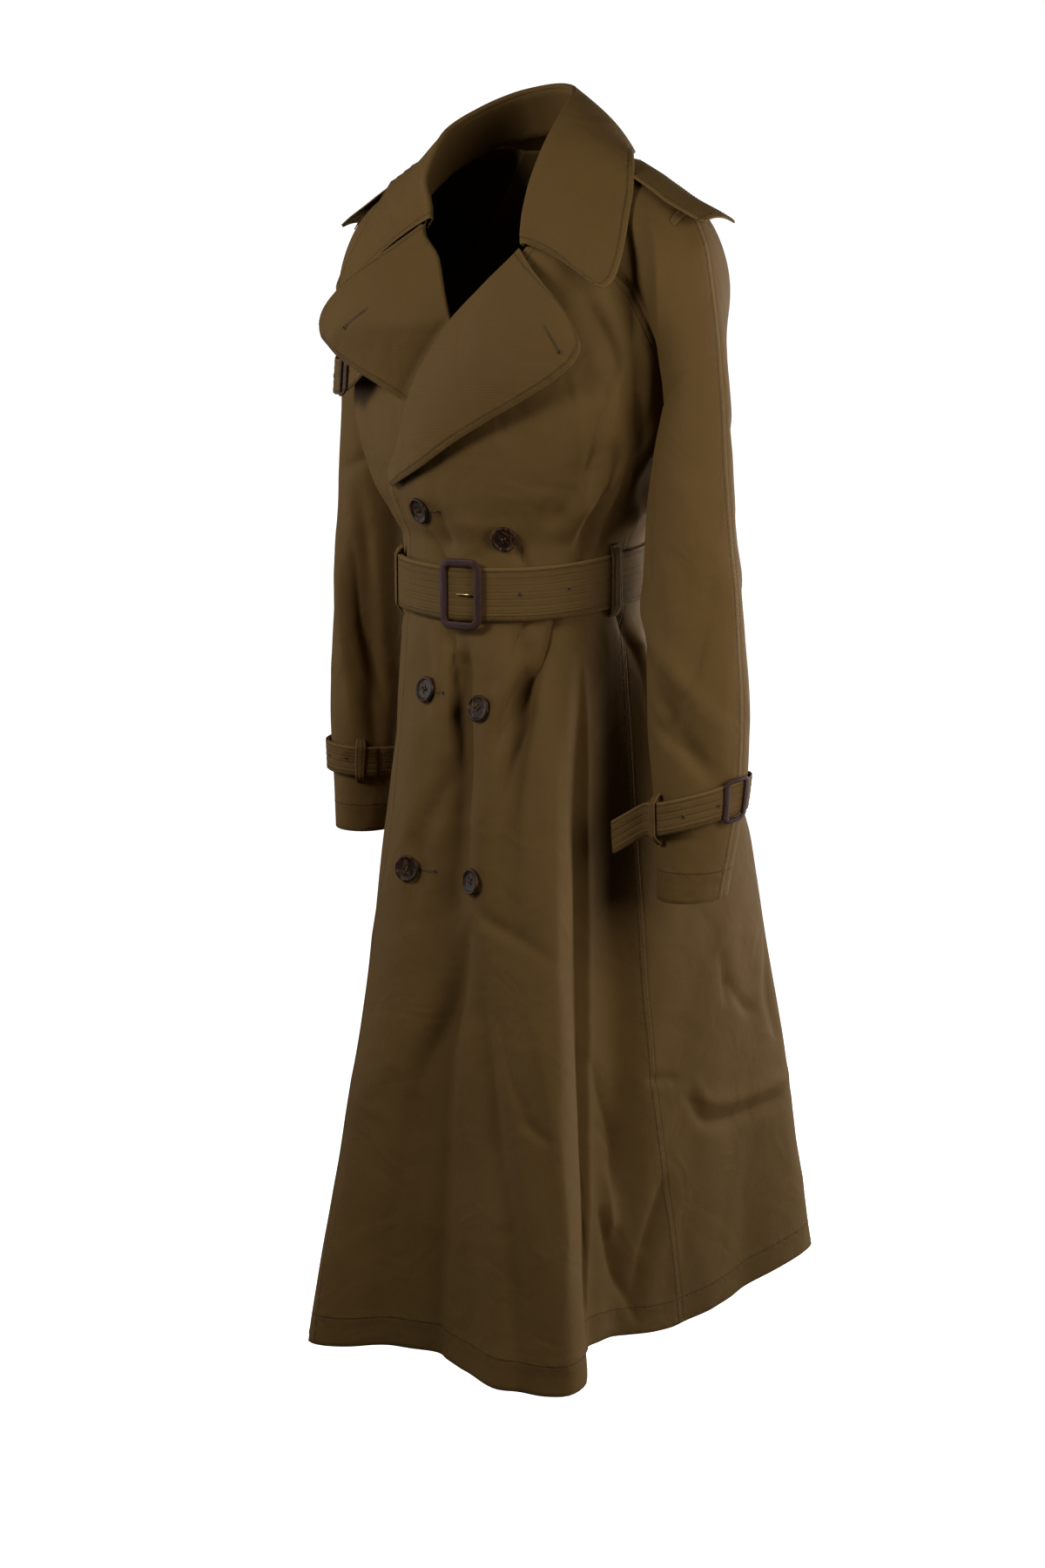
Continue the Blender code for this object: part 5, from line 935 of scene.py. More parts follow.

# %% [markdown]
# ## Folds
# The sections give the coat its large flutes. Where the cloth is really pulled, by the belt, the
# buttons, the arm and the knee, it also breaks into smaller folds, each with its own line, width
# and height. They are listed here. A fold is a line of a few stations on the cloth with a half
# width and a rise in millimetres; a rise below nought is a trough. Its section is a bell: soft at
# a sharpness of 2, and pinched like a pressed crease nearer to 1. Lean makes one side steeper.
# A point's rise depends on its place alone, so two panels that meet at a seam move together.

# %% Fold tables
BODY_FOLDS = (
    # name, sharpness, lean, then stations of (turn, millimetres down, half width, rise)
    ("chest hollow", 2, 0, (50, 85, 8, 0), (57, 101, 12, -7), (63, 135, 12, -10),
     (67, 165, 11, -9), (70, 195, 9, -5), (72, 215, 8, 0)),
    ("drag ridge", 1.25, -0.35, (72, 170, 6, 0), (70.2, 197, 8, 7), (68.3, 212, 9, 11),
     (65.8, 248, 9, 11), (64.4, 288, 9, 10), (63.2, 320, 8, 7), (62.5, 347, 7, 4),
     (61, 372, 7, 0)),
    ("arm hollow", 1.5, -0.4, (73.5, 88, 11, 0), (74.2, 112, 13, -9), (74, 154, 15, -14),
     (75, 197, 15, -14), (76.7, 249, 13, -10), (79, 290, 10, -4), (80, 315, 8, 0)),
    ("chest crease", 1.3, 0.2, (66.1, 190, 5, 0), (66, 212, 5, -5), (63.5, 235, 6, -7),
     (62, 270, 5, -5), (61, 300, 5, 0)),
    ("chest pinch", 1.2, 0, (56, 185, 5, 0), (57, 200, 5, 2), (58, 225, 6, 3.5), (59, 255, 5, 3),
     (60, 285, 4, 1), (60.5, 300, 4, 0)),
    ("waist hollow", 1.5, 0.3, (70, 250, 7, 0), (69.5, 268, 9, -6), (68, 315, 10, -11),
     (66, 356, 10, -10), (65, 385, 9, -6), (64, 400, 9, 0)),
    ("side trough", 1.3, -0.2, (77, 205, 6, 0), (76.2, 225, 7, -4), (75.4, 263, 8, -6),
     (76.4, 317, 8, -6), (74.9, 367, 8, -4), (74, 392, 8, 0)),
    ("side ridge", 1.6, 0, (80, 290, 6, 0), (81.3, 309, 7, 3), (85.3, 331, 7, 4), (88, 350, 7, 0)),
    ("buckle crease", 1.4, 0, (-20, 350, 4, 0), (-16.6, 358, 5, -4), (-11.3, 371, 6, -7),
     (-5.4, 388, 6, -7), (-2, 400, 6, 0)),
    ("belt crease", 1.4, 0, (33, 350, 4, 0), (34.7, 361, 5, -4), (37.7, 373, 5, -7),
     (40.3, 385, 5, -6), (42, 398, 6, 0)),
    ("buckle pleat", 1.3, 0.3, (-6, 430, 4, -4), (-2.7, 454, 5, -9), (2.8, 487, 6, -11),
     (5.5, 532, 7, -9), (8, 577, 8, -5), (12, 610, 8, -2), (15, 650, 8, 0)),
    ("buckle ridge", 1.6, 0, (-19, 440, 6, 0), (-14.9, 456, 7, 4), (-7, 498, 8, 5),
     (-5.3, 543, 8, 3), (-4, 580, 8, 0)),
    ("long trough", 1.3, 0.35, (54.5, 428, 5, -4), (50.1, 468, 7, -9), (39, 508, 9, -11),
     (30.1, 550, 11, -8), (25.9, 583, 12, -4), (24, 615, 11, 0)),
    ("long ridge", 1.5, -0.2, (47, 430, 4, 0), (44.1, 442, 5, 4), (40.3, 469, 6, 5),
     (33.2, 503, 8, 5), (26, 535, 8, 3), (22, 562, 8, 0)),
    ("hip trough", 1.4, 0.2, (45, 520, 5, 0), (42, 539, 7, -4), (37.9, 566, 9, -7),
     (33.7, 592, 10, -7), (31.3, 629, 11, -5), (29.1, 681, 11, -3), (28, 720, 10, 0)),
    ("hip ridge", 1.8, 0, (51, 490, 6, 0), (47, 516, 9, 4), (43.9, 560, 11, 5), (41, 622, 13, 5),
     (39.6, 701, 14, 3), (39, 790, 14, 0)),
    ("flute edge", 1.25, -0.3, (67, 470, 7, 0), (69, 530, 8, 4), (70, 600, 9, 7),
     (69.5, 700, 10, 8), (68.5, 800, 11, 8), (66.5, 920, 11, 8), (64.5, 1035, 11, 8),
     (61, 1176, 11, 7), (59, 1250, 11, 6)),
    ("valley floor", 2, 0, (78, 480, 14, 0), (79, 560, 17, -5), (80, 680, 20, -10),
     (80.5, 800, 22, -13), (80, 940, 24, -13), (79, 1060, 25, -12), (78, 1180, 27, -11),
     (78, 1260, 27, -9)),
    ("belt dart", 1.3, 0.3, (47, 430, 4, 0), (40.5, 443, 5, -5), (36, 458, 6, -7),
     (35, 470, 6, -5), (38, 488, 5, 0)),
    ("side pleat", 1.3, 0.2, (85, 428, 5, -4), (87.2, 442, 5, -6), (93.1, 470, 7, -7),
     (96.7, 504, 8, -5), (97.5, 540, 8, -3), (98, 575, 8, 0)),
    ("button line", 1.2, 0.4, (11, 532, 4, 0), (12.4, 555, 5, -3), (13.3, 620, 6, -4.5),
     (16, 700, 6, -3), (17, 718, 4, 0)),
    ("button pull", 1.4, 0.2, (16.5, 720, 4, 0), (19.5, 728, 5, -3), (26, 747, 7, -4.5),
     (38.2, 762, 8, -3.5), (49.1, 786, 8, -1.5), (56, 806, 8, 0)),
    ("front shade", 2, 0, (7, 585, 9, 0), (2.1, 621, 12, -6), (-6.1, 679, 13, -8),
     (-6.3, 729, 12, -5), (-6, 775, 12, 0)),
    ("front valley", 2, 0, (21, 742, 8, 0), (17.6, 776, 12, -6), (11.8, 850, 16, -11),
     (2.4, 927, 18, -12), (0.5, 1012, 20, -12), (-1.1, 1098, 22, -12), (-1.9, 1194, 23, -11),
     (-2, 1260, 23, -10)),
    ("front crown", 1.5, 0.3, (16, 850, 12, 0), (16.9, 884, 15, 3), (18.6, 975, 19, 5),
     (19.4, 1067, 21, 5), (17.7, 1164, 22, 5), (17, 1260, 22, 4)),
    ("second valley", 2, 0, (22, 755, 8, 0), (26.6, 858, 13, -6), (31.2, 961, 15, -9),
     (35.6, 1063, 16, -9), (37.1, 1159, 17, -8), (38, 1260, 18, -7)),
    ("flute crease", 1.2, 0.3, (42, 835, 5, 0), (44, 870, 7, 3), (46.5, 950, 8, 4),
     (48.5, 1050, 9, 4), (46.5, 1150, 9, 3), (46, 1210, 8, 0)),
    ("crumple 1", 1.2, 0.3, (30, 838, 4, 0), (32.6, 857, 6, -3), (36.1, 905, 6, -4),
     (40.8, 947, 6, -3), (43, 965, 5, 0)),
    ("crumple 2", 1.2, 0, (37, 935, 4, 0), (40, 948, 5, -3), (44.2, 959, 5, -2.5),
     (48, 967, 4, 0)),
    ("valley crease 1", 1.2, 0.3, (66, 900, 5, 0), (68.6, 924, 7, -5), (72.5, 960, 8, -8),
     (79, 1010, 8, -8), (78.2, 1047, 7, -5), (77, 1070, 5, 0)),
    ("valley crease 2", 1.3, 0, (68.5, 976, 4, 0), (71, 986, 5, -4), (75, 997, 5, -4),
     (80, 1016, 5, 0)),
    ("valley crease 3", 1.2, 0.3, (68.5, 1066, 5, 0), (70.4, 1085, 7, -6), (78, 1150, 8, -8),
     (85.1, 1188, 8, -5), (88, 1215, 6, 0)),
    ("valley facet", 1.4, 0, (72, 1025, 7, 0), (75, 1055, 10, 7), (76, 1085, 10, 7),
     (77, 1115, 7, 0)),
    ("seam diagonal", 1.3, 0.3, (100, 1045, 6, 0), (97, 1072, 9, -6), (92, 1115, 10, -8),
     (88, 1155, 10, -5), (86, 1185, 8, 0)),
    ("seam nick", 1.4, 0, (92, 936, 4, 0), (94.5, 941, 5, -4), (101, 944, 5, -4),
     (106, 948, 4, 0)),
    ("back break", 1.4, 0.3, (107, 964, 5, 0), (109.7, 975, 7, -4), (116.1, 1007, 8, -6),
     (127.5, 1015, 9, -6), (136, 1017, 9, -4), (143, 1020, 8, 0)),
    ("back crest", 1.7, 0, (110, 945, 7, 0), (117, 984, 9, 4), (128, 992, 10, 5),
     (137, 995, 10, 4), (144, 998, 8, 0)),
    ("back nick 1", 1.2, 0.2, (119, 812, 4, 0), (119.5, 826, 6, -4), (120.9, 862, 6, -5),
     (121.5, 882, 4, 0)),
    ("back nick 2", 1.4, 0, (120.5, 846, 4, 0), (122, 854, 6, -4), (129, 891, 6, -5),
     (133, 906, 5, 0)),
    ("back shade", 1.8, 0, (139, 812, 6, 0), (138.5, 832, 8, -3), (136, 885, 9, -4),
     (138, 930, 8, -3), (139, 955, 6, 0)),
    ("back pleat 1", 1.6, 0.2, (150, 428, 5, -3), (152, 450, 6, -6), (156, 500, 9, -6),
     (158, 560, 10, -3), (159, 610, 10, 0)),
    ("back pleat 2", 1.6, -0.2, (186, 428, 5, -4), (184, 455, 6, -7), (179, 510, 9, -6),
     (176, 580, 10, -3), (175, 640, 10, 0)),
    ("back fullness 1", 1.8, 0, (148, 300, 8, 0), (151, 340, 10, -5), (152, 375, 9, -6),
     (153, 400, 8, -3)),
    ("back fullness 2", 1.7, 0, (190, 280, 8, 0), (187, 325, 10, -5), (184, 370, 9, -7),
     (183, 400, 8, -3)),
    ("back drag 1", 1.7, 0, (120, 190, 8, 0), (132, 235, 10, -4), (147, 275, 11, -4),
     (160, 300, 10, 0)),
    ("back drag 2", 1.7, 0, (238, 185, 8, 0), (226, 240, 10, -4), (212, 285, 11, -5),
     (198, 315, 10, 0)),
)
# Folds of the side that is turned away repeat some of these, mirrored and a little out of step:
# name, turn that they are mirrored about or shifted by, millimetres further down, share of rise.
MIRRORED_FOLDS = (
    ("drag ridge", 3, 12, 0.8), ("chest hollow", -2, -8, 0.7), ("arm hollow", 1, 6, 0.8),
    ("side trough", -3, 10, 0.9), ("side ridge", 2, -9, 1), ("waist hollow", 2, 6, 0.7),
    ("side pleat", -4, 4, 1), ("valley crease 1", 5, -30, 0.9), ("valley crease 3", -3, -46, 0.8),
    ("valley facet", 2, -35, 0.9), ("seam diagonal", 4, -20, 0.9), ("seam nick", 3, -25, 1),
    ("back break", -6, -60, 0.9), ("back crest", -6, -60, 0.9), ("back nick 2", 5, 35, 1),
    ("back shade", 4, 20, 1), ("flute crease", 12, -20, 1),
)
SLEEVE_FOLDS = (
    # side, half, sharpness, lean, then stations of (step, share across, half width, rise)
    ("left", "front", 1.5, -0.4, (1.2, 0.52, 8, 0), (1.74, 0.38, 11, -7), (2.1, 0.24, 13, -10),
     (2.4, 0.1, 13, -6), (2.7, 0, 12, 0)),
    ("left", "front", 1.3, 0, (1.9, 0.68, 6, 0), (2.55, 0.56, 7, 8), (3.15, 0.47, 8, 10),
     (3.75, 0.37, 8, 9), (4.26, 0.26, 8, 6), (4.9, 0.15, 8, 0)),
    ("left", "front", 1.6, 0.2, (6.8, 0.4, 6, 0), (7.6, 0.34, 8, -4), (8.7, 0.36, 8, -5),
     (9.4, 0.42, 8, 0)),
    ("left", "front", 1.6, 0.2, (10.9, 0.28, 6, 0), (11.34, 0.43, 7, -4), (11.65, 0.62, 8, -5),
     (12.1, 0.78, 7, 0)),
    ("left", "front", 1.8, 0, (9.2, 0.86, 7, 0), (9.65, 0.8, 9, -4), (10.35, 0.7, 10, -5),
     (11.2, 0.52, 9, -4), (11.6, 0.44, 8, 0)),
    ("left", "front", 1.7, 0, (8.2, 0.3, 7, 0), (8.9, 0.48, 10, 3), (9.9, 0.55, 11, 4),
     (10.9, 0.4, 9, 0)),
    ("left", "back", 1.6, 0, (7, 0.95, 6, 0), (7.4, 0.75, 8, -4), (7.7, 0.5, 9, -4),
     (7.8, 0.3, 8, 0)),
    ("left", "back", 1.6, 0, (8.4, 0.9, 6, 0), (8.6, 0.7, 8, -4), (8.5, 0.45, 9, -5),
     (8.2, 0.25, 8, 0)),
    ("left", "back", 1.8, 0, (9.3, 0.85, 7, 0), (10, 0.72, 9, -4), (10.8, 0.5, 10, -4),
     (11.3, 0.4, 8, 0)),
    ("right", "front", 1.6, 0.2, (9, 0.52, 6, 0), (9.53, 0.45, 8, -5), (10.47, 0.36, 9, -7),
     (11.4, 0.2, 9, -5), (12.2, 0.1, 8, 0)),
    ("right", "front", 1.7, 0, (8.8, 0.75, 6, 0), (9.6, 0.66, 9, 3), (10.4, 0.58, 10, 4),
     (11.3, 0.42, 9, 0)),
    ("right", "front", 1.7, 0, (2.4, 0.45, 7, 0), (3, 0.3, 9, -5), (3.8, 0.18, 9, -5),
     (4.6, 0.05, 8, 0)),
    ("right", "front", 1.6, 0, (7.2, 0.2, 6, 0), (7.6, 0.38, 8, -4), (8, 0.6, 8, -3),
     (8.2, 0.78, 7, 0)),
    ("right", "back", 1.6, 0, (7.1, 0.9, 6, 0), (7.5, 0.7, 8, -4), (7.7, 0.45, 9, -5),
     (7.6, 0.25, 8, 0)),
    ("right", "back", 1.7, 0, (8.7, 0.85, 6, 0), (8.9, 0.62, 8, -4), (8.7, 0.4, 9, -4),
     (8.4, 0.25, 8, 0)),
    ("right", "back", 1.8, 0, (9.6, 0.8, 7, 0), (10.3, 0.66, 9, -4), (11, 0.46, 9, -3),
     (11.4, 0.36, 8, 0)),
)
SOFTNESS = (
    # waves of worn cloth: length round, length down and rise, in millimetres, and if it is creased
    (62, 150, 2.0, 0),
    (30, 64, 0.7, 0),
    (84, 170, 2.6, 1),
)
print("folds listed:", len(BODY_FOLDS) + len(SLEEVE_FOLDS))

# %% [markdown]
# ## Raising the folds
# A fold pushes the cloth out, or draws it in, most along its own line and less to each side. It
# could be simulated, but a listed fold stays where it is put and can be kept clear of the belt,
# the straps and the armpits. Each point moves along the cloth's normal by the sum of its folds.

# %% Raising the folds
BELT_CLEAR = (-0.470, -0.452, -0.372, -0.350)   # nothing rises between the middle two heights
STRAP_CLEAR = (11.2, 11.6, 13.3, 13.6)          # the same for the cuff straps, in steps
ARMPIT_CLEAR = 0.030    # four panels meet at the armpit, so nothing moves this near to it
UNDERLAP_CLEAR = 0.0065  # from the lower front to the foot of the upper front's folds
CALM = 0.6              # share of a rise that is kept above the belt, under the lapels
LAPEL_FOOT = -0.40      # height above which the fronts are calm
BODY_FOLDS_REACH = 300  # a body fold that starts above this, in mm down, also moves the sleeves
SLEEVE_FOLDS_REACH = 9  # a sleeve fold that starts above this step also moves the body


def hood(values, a, b, c, d):
    """0 between b and c, 1 below a and above d, and smooth between."""
    inside = np.clip((values - a) / (b - a), 0, 1) * np.clip((d - values) / (d - c), 0, 1)
    return 1 - smooth(inside)


def on_sleeve(grid, step, across):
    """The place on a sleeve's grid at a step down the arm and a share across."""
    i = min(np.interp(step, SLEEVE_STEPS, np.arange(len(grid))), len(grid) - 1.001)
    j = min(max(across, 0.0) * (grid.shape[1] - 1), grid.shape[1] - 1.001)
    m, n, u, v = int(i), int(j), i % 1, j % 1
    return ((grid[m, n] * (1 - v) + grid[m, n + 1] * v) * (1 - u)
            + (grid[m + 1, n] * (1 - v) + grid[m + 1, n + 1] * v) * u)


def fold_rise(grid, normals, stations, place, sharp, lean):
    """How far one fold lifts each point of a grid."""
    data = np.array(stations, float)
    fine = np.linspace(0, len(data) - 1, (len(data) - 1) * 12 + 1)
    first, second, width, rise = (curve(np.arange(len(data)), data[:, k], fine) for k in range(4))
    line = np.array([place(a, b) for a, b in zip(first, second)])
    reach = width.max() * 0.004
    near = np.all((grid > line.min(axis=0) - reach) & (grid < line.max(axis=0) + reach), axis=-1)
    total = np.zeros(grid.shape[:2])
    if not near.any():
        return total
    points = grid[near]
    gaps = points[:, None] - line
    closest = np.argmin((gaps ** 2).sum(axis=-1), axis=1)
    gap = gaps[np.arange(len(points)), closest]
    steps = np.gradient(line, axis=0)
    way = unit(steps)[closest]
    slip = np.sum(gap * way, axis=-1)
    spot = closest + np.clip(slip / np.linalg.norm(steps, axis=1)[closest], -0.6, 0.6)
    spot = np.clip(spot, 0, len(line) - 1)
    inner = (closest > 0) & (closest < len(line) - 1)
    off = np.sqrt(np.maximum((gap ** 2).sum(axis=-1) - inner * slip ** 2, 0.0))
    side = np.sign(np.sum(np.cross(normals[near], way) * gap, axis=-1))
    wide = np.interp(spot, np.arange(len(line)), width) / 1000 * (1 + lean * side)
    high = np.interp(spot, np.arange(len(line)), rise) / 1000
    total[near] = high * np.exp(-(off / wide) ** sharp)
    return total


def softness(grid):
    """The slow waves of the cloth at every point of a grid."""
    flat = grid.reshape(-1, 3)
    total = np.zeros(len(flat))
    for k, (round_it, down, rise, creased) in enumerate(SOFTNESS):
        scaled = flat * np.array([1000 / round_it, 1000 / round_it, 1000 / down]) + 3.7 * k
        wave = np.array([noise.noise(Vector(p)) for p in scaled])
        total += rise / 1000 * (0.4 - 1.6 * np.abs(wave) if creased else wave)
    return total.reshape(grid.shape[:2])


def body_place(turn, drop):
    return body_point(turn, -drop / 1000)[0]


def all_body_folds():
    """The listed folds, and the mirrored ones with their own places."""
    named = {name: fold for name, *fold in BODY_FOLDS}
    folds = list(named.values())
    for name, shift, further, share in MIRRORED_FOLDS:
        sharp, lean, *stations = named[name]
        folds.append((sharp, -lean, *((shift - turn, drop + further, width, rise * share)
                                      for turn, drop, width, rise in stations)))
    return folds


def room_on_body(name, grid):
    """Share of its folds' rise that each point of a body panel keeps."""
    z = grid[:, :, 2]
    room = hood(z, *BELT_CLEAR) * np.where(z > LAPEL_FOOT, CALM, 1.0)
    return room, np.concatenate([np.ones(len(SKIRT_LEVELS)), np.clip(RAGLAN_STEPS / 1.2, 0, 1)])


def room_on_sleeve(grid):
    """The same for a sleeve, which stays calm under its shoulder and cuff straps."""
    share = np.clip((np.linspace(0, 1, grid.shape[1]) - 0.60) / 0.25, 0, 1)
    strap = np.clip((SLEEVE_STEPS - 3.4) / 0.6, 0, 1)[:, None]
    room = (CALM + (strap - CALM) * share) * hood(SLEEVE_STEPS, *STRAP_CLEAR)[:, None]
    return room, np.clip(SLEEVE_STEPS / 1.2, 0, 1)


def fold_panels():
    """Lifts every panel by its folds and its softness, along the shared normals."""
    lifts = {}
    for name, grid in panels.items():
        total = softness(grid)
        body = not name.startswith("sleeve")
        for sharp, lean, *stations in all_body_folds():
            if body or stations[0][1] < BODY_FOLDS_REACH:
                total += fold_rise(grid, leaning[name], stations, body_place, sharp, lean)
        for side, half, sharp, lean, *stations in SLEEVE_FOLDS:
            home = panels["sleeve_" + half + "_" + side]
            own = name.startswith("sleeve") and name.endswith(side)
            near = stations[0][0] < SLEEVE_FOLDS_REACH and name in ("back", "front_" + side)
            if own or near:
                total += fold_rise(grid, leaning[name], stations,
                                   lambda a, b: on_sleeve(home, a, b), sharp, lean)
        room, neck = room_on_body(name, grid) if body else room_on_sleeve(grid)
        total = np.where(total > 0, total * room, total) * neck[:, None]
        if name == "front_right":       # it lies clear of the foot of the left front's pleats
            z = grid[:, :, 2]
            under = np.clip((OVERLAP_COLUMNS - np.arange(grid.shape[1])) / 8, 0, 1)
            deep = np.clip((z + 0.80) / 0.10, 0, 1) * np.clip((-0.34 - z) / 0.04, 0, 1)
            total -= UNDERLAP_CLEAR * under * deep
        for side in SIDES:
            armpit = panels["sleeve_front_" + side][top - 1, 0]
            total *= 1 - np.exp(-(np.linalg.norm(grid - armpit, axis=-1) / ARMPIT_CLEAR) ** 4)
        lifts[name] = total
    for name in panels:
        panels[name] = panels[name] + unit(leaning[name]) * lifts[name][..., None]
        leaning[name] = grid_normals(panels[name]) * (-1 if name in inward else 1)
    print("folds:", {name: [round(1000 * float(f()), 1) for f in (lift.min, lift.max)]
                     for name, lift in lifts.items()})


# %% [markdown]
# ## Sewing the panels together
# Two panels that meet at a seam must lean the same way there, or the shell would split open.
# Their border normals are shared first; only then do the panels get their thickness. The front
# edges and the hem are turned and topstitched, and the side and overarm seams are felled.

# %% Panels
FRONT_STITCH = 0.010    # from the front edge to its topstitching
HEM_STITCH = 0.030
CUFF_STITCH = 0.030
SEAM_STITCH = 0.0065    # from a felled seam to its topstitching

inward = ("front_right", "sleeve_front_left", "sleeve_back_right")
leaning = {name: grid_normals(grid) * (-1 if name in inward else 1)
           for name, grid in panels.items()}
below = len(SKIRT_LEVELS)
top = len(RAGLAN_STEPS)


def join_seams():
    """Makes the normals of every two panels agree along the seam between them."""
    for side in SIDES:
        front, back = leaning["front_" + side], leaning["back"]
        column = 0 if side == "left" else -1
        arm_front, arm_back = leaning["sleeve_front_" + side], leaning["sleeve_back_" + side]
        share_normals(front[:below, -1], back[:below, column])
        share_normals(arm_front[:, -1], arm_back[:, -1])
        share_normals(arm_front[top - 1:, 0], arm_back[top - 1:, 0])
        share_normals(front[below, -1], back[below, column])
        share_normals(front[below + 1:, -1], arm_front[:top - 1, 0][::-1])
        share_normals(back[below + 1:, column], arm_back[:top - 1, 0][::-1])


join_seams()
fold_panels()
join_seams()
for side in SIDES:
    front, arm = panels["front_" + side], panels["sleeve_front_" + side]
    gaps = (front[:below, -1] - panels["back"][:below, 0 if side == "left" else -1],
            front[below:, -1] - arm[:top, 0][::-1],
            arm[:, -1] - panels["sleeve_back_" + side][:, -1])
    print(side, "seams open by", [round(1000 * float(np.abs(gap).max()), 3) for gap in gaps], "mm")

SEWING = {
    # kind of panel: its rows of stitching and its turned edges
    "front": ((("first", FRONT_STITCH), ("start", HEM_STITCH), ("last", SEAM_STITCH)),
              ("first", "start")),
    "back": ((("start", HEM_STITCH),), ("start", "first", "last")),
    "sleeve_front": ((("last", SEAM_STITCH), ("end", CUFF_STITCH)), ("end",)),
    "sleeve_back": ((("end", CUFF_STITCH),), ("end", "last")),
}
for name, grid in panels.items():
    rows, edges = SEWING[name.removesuffix("_left").removesuffix("_right")]
    cloth(name, grid, [cloth_look, inside_look], leaning[name], rows=rows, edges=edges)
print("panels:", {name: len(coat[name].data.polygons) for name in panels})

# %% [markdown]
# ## Collar and lapels
# The collar of a trench coat is a stand sewn to the neck and a leaf that falls over it. The
# lapels are the fronts themselves, turned back at the roll line. Turned cloth is a half circle of
# a few millimetres, then a face that follows the chest at the height that its row gives. The edge
# tables list the roll line and the outer edge side by side.

# %% Collar tables
# Each row runs from the roll line (by its height) to the outer edge, whose distance off the
# body is edge_off. Turn is the radius of the roll, lift how high the cloth swells between.
LAPEL_SIZES = "roll_z_mm edge_angle edge_z_mm edge_off_mm turn_mm lift_mm"
LEFT_LAPEL = table(
    LAPEL_SIZES,
    (-70, 51.7, -124, 19.6, 3, 10),
    (-75, 54.5, -142, 22.5, 3, 10),
    (-82, 56, -160, 22.5, 3, 10),
    (-93, 54.4, -174, 20.4, 2.9, 10),
    (-112, 48.8, -192, 18.1, 2.8, 9),
    (-136, 37.8, -215, 16.3, 2.6, 8),
    (-165, 24.9, -236, 14.2, 2.4, 6),
    (-205, 9.4, -259, 12.4, 2.2, 4),
    (-255, -9.7, -286, 10, 1.9, 2),
    (-302, -30.4, -308, 7, 1.6, 1),
)
RIGHT_LAPEL = table(
    LAPEL_SIZES,
    (-46, -47.8, -134, 42.8, 3, 12),
    (-51, -50.2, -144, 47.3, 3, 12),
    (-58, -50.7, -155, 44.3, 3, 12),
    (-68, -48.2, -165, 39.2, 2.9, 12),
    (-86, -40.4, -186, 29.2, 2.6, 10),
    (-108, -29.2, -208, 18.4, 2.2, 7),
    (-136, -15.4, -234, 5.8, 1.8, 2),
    (-180, -0.9, -258, -3, 1.5, 0),
    (-240, 19.9, -284, -3, 1.5, 0),
    (-302, 34, -308, -3, 1.5, 0),
)

# The collar from the wearer's left front round the back to the right front: the roll line,
# the foot of the stand and the outer edge of the leaf.
COLLAR = table(
    "name roll_x_mm roll_y_mm roll_z_mm foot_x_mm foot_y_mm foot_z_mm edge_x_mm edge_y_mm "
    "edge_z_mm turn_mm lift_mm flat_mm",
    ("left front edge", 78, -98, -62, 76.8, -89.9, -64, 160, -96, -96, 3, 10, 4),
    ("left tip round", 77, -96, -56, 80.7, -86.6, -60, 173, -90, -103, 3, 11, 4),
    ("left tip side", 75, -92, -48, 83.4, -80, -54, 180, -82, -96, 3, 12, 4),
    ("left chest", 72, -85, -32, 84, -70.8, -44, 182, -73, -78, 3, 18, 10),
    ("left collarbone", 69, -70, -2, 87, -50, -24, 168, -36, -28, 3, 22, 14),
    ("left shoulder", 66, -35, 46, 86, -12, 12, 134, 12, 24, 3, 20, 14),
    ("left back", 52, 12, 80, 74, 36, 36, 95, 66, 31, 3, 16, 12),
    ("left nape", 28, 44, 94, 42, 68, 50, 50, 105, 22, 3, 12, 12),
    ("nape", 0, 56, 98, 0, 78, 54, 0, 122, 14, 3, 12, 12),
    ("right nape", -32, 46, 93, -42, 68, 50, -54, 110, 14, 3, 12, 12),
    ("right back", -62, 14, 76, -74, 36, 36, -106, 82, 6, 3, 14, 12),
    ("right shoulder", -80, -28, 48, -88, -12, 10, -146, 26, 2, 3, 22, 14),
    ("right collarbone", -80, -56, 8, -88, -46, -14, -172, -30, -34, 3, 18, 12),
    ("right chest", -71, -63.5, -16, -79, -58, -32, -178, -76, -78, 3, 14, 10),
    ("right tip side", -66, -67, -26, -73.5, -65, -38, -176, -94, -100, 3, 12, 8),
    ("right tip round", -63.5, -70, -32, -71, -69, -42, -168, -104, -110, 3, 11, 7),
    ("right front edge", -61, -73.5, -38, -68, -73, -45, -150, -110, -108, 3, 10, 6),
)
print("collar sections:", len(COLLAR["name"]))

# %% [markdown]
# ## Turning the cloth over
# A lapel isn't laid on the coat: the front itself rolls over and comes back down. A copy of the
# front moved outward would look pasted on, so each row here leaves the roll line, goes round a
# small half circle and only then follows the body out to the edge.

# %% Turned cloth
ROLL_GAP = 0.0005
TURN_ANGLES = np.radians(np.linspace(0.0, 180.0, 9))
LEAF_PARTS = np.linspace(0.0, 1.0, 27)[1:]
LAPEL_ROWS_PER = 9      # rows of points from one row of the table to the next
COLLAR_ROWS_PER = 8


def square_to(line, way):
    """The part of a direction that is square to a line."""
    way = unit(way)
    return unit(way - line * np.dot(way, line))


def roll_over(foot, along, out, turn):
    """The half circle in which cloth that comes up along turns over towards out."""
    centre = foot + along * ROLL_GAP + out * turn
    return [centre + turn * (np.sin(a) * along - np.cos(a) * out) for a in TURN_ANGLES]


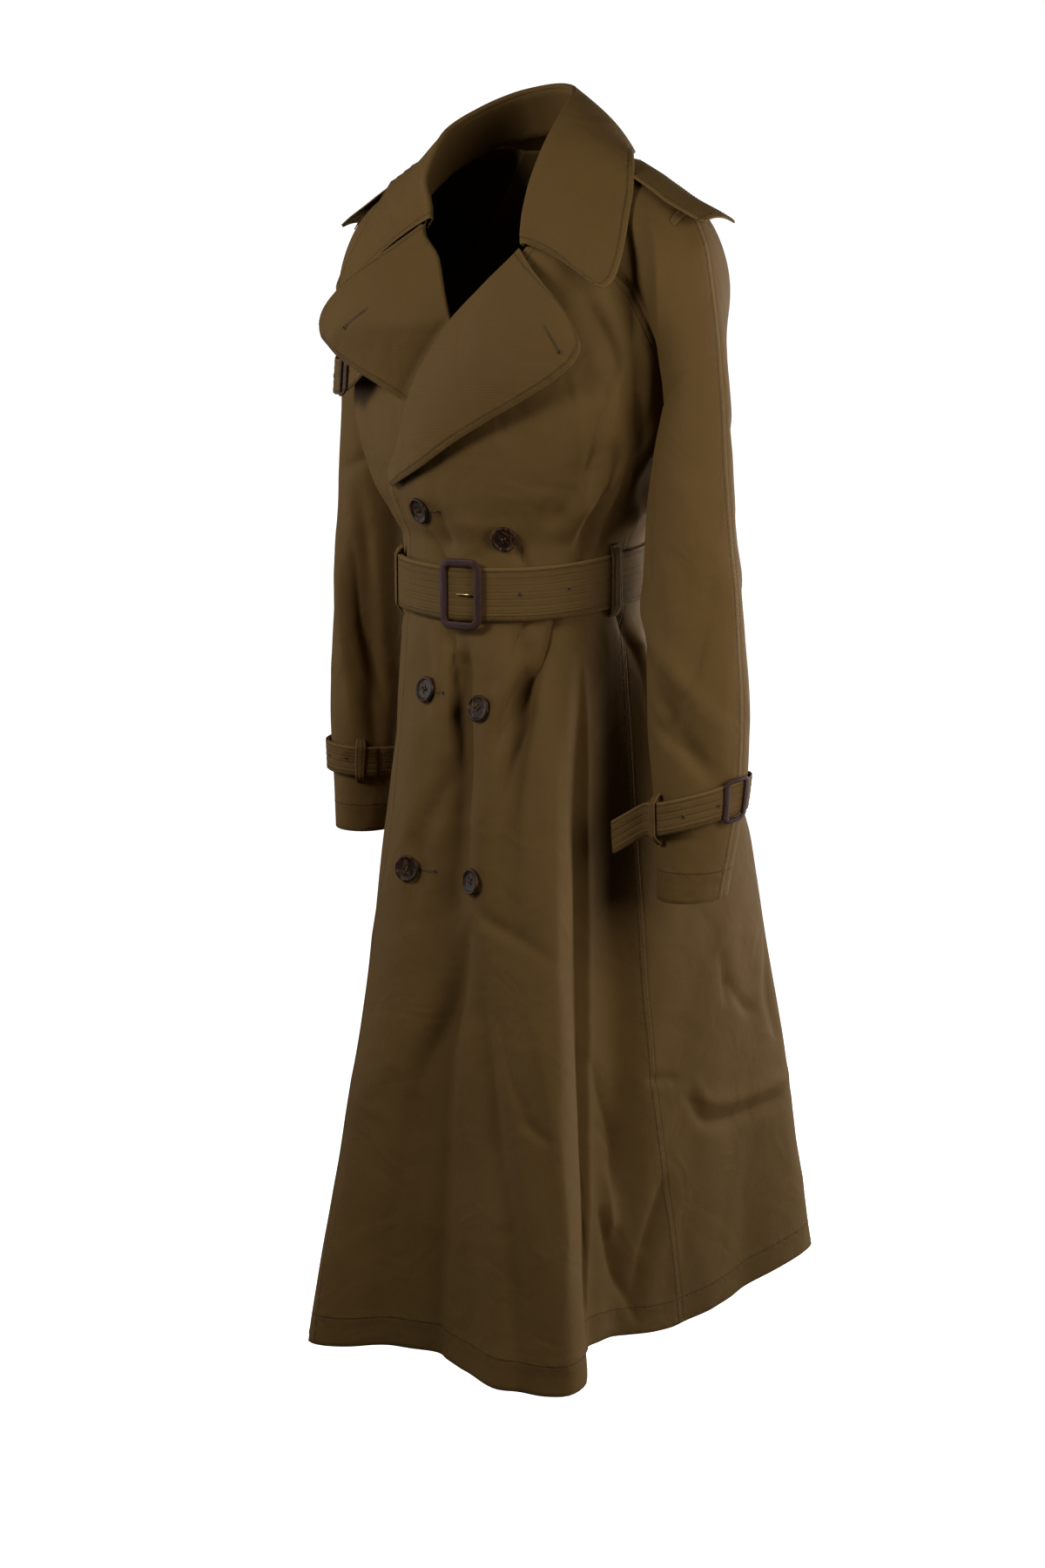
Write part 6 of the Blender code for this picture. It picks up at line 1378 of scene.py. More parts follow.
def lapel_grid(side):
    """A lapel, turned out from the roll line of its front."""
    data = LEFT_LAPEL if side == "left" else RIGHT_LAPEL
    last = len(data["roll_z"]) - 1
    index = np.linspace(0, last, last * LAPEL_ROWS_PER + 1)
    at = {name: curve(np.arange(last + 1), values, index) for name, values in data.items()}
    border = panels["front_" + side][:, :2]
    feet = np.array([[[np.interp(z, border[:, 0, 2], border[:, col, axis]) for axis in range(3)]
                      for col in (0, 1)] for z in at["roll_z"]])
    line = unit(np.gradient(feet[:, 0], axis=0))
    t = LEAF_PARTS
    grid = []
    for k, (foot, inside) in enumerate(feet):
        along = square_to(line[k], foot - inside)
        out = np.cross(line[k], along)
        out = unit(out if np.dot(out[:2], foot[:2]) > 0 else -out)
        rolled = roll_over(foot, along, out, at["turn"][k])
        x, y, first_z = rolled[-1]
        first_angle = np.degrees(np.arctan2(x, -y))
        angles = first_angle + (at["edge_angle"][k] - first_angle) * t
        heights = first_z + (at["edge_z"][k] - first_z) * t
        start_off = np.hypot(x, y) - panel_radius(first_angle, first_z)
        offs = start_off + (at["edge_off"][k] - start_off) * smooth(t)
        offs = offs + at["lift"][k] * 4 * t * (1 - t)
        row = []
        for angle, z, off in zip(angles, heights, offs):
            if side == "right":
                # Where the outer front lies over it, the lapel stays flat between the fronts.
                clear = size_at(LEFT_EDGE, z, "angle") - 7.0 - angle
                off = min(off, -LAYER + max(clear, 0.0) * 0.0012)
            row.append(body_point(angle, z, off)[0])
        grid.append(rolled + row)
    return np.array(grid)


def collar_lines():
    """The collar's sizes, its roll line, the foot of its stand and the edge of its leaf."""
    known = np.arange(len(COLLAR["name"]))
    index = np.linspace(0, known[-1], known[-1] * COLLAR_ROWS_PER + 1)
    at = {name: curve(known, values, index) for name, values in COLLAR.items() if name != "name"}
    lines = [np.stack([at[part + axis] for axis in ("_x", "_y", "_z")], axis=-1)
             for part in ("roll", "foot", "edge")]
    return at, *lines


def stand_grid():
    """The collar stand, from its foot to the roll line."""
    _, roll, foot, _ = collar_lines()
    return np.array([foot + (roll - foot) * t for t in np.linspace(0, 1, 9)]).swapaxes(0, 1)


def leaf_grid():
    """The collar leaf, turned over from the roll line."""
    at, roll, foot, edge = collar_lines()
    line = unit(np.gradient(roll, axis=0))
    grid = []
    for k in range(len(roll)):
        along = square_to(line[k], roll[k] - foot[k])
        out = unit(np.cross(along, line[k]))
        if np.dot(out, edge[k] - foot[k]) < 0:
            out = -out
        rolled = roll_over(roll[k], along, out, at["turn"][k])
        run = edge[k] - rolled[-1]
        leave = rolled[-1] - along * 0.10 * np.linalg.norm(run) + run * 0.25 + out * at["lift"][k]
        arrive = edge[k] - run * 0.30 + out * at["flat"][k]
        grid.append(rolled + list(bezier(rolled[-1], leave, arrive, edge[k], LEAF_PARTS)))
    return np.array(grid)


print("lapel rows:", len(lapel_grid("left")), "- leaf rows:", len(leaf_grid()))

# %% [markdown]
# ## Laying cloth on cloth
# A shoulder strap lies on the sleeve, and the collar lies on the strap. Each layer is first drawn
# by its own table and then raised where it would sink into the one below. A ray cast straight
# down finds the cloth below each point, and the rise is spread smoothly to its neighbours, as
# stiff cloth bridges a step.

# %% Layers
SEAT_LOW = -0.16        # nothing is seated on the cloth below this height
SEAT_GAP = 0.0026       # between the middles of two layers on the shoulder
LEAF_GAP = 0.0034       # the same under the collar leaf


def tree_of(some):
    """A search tree of the cells of several grids."""
    points, cells = [], []
    for grid in some:
        cells += (grid_cells(*grid.shape[:2]) + len(points)).tolist()
        points += grid.reshape(-1, 3).tolist()
    return BVHTree.FromPolygons(points, cells)


def spread(rise, times=40):
    """A rise that is nowhere less than the one given and falls away smoothly."""
    wide = rise.copy()
    for _ in range(times):
        padded = np.pad(wide, 1, mode="edge")
        beside = (padded[:-2, 1:-1], padded[2:, 1:-1], padded[1:-1, :-2], padded[1:-1, 2:])
        wide = np.maximum(rise, sum(beside) / 4)
    return wide


def seat(grid, tree, gap, first_col=0):
    """Raises a grid so that it lies at least gap above what is in the tree."""
    grid = grid.copy()
    rise = np.zeros(grid.shape[:2])
    for i in range(grid.shape[0]):
        for j in range(first_col, grid.shape[1]):
            x, y, z = grid[i, j]
            hit, normal, _, _ = tree.ray_cast(Vector((x, y, 0.4)), Vector((0, 0, -1)))
            if hit is not None and hit.z > SEAT_LOW:
                rise[i, j] = max(0.0, hit.z + gap / max(abs(normal.z), 0.25) - z)
    grid[:, first_col:, 2] += spread(rise[:, first_col:])
    return grid


shoulders = list(panels.values())
print("points under the shoulder layers:", sum(grid.shape[0] * grid.shape[1] for grid in shoulders))

# %% [markdown]
# ## Shoulder straps
# A shoulder strap is a doubled strip that comes out from under the collar and lies over a narrow
# loop on the shoulder. Laid by eye it would sink into the sleeve, so it is swept along a short
# table of stations and then lifted until it clears all below it. The loop is made first.

# %% Shoulder straps and their loops
# Stations of a shoulder strap from under the collar to its free end: the middle line and
# the half width, with how far the edges droop.
EPAULETTE_SIZES = "along middle_x_mm middle_y_mm middle_z_mm half_mm droop_mm"
LEFT_EPAULETTE = table(
    EPAULETTE_SIZES,
    (0, 134, 4, 21.5, 25, 4),
    (1, 150, 3, 13.5, 26, 5),
    (2, 180, 2, -1, 28, 6),
    (3, 208, 0, -15.5, 30, 7),
    (4, 234, -1, -27, 31, 7),
    (5, 245, -1, -33, 30, 6),
    (6, 249, -1, -36, 26, 5),
)
RIGHT_EPAULETTE = table(
    EPAULETTE_SIZES,
    (0, -134, 6, 21.5, 25, 4),
    (1, -150, 7, 13.5, 26, 5),
    (2, -180, 9, -1, 28, 6),
    (3, -208, 11, -15.5, 30, 7),
    (4, -230, 13, -27, 31, 7),
    (5, -241, 14, -34, 30, 6),
    (6, -245, 15, -37, 26, 5),
)

STRAP_THICK = 0.0018
STRAP_LOOP_THICK = 0.0012
STRAP_LOOP_HALF = 0.036     # from the overarm seam to each end of the loop
STRAP_STITCH = 0.006


def epaulette_grid(side, count=57, cols=21):
    """A shoulder strap, from under the collar to its rounded free end."""
    data = LEFT_EPAULETTE if side == "left" else RIGHT_EPAULETTE
    across = np.linspace(-1, 1, cols)
    grid = []
    for step in np.linspace(0, 6, count):
        x, y, z, half, droop = columns_at(data, step, *list(data)[1:])
        grid.append(np.stack([np.full(cols, x), y + half * across, z - droop * across ** 2], -1))
    return np.array(grid)


def shoulder_loop_grid(side, step=3.0, cols=25):
    """The short loop on the shoulder, under the strap."""
    grid = []
    for at in np.linspace(step - 0.10, step + 0.10, 5):
        near = (at - 0.05, at, at + 0.05)
        front = sleeve_grid(side, "front", near, cols=33)
        back = sleeve_grid(side, "back", near, cols=33)
        line = np.concatenate([front[1], back[1, ::-1][1:]])
        normals = np.concatenate([grid_normals(front)[1], grid_normals(back)[1, ::-1][1:]])
        normals = normals * np.sign(normals[:, 2:3] + 1e-9)
        length = np.concatenate([[0.0], np.cumsum(np.linalg.norm(np.diff(line, axis=0), axis=1))])
        spots = length[32] + np.linspace(-STRAP_LOOP_HALF, STRAP_LOOP_HALF, cols)
        high = CLOTH / 2 + 0.0011 + 0.0008 * np.sin(np.pi * np.linspace(0, 1, cols))
        raised = [(spot, line + normals * rise) for spot, rise in zip(spots, high)]
        grid.append([[np.interp(spot, length, over[:, axis]) for axis in range(3)]
                     for spot, over in raised])
    return np.array(grid)


def rows_at(inset, *borders):
    """A row of stitching at one inset from each of these borders."""
    return [(border, inset) for border in borders]


straps = []
for side in SIDES:
    loop = shoulder_loop_grid(side)
    cloth("epaulette_loop_" + side, loop, [cloth_look], thickness=STRAP_LOOP_THICK,
          edges=["start", "end"])
    strap = seat(epaulette_grid(side), tree_of(shoulders + [loop]), SEAT_GAP)
    cloth("epaulette_" + side, strap, [cloth_look], thickness=STRAP_THICK,
          rows=rows_at(STRAP_STITCH, "first", "last", "end"), edges=["first", "last", "end"])
    straps.append(strap)
print("strap areas:", [round(flat_area(strap), 4) for strap in straps])

# %% [markdown]
# ## Lapels, leaf and stand
# The turned pieces are made in the order in which they lie, so that each can rest on the one
# below: the lapels on the fronts, then the leaf over the shoulder straps. Their free edges get
# a row of topstitching, as a tailor sews it to keep a turned edge flat.

# %% Lapels, leaf and stand
EDGE_STITCH = 0.006     # from a collar or lapel edge to its topstitching

for side in SIDES:
    cloth("lapel_" + side, lapel_grid(side), [cloth_look],
          rows=rows_at(EDGE_STITCH, "last", "start"), edges=["last", "start"])
leaf = seat(leaf_grid(), tree_of(shoulders + straps), LEAF_GAP, len(TURN_ANGLES))
cloth("collar_leaf", leaf, [cloth_look],
      rows=rows_at(EDGE_STITCH, "last", "start", "end"), edges=["last", "start", "end"])
cloth("collar_stand", stand_grid(), [cloth_look])
print("leaf area:", round(flat_area(leaf), 4))

# %% [markdown]
# ## The belt
# The belt is a long strap of doubled gabardine, stiffened by rows of stitching along its length.
# It goes once round the waist from its buckle and its tail then passes through the buckle and
# over the first turn. One spiral strip makes both: its radius grows a little where the tail climbs
# on to the inner turn.

# %% Belt
# Middle height of the belt round the waist, and how far it stands off the cloth.
BELT_LINE = table(
    "angle middle_mm",
    (-180, -394), (-100, -402), (-45, -413), (0, -415), (40, -412), (62, -407), (84, -400),
    (120, -395), (180, -394),
)
BELT_WIDTH = 0.054
BELT_THICK = 0.0022
BELT_OFF = 0.0038       # middle of the inner turn from the middle of the cloth
BELT_LAP = 0.0030       # from the inner turn to the tail that lies on it
BELT_START = -8.0       # end of the inner turn, behind the buckle
BELT_RISE = (30.0, 0.0)   # the strap climbs on to the inner turn between these angles
BELT_TAIL = -96.0       # end of the tail, on the wearer's right
BELT_ROWS = 7           # rows of stitching along the belt
BELT_STITCH = 0.004
SEAM = 0.0003           # gap between two layers that touch


def belt_middle(angles):
    """Middle height of the belt at each angle."""
    return curve(*BELT_LINE.values(), wrapped(angles))


def belt_radius(angles):
    """Largest radius of the cloth behind the belt at each angle."""
    shares = np.linspace(-0.5, 0.5, 7)
    return np.array([max(panel_radius(angle, middle + BELT_WIDTH * share) for share in shares)
                     for angle, middle in zip(wrapped(angles), belt_middle(angles))])


def belt_point(angles, up=0.0, out=0.0):
    """Points over the waist: up from the middle of the belt, out from the cloth."""
    angles = np.atleast_1d(np.asarray(angles, float))
    return polar(belt_radius(angles) + out, angles, belt_middle(angles) + up)


def belt_grid(step=2.0, rows=13):
    """Once round from the buckle, through it and on to the tail."""
    turns = np.arange(BELT_START, BELT_TAIL - 360 - 0.01, -step)
    first, last = BELT_RISE[0] - 360, BELT_RISE[1] - 360
    out = BELT_OFF + BELT_LAP * smooth(np.clip((first - turns) / (first - last), 0, 1))
    line = belt_point(turns, 0.0, out)
    return np.array([line + np.array([0.0, 0.0, BELT_WIDTH * share])
                     for share in np.linspace(-0.5, 0.5, rows)])


belt_line = belt_grid()
cloth("belt", belt_line, [strap_look], thickness=BELT_THICK,
      rows=rows_at(BELT_STITCH, "start", "end"), edges=["start", "end", "last"])
belt_steps = np.linalg.norm(np.diff(belt_line[6], axis=0), axis=1)
print("belt length:", round(float(belt_steps.sum()), 3), "m")

# %% [markdown]
# ## Leather-covered buckles
# A covered buckle is a metal frame wrapped in leather, so its bars are round-shouldered and it has
# no sharp corner. The frame's outline is a rounded rectangle, and a soft section is carried
# round it, bent to the curve of the body or the arm by the function that places each point.

# %% Buckle frames
def bands(count, corners, closed):
    """Faces between neighbouring sections of a ring or a rod."""
    faces = []
    for i in range(count if closed else count - 1):
        for j in range(corners):
            here, ahead, k = i * corners, (i + 1) % count * corners, (j + 1) % corners
            faces.append((here + j, here + k, ahead + k, ahead + j))
    return faces


def ring(sections):
    """Points and faces of a closed ring of closed sections."""
    return sections.reshape(-1, 3), bands(*sections.shape[:2], True)


def rod(sections):
    """Points and faces of a solid lofted through closed sections, closed at both ends."""
    count, corners = sections.shape[:2]
    ends = [tuple(range(corners))[::-1], tuple((count - 1) * corners + j for j in range(corners))]
    return sections.reshape(-1, 3), bands(count, corners, False) + ends


def solid(name, points, faces, look):
    """A smooth closed solid whose faces point outwards."""
    points = np.asarray(points, float)
    volume = 0.0
    for face in faces:
        for k in range(1, len(face) - 1):
            volume += np.dot(points[face[0]], np.cross(points[face[k]], points[face[k + 1]]))
    if volume < 0:
        faces = [tuple(reversed(face)) for face in faces]
    mesh = bpy.data.meshes.new(name)
    mesh.from_pydata(points.tolist(), [], faces)
    mesh.materials.append(look)
    mesh.polygons.foreach_set("use_smooth", np.ones(len(faces), bool))
    mesh.update()
    return put(name, mesh)


def frame_outline(width, height, corner, per_corner=8, per_side=7):
    """A rounded rectangle as (across, up) points, with the direction out of it at each."""
    points, outward = [], []
    corners = ((1, 1), (-1, 1), (-1, -1), (1, -1))
    middles = [np.array([x * (width / 2 - corner), y * (height / 2 - corner)]) for x, y in corners]
    for side, middle in enumerate(middles):
        for k in range(per_corner + 1):
            a = np.radians(90 * side + 90 * k / per_corner)
            outward.append(np.array([np.cos(a), np.sin(a)]))
            points.append(middle + corner * outward[-1])
        begin, stop = points[-1], middles[(side + 1) % 4] + corner * outward[-1]
        for t in np.linspace(0, 1, per_side + 2)[1:-1]:
            points.append(begin + (stop - begin) * t)
            outward.append(outward[-1])
    return np.array(points), np.array(outward)


def bar_section(count=14, flat=0.72):
    """Section of a covered bar, (across, up) from its middle: a flat back and a crowned face."""
    a = np.linspace(0, 2 * np.pi, count, endpoint=False)
    return [(np.sign(x) * np.abs(x) ** flat * 0.5, np.sign(y) * np.abs(y) ** flat * 0.5)
            for x, y in zip(np.cos(a), np.sin(a))]


def buckle(name, place, width, height, corner, bar, thick):
    """A covered frame, added to the coat; place(across, up, out) gives a point of it, bent."""
    line, outward = frame_outline(width - bar, height - bar, corner)
    sections = [[place(*(point + direction * bar * side), thick * up) for side, up in bar_section()]
                for point, direction in zip(line, outward)]
    coat[name] = solid(name + "_leather", *ring(np.array(sections)), leather_look)


BUCKLE_ANGLE = 7.0
BELT_BUCKLE = {"width": 0.052, "height": 0.074, "corner": 0.009, "bar": 0.0085, "thick": 0.0040}
BUCKLE_OFF = BELT_OFF + BELT_LAP + BELT_THICK / 2 + SEAM + BELT_BUCKLE["thick"] / 2
PRONG_WIDTH = 0.0022
PRONG_THICK = 0.0020
WAIST_RADIUS = 0.122


def buckle_place(across, up, out):
    angle = BUCKLE_ANGLE + np.degrees(across / WAIST_RADIUS)
    return belt_point(angle, up, BUCKLE_OFF + out)[0]


buckle("belt_buckle", buckle_place, **BELT_BUCKLE)
bar_side = BELT_BUCKLE["width"] / 2 - BELT_BUCKLE["bar"]
prong = []
for back, thin in ((0.022, 0.35), (0.020, 1.0), (0.010, 1.0), (-0.001, 1.0)):
    prong.append([
        buckle_place(bar_side - back, PRONG_WIDTH / 2 * thin * np.cos(a),
                     PRONG_THICK / 2 * thin * np.sin(a) - 0.0004)
        for a in np.radians(np.arange(0, 360, 30))])
coat["buckle_prong"] = solid("buckle_prong_brass", *rod(np.array(prong)), brass_look)
print("buckle faces:", len(coat["belt_buckle"].data.polygons))

# %% [markdown]
# ## Carrier loops
# Narrow loops of cloth, sewn above and below the belt, carry it. Each is a short band that steps
# up from the coat, passes over the belt and steps down again.

# %% Belt loops
BELT_LOOPS = (
    # name, angle, layers of belt that it spans
    ("belt_loop_left_side", 82.0, 1),
    ("belt_loop_right_front", -52.0, 2),
    ("belt_loop_back_left", 150.0, 1),
    ("belt_loop_back_right", -150.0, 1),
)
LOOP_WIDTH = 0.011
LOOP_RADIUS = 0.125     # of the waist under the loops
LOOP_THICK = 0.0014
LOOP_SEAT = CLOTH / 2 + SEAM + LOOP_THICK / 2 + 0.0006
LOOP_OVER = 0.0009      # gap between the belt and the loop
LOOP_STITCH = 0.0018


def hump(foot, shoulder, top, low, over, fine):
    """(up, out) of a loop's middle line; its first three values are heights of the way up."""
    side = ((foot, low), (shoulder, over * 0.75), (top, over))
    path = side + ((0.0, over),) + tuple((-up, out) for up, out in side[::-1])
    known = np.arange(len(path))
    spots = np.linspace(0, known[-1], known[-1] * fine + 1)
    ups, outs = zip(*path)
    return list(zip(np.interp(spots, known, ups), curve(known, outs, spots)))


def loop_grid(angle, layers):
    """A carrier loop, down over the belt and back on to the cloth."""
    over = BELT_OFF + BELT_LAP * (layers - 1) + BELT_THICK / 2 + LOOP_OVER + LOOP_THICK / 2
    half = BELT_WIDTH / 2
    turn = np.degrees(LOOP_WIDTH / 2 / LOOP_RADIUS)
    grid = []
    for up, out in hump(foot=half + 0.010, shoulder=half + 0.0035, top=half - 0.002, low=0.0,
                        over=over, fine=6):
        row = []
        for share in np.linspace(-1, 1, 7):
            side = angle + turn * share
            z = float(belt_middle(side)) + up
            least = panel_radius(float(wrapped(side)), z) + LOOP_SEAT
            radius = max(float(belt_radius([side])[0]) + out, least) + 0.0002 * (1 - share ** 2)
            row.append(polar(radius, side, z))
        grid.append(row)
    return np.array(grid)


for name, angle, layers in BELT_LOOPS:
    cloth(name, loop_grid(angle, layers), [cloth_look], thickness=LOOP_THICK,
          rows=rows_at(LOOP_STITCH, "first", "last"), edges=["first", "last"])
print("belt loops:", len(BELT_LOOPS))

# %% [markdown]
# ## Horn buttons
# A coat button is turned on a lathe: a flat back, a rounded rim and a dish with four holes. The
# profile is swept round once, the holes are cut with a boolean, and each button then gets
# its own copy, laid on the cloth where the button table puts it.

# %% Buttons
BUTTONS = (
    # name, angle, height
    ("button_top_right", -17.6, -0.331),
    ("button_top_left", 30.4, -0.354),
    ("button_middle_right", -12.0, -0.519),
    ("button_middle_left", 19.7, -0.531),
    ("button_low_right", -10.5, -0.706),
    ("button_low_left", 20.0, -0.709),
)

# Radius and height of the button's outline, from the middle of its back to the middle of its dish.
BUTTON_PROFILE = table(
    "radius_mm height_mm",
    (0, 0), (6, 0), (11, 0), (12.6, 0.4), (13.5, 1), (13.9, 1.8), (14, 2.7), (13.8, 3.4),
    (13.4, 3.9), (12.8, 4.2), (12.1, 4.2), (11.4, 4), (10.8, 3.6), (10.4, 3.1), (10, 2.8),
    (8.5, 2.6), (6, 2.5), (3, 2.5), (0, 2.5),
)
BUTTON_SIDES = 64
HOLE_RADIUS = 0.00115
HOLE_OFF = 0.0022 * 0.72   # across and up from the middle of the button to each hole
BUTTON_SEAT = 0.0125    # radius at which a button touches the cloth


def button_blank():
    """The turned button with its four holes cut, face up at the origin."""
    profile = list(zip(*BUTTON_PROFILE.values()))
    around = np.linspace(0, 2 * np.pi, BUTTON_SIDES, endpoint=False)
    points = [(0.0, 0.0, profile[0][1])]
    for radius, height in profile[1:-1]:
        points += [(radius * math.cos(t), radius * math.sin(t), height) for t in around]
    points.append((0.0, 0.0, profile[-1][1]))
    faces = [(0, 1 + (j + 1) % BUTTON_SIDES, 1 + j) for j in range(BUTTON_SIDES)]
    for i in range(len(profile) - 3):
        for j in range(BUTTON_SIDES):
            p, q = 1 + i * BUTTON_SIDES + j, 1 + i * BUTTON_SIDES + (j + 1) % BUTTON_SIDES
            faces.append((p, q, q + BUTTON_SIDES, p + BUTTON_SIDES))
    last, tip = 1 + (len(profile) - 3) * BUTTON_SIDES, len(points) - 1
    faces += [(last + j, last + (j + 1) % BUTTON_SIDES, tip) for j in range(BUTTON_SIDES)]
    blank = solid("button_blank", points, faces, horn_look)
    drills = []
    turns = np.linspace(0, 2 * np.pi, 16, endpoint=False)
    round_hole = HOLE_RADIUS * np.stack([np.cos(turns), np.sin(turns)], axis=-1)
    for corner in ((1, 1), (-1, 1), (-1, -1), (1, -1)):
        outline = np.array(corner) * HOLE_OFF + round_hole
        ends = [[(*point, height) for point in outline] for height in (-0.001, 0.006)]
        drills.append(solid("drill", *rod(np.array(ends)), horn_look))
        cut = blank.modifiers.new("hole", "BOOLEAN")
        cut.operation = "DIFFERENCE"
        cut.solver = "EXACT"
        cut.object = drills[-1]
    seen = blank.evaluated_get(bpy.context.evaluated_depsgraph_get())
    mesh = bpy.data.meshes.new_from_object(seen)
    for done in drills + [blank]:
        bpy.data.objects.remove(done)
    return mesh


def face_at(tree, turn, z):
    """Point and normal of the cloth, seen from outside at an angle in radians and a height."""
    way = Vector((math.sin(turn), -math.cos(turn), 0.0))
    point, normal, _, _ = tree.ray_cast(Vector((0, 0, z)) + way * 0.6, -way)
    return np.array(point), np.array(normal if normal.dot(way) > 0 else -normal)


def cloth_frame(tree, angle, z, radius):
    """Centre, normal and directions across and up of a disc that lies on the cloth."""
    point, normal = face_at(tree, math.radians(angle), z)
    across = unit(np.cross(np.array([0.0, 0.0, 1.0]), normal))
    up = unit(np.cross(normal, across))
    rise = 0.0
    for t in np.radians(np.arange(0, 360, 15)):
        rim = point + radius * (np.cos(t) * across + np.sin(t) * up)
        under, _ = face_at(tree, math.atan2(rim[0], -rim[1]), rim[2])
        rise = max(rise, float(np.dot(under - rim, normal)))
    return point + normal * (CLOTH / 2 + 0.0002 + rise), normal, across, up


def tube(name, line, radius, look, sides):
    """A round thread along a line of points."""
    line = np.asarray(line, float)
    tangent = unit(np.gradient(line, axis=0))
    helper = np.array([0.0, 0.0, 1.0]) if abs(tangent[0][2]) < 0.9 else np.array([1.0, 0.0, 0.0])
    first = unit(np.cross(tangent, helper))
    second = np.cross(tangent, first)
    around = np.linspace(0, 2 * np.pi, sides, endpoint=False)
    sections = [[p + radius * (math.cos(t) * u + math.sin(t) * v) for t in around]
                for p, u, v in zip(line, first, second)]
    return solid(name, *rod(np.array(sections)), look)


front_tree = tree_of([panels["front_left"]])
blank = button_blank()
button_frames = {}
for number, (name, angle, z) in enumerate(BUTTONS):
    centre, normal, across, up = cloth_frame(front_tree, angle, z, BUTTON_SEAT)
    spin = math.radians(17.0 * number)
    across, up = (across * math.cos(spin) + up * math.sin(spin),
                  up * math.cos(spin) - across * math.sin(spin))
    mesh = blank.copy()
    mesh.name = name + "_horn"
    flat = np.zeros(len(mesh.vertices) * 3)
    mesh.vertices.foreach_get("co", flat)
    flat = flat.reshape(-1, 3)
    placed = centre + flat[:, :1] * across + flat[:, 1:2] * up + flat[:, 2:] * normal
    mesh.vertices.foreach_set("co", placed.ravel())
    mesh.update()
    coat[name] = put(name + "_horn", mesh)
    button_frames[name] = (centre, normal, across, up)
print("button faces:", len(blank.polygons))

# %% [markdown]
# ## Thread in the buttons
# A button with four holes is sewn on with pairs of strands that bow over the horn between two
# holes. A texture could only draw them flat, so each strand is a thin tube along an arc, and the
# strands of a pair lie side by side.

# %% Thread in the buttons
THREAD_RADIUS = 0.00038
STRAND_OFF = 0.00035    # from the middle of a hole to each of the two strands in it
STRAND_REACH = 1.02     # half length of a strand, as a share of the way from the centre to a hole
STRAND_LOW = 0.0014     # height of a strand's ends, along the button's axis
STRAND_BOW = 0.0021     # how far its middle stands above its ends

for name, (centre, normal, across, up) in button_frames.items():
    for pair in (1, -1):
        for strand in (-STRAND_OFF, STRAND_OFF):
            line = [centre + across * (pair * HOLE_OFF + strand)
                    + up * HOLE_OFF * (1 - 2 * t) * STRAND_REACH
                    + normal * (STRAND_LOW + STRAND_BOW * math.sin(math.pi * t) ** 0.5)
                    for t in np.linspace(0, 1, 9)]
            label = name + "_thread_" + ("a" if pair > 0 else "b") + ("a" if strand > 0 else "b")
            coat[label] = tube(label, line, THREAD_RADIUS, buttonhole_look, sides=6)
print("threads:", sum("thread" in name for name in coat))

# %% [markdown]
# ## Cuff straps
# A strap round each cuff lets it be drawn in. It starts at its buckle, goes round the sleeve,
# passes back under the buckle and ends in a tail. The sleeve's own sections near the cuff carry it,
# moved out by the thickness of what lies below.

# %% Cuff straps
CUFF_STRAP_WIDTH = 0.033
CUFF_STRAP_OFF = 0.0042     # middle of the inner turn from the middle of the sleeve cloth
CUFF_STRAP_LAP = 0.0026
CUFF_STRAP_THICK = 0.0016
CUFF_OVER = CUFF_STRAP_OFF + CUFF_STRAP_LAP + CUFF_STRAP_THICK / 2 + 0.0020  # buckle and loop
CUFF_BUCKLE = {"width": 0.023, "height": 0.045, "corner": 0.005, "bar": 0.0046, "thick": 0.0028}
CUFF_LOOP_THICK = 0.0012
STRAP_END_STITCH = 0.003
# The strap starts at its buckle, goes once round the sleeve, runs under the buckle and
# ends in a tail. Turns are counted from the underarm seam over the front: 0.5 is the
# overarm seam. After its last turn the left tail stands off the sleeve, to its tip.
CUFF_STRAPS = (
    # side, turn of buckle and of tail, x, y, z of the tip, height in front, over, behind, under
    ("left", 0.475, 0.13, -0.040, -0.006, -0.024, -0.624, -0.603, -0.612, -0.632),
    ("right", 0.56, 0.10, 0.000, 0.000, 0.000, -0.640, -0.638, -0.642, -0.642),
)
CUFF_RING = 64          # points round a closed sleeve section
CUFF_ROUND = 0.30       # length once round the cuff
CUFF_TUBE_STEPS = np.linspace(12.0, 14.0, 17)


def cuff_rings(side):
    """Closed sleeve sections near the cuff, each point by its share of the way round."""
    front = sleeve_grid(side, "front", CUFF_TUBE_STEPS, CUFF_RING // 2 + 1)
    back = sleeve_grid(side, "back", CUFF_TUBE_STEPS, CUFF_RING // 2 + 1)
    return np.concatenate([front, back[:, ::-1][:, 1:]], axis=1)


def cuff_point(rings, turn, z, out):
    """A point beside the sleeve at one share of the way round and one height."""
    place = (turn % 1.0) * CUFF_RING
    ring_points = []
    for shift in (-1.0, 0.0, 1.0):
        spot = (place + shift) % CUFF_RING
        low = int(np.floor(spot)) % CUFF_RING
        share = spot - np.floor(spot)
        line = rings[:, low] * (1 - share) + rings[:, low + 1] * share
        line = line[np.argsort(line[:, 2])]
        ring_points.append(np.array([np.interp(z, line[:, 2], line[:, i]) for i in range(3)]))
    before, here, after = ring_points
    tangent = unit(after - before)
    outward = np.cross(tangent, np.array([0.0, 0.0, 1.0]))
    middle = rings[len(rings) // 2, :CUFF_RING].mean(axis=0)
    if np.dot(outward[:2], (here - middle)[:2]) < 0:
        outward = -outward
    return here + outward * out


def cuff_strap_z(row, turn):
    """Middle height of a cuff strap at one share of the way round."""
    front_z, over_z, back_z, under_z = row[6:]
    around = 2 * np.pi * turn
    return ((front_z + over_z + back_z + under_z) / 4
            + (under_z - over_z) / 2 * np.cos(around) + (front_z - back_z) / 2 * np.sin(around))


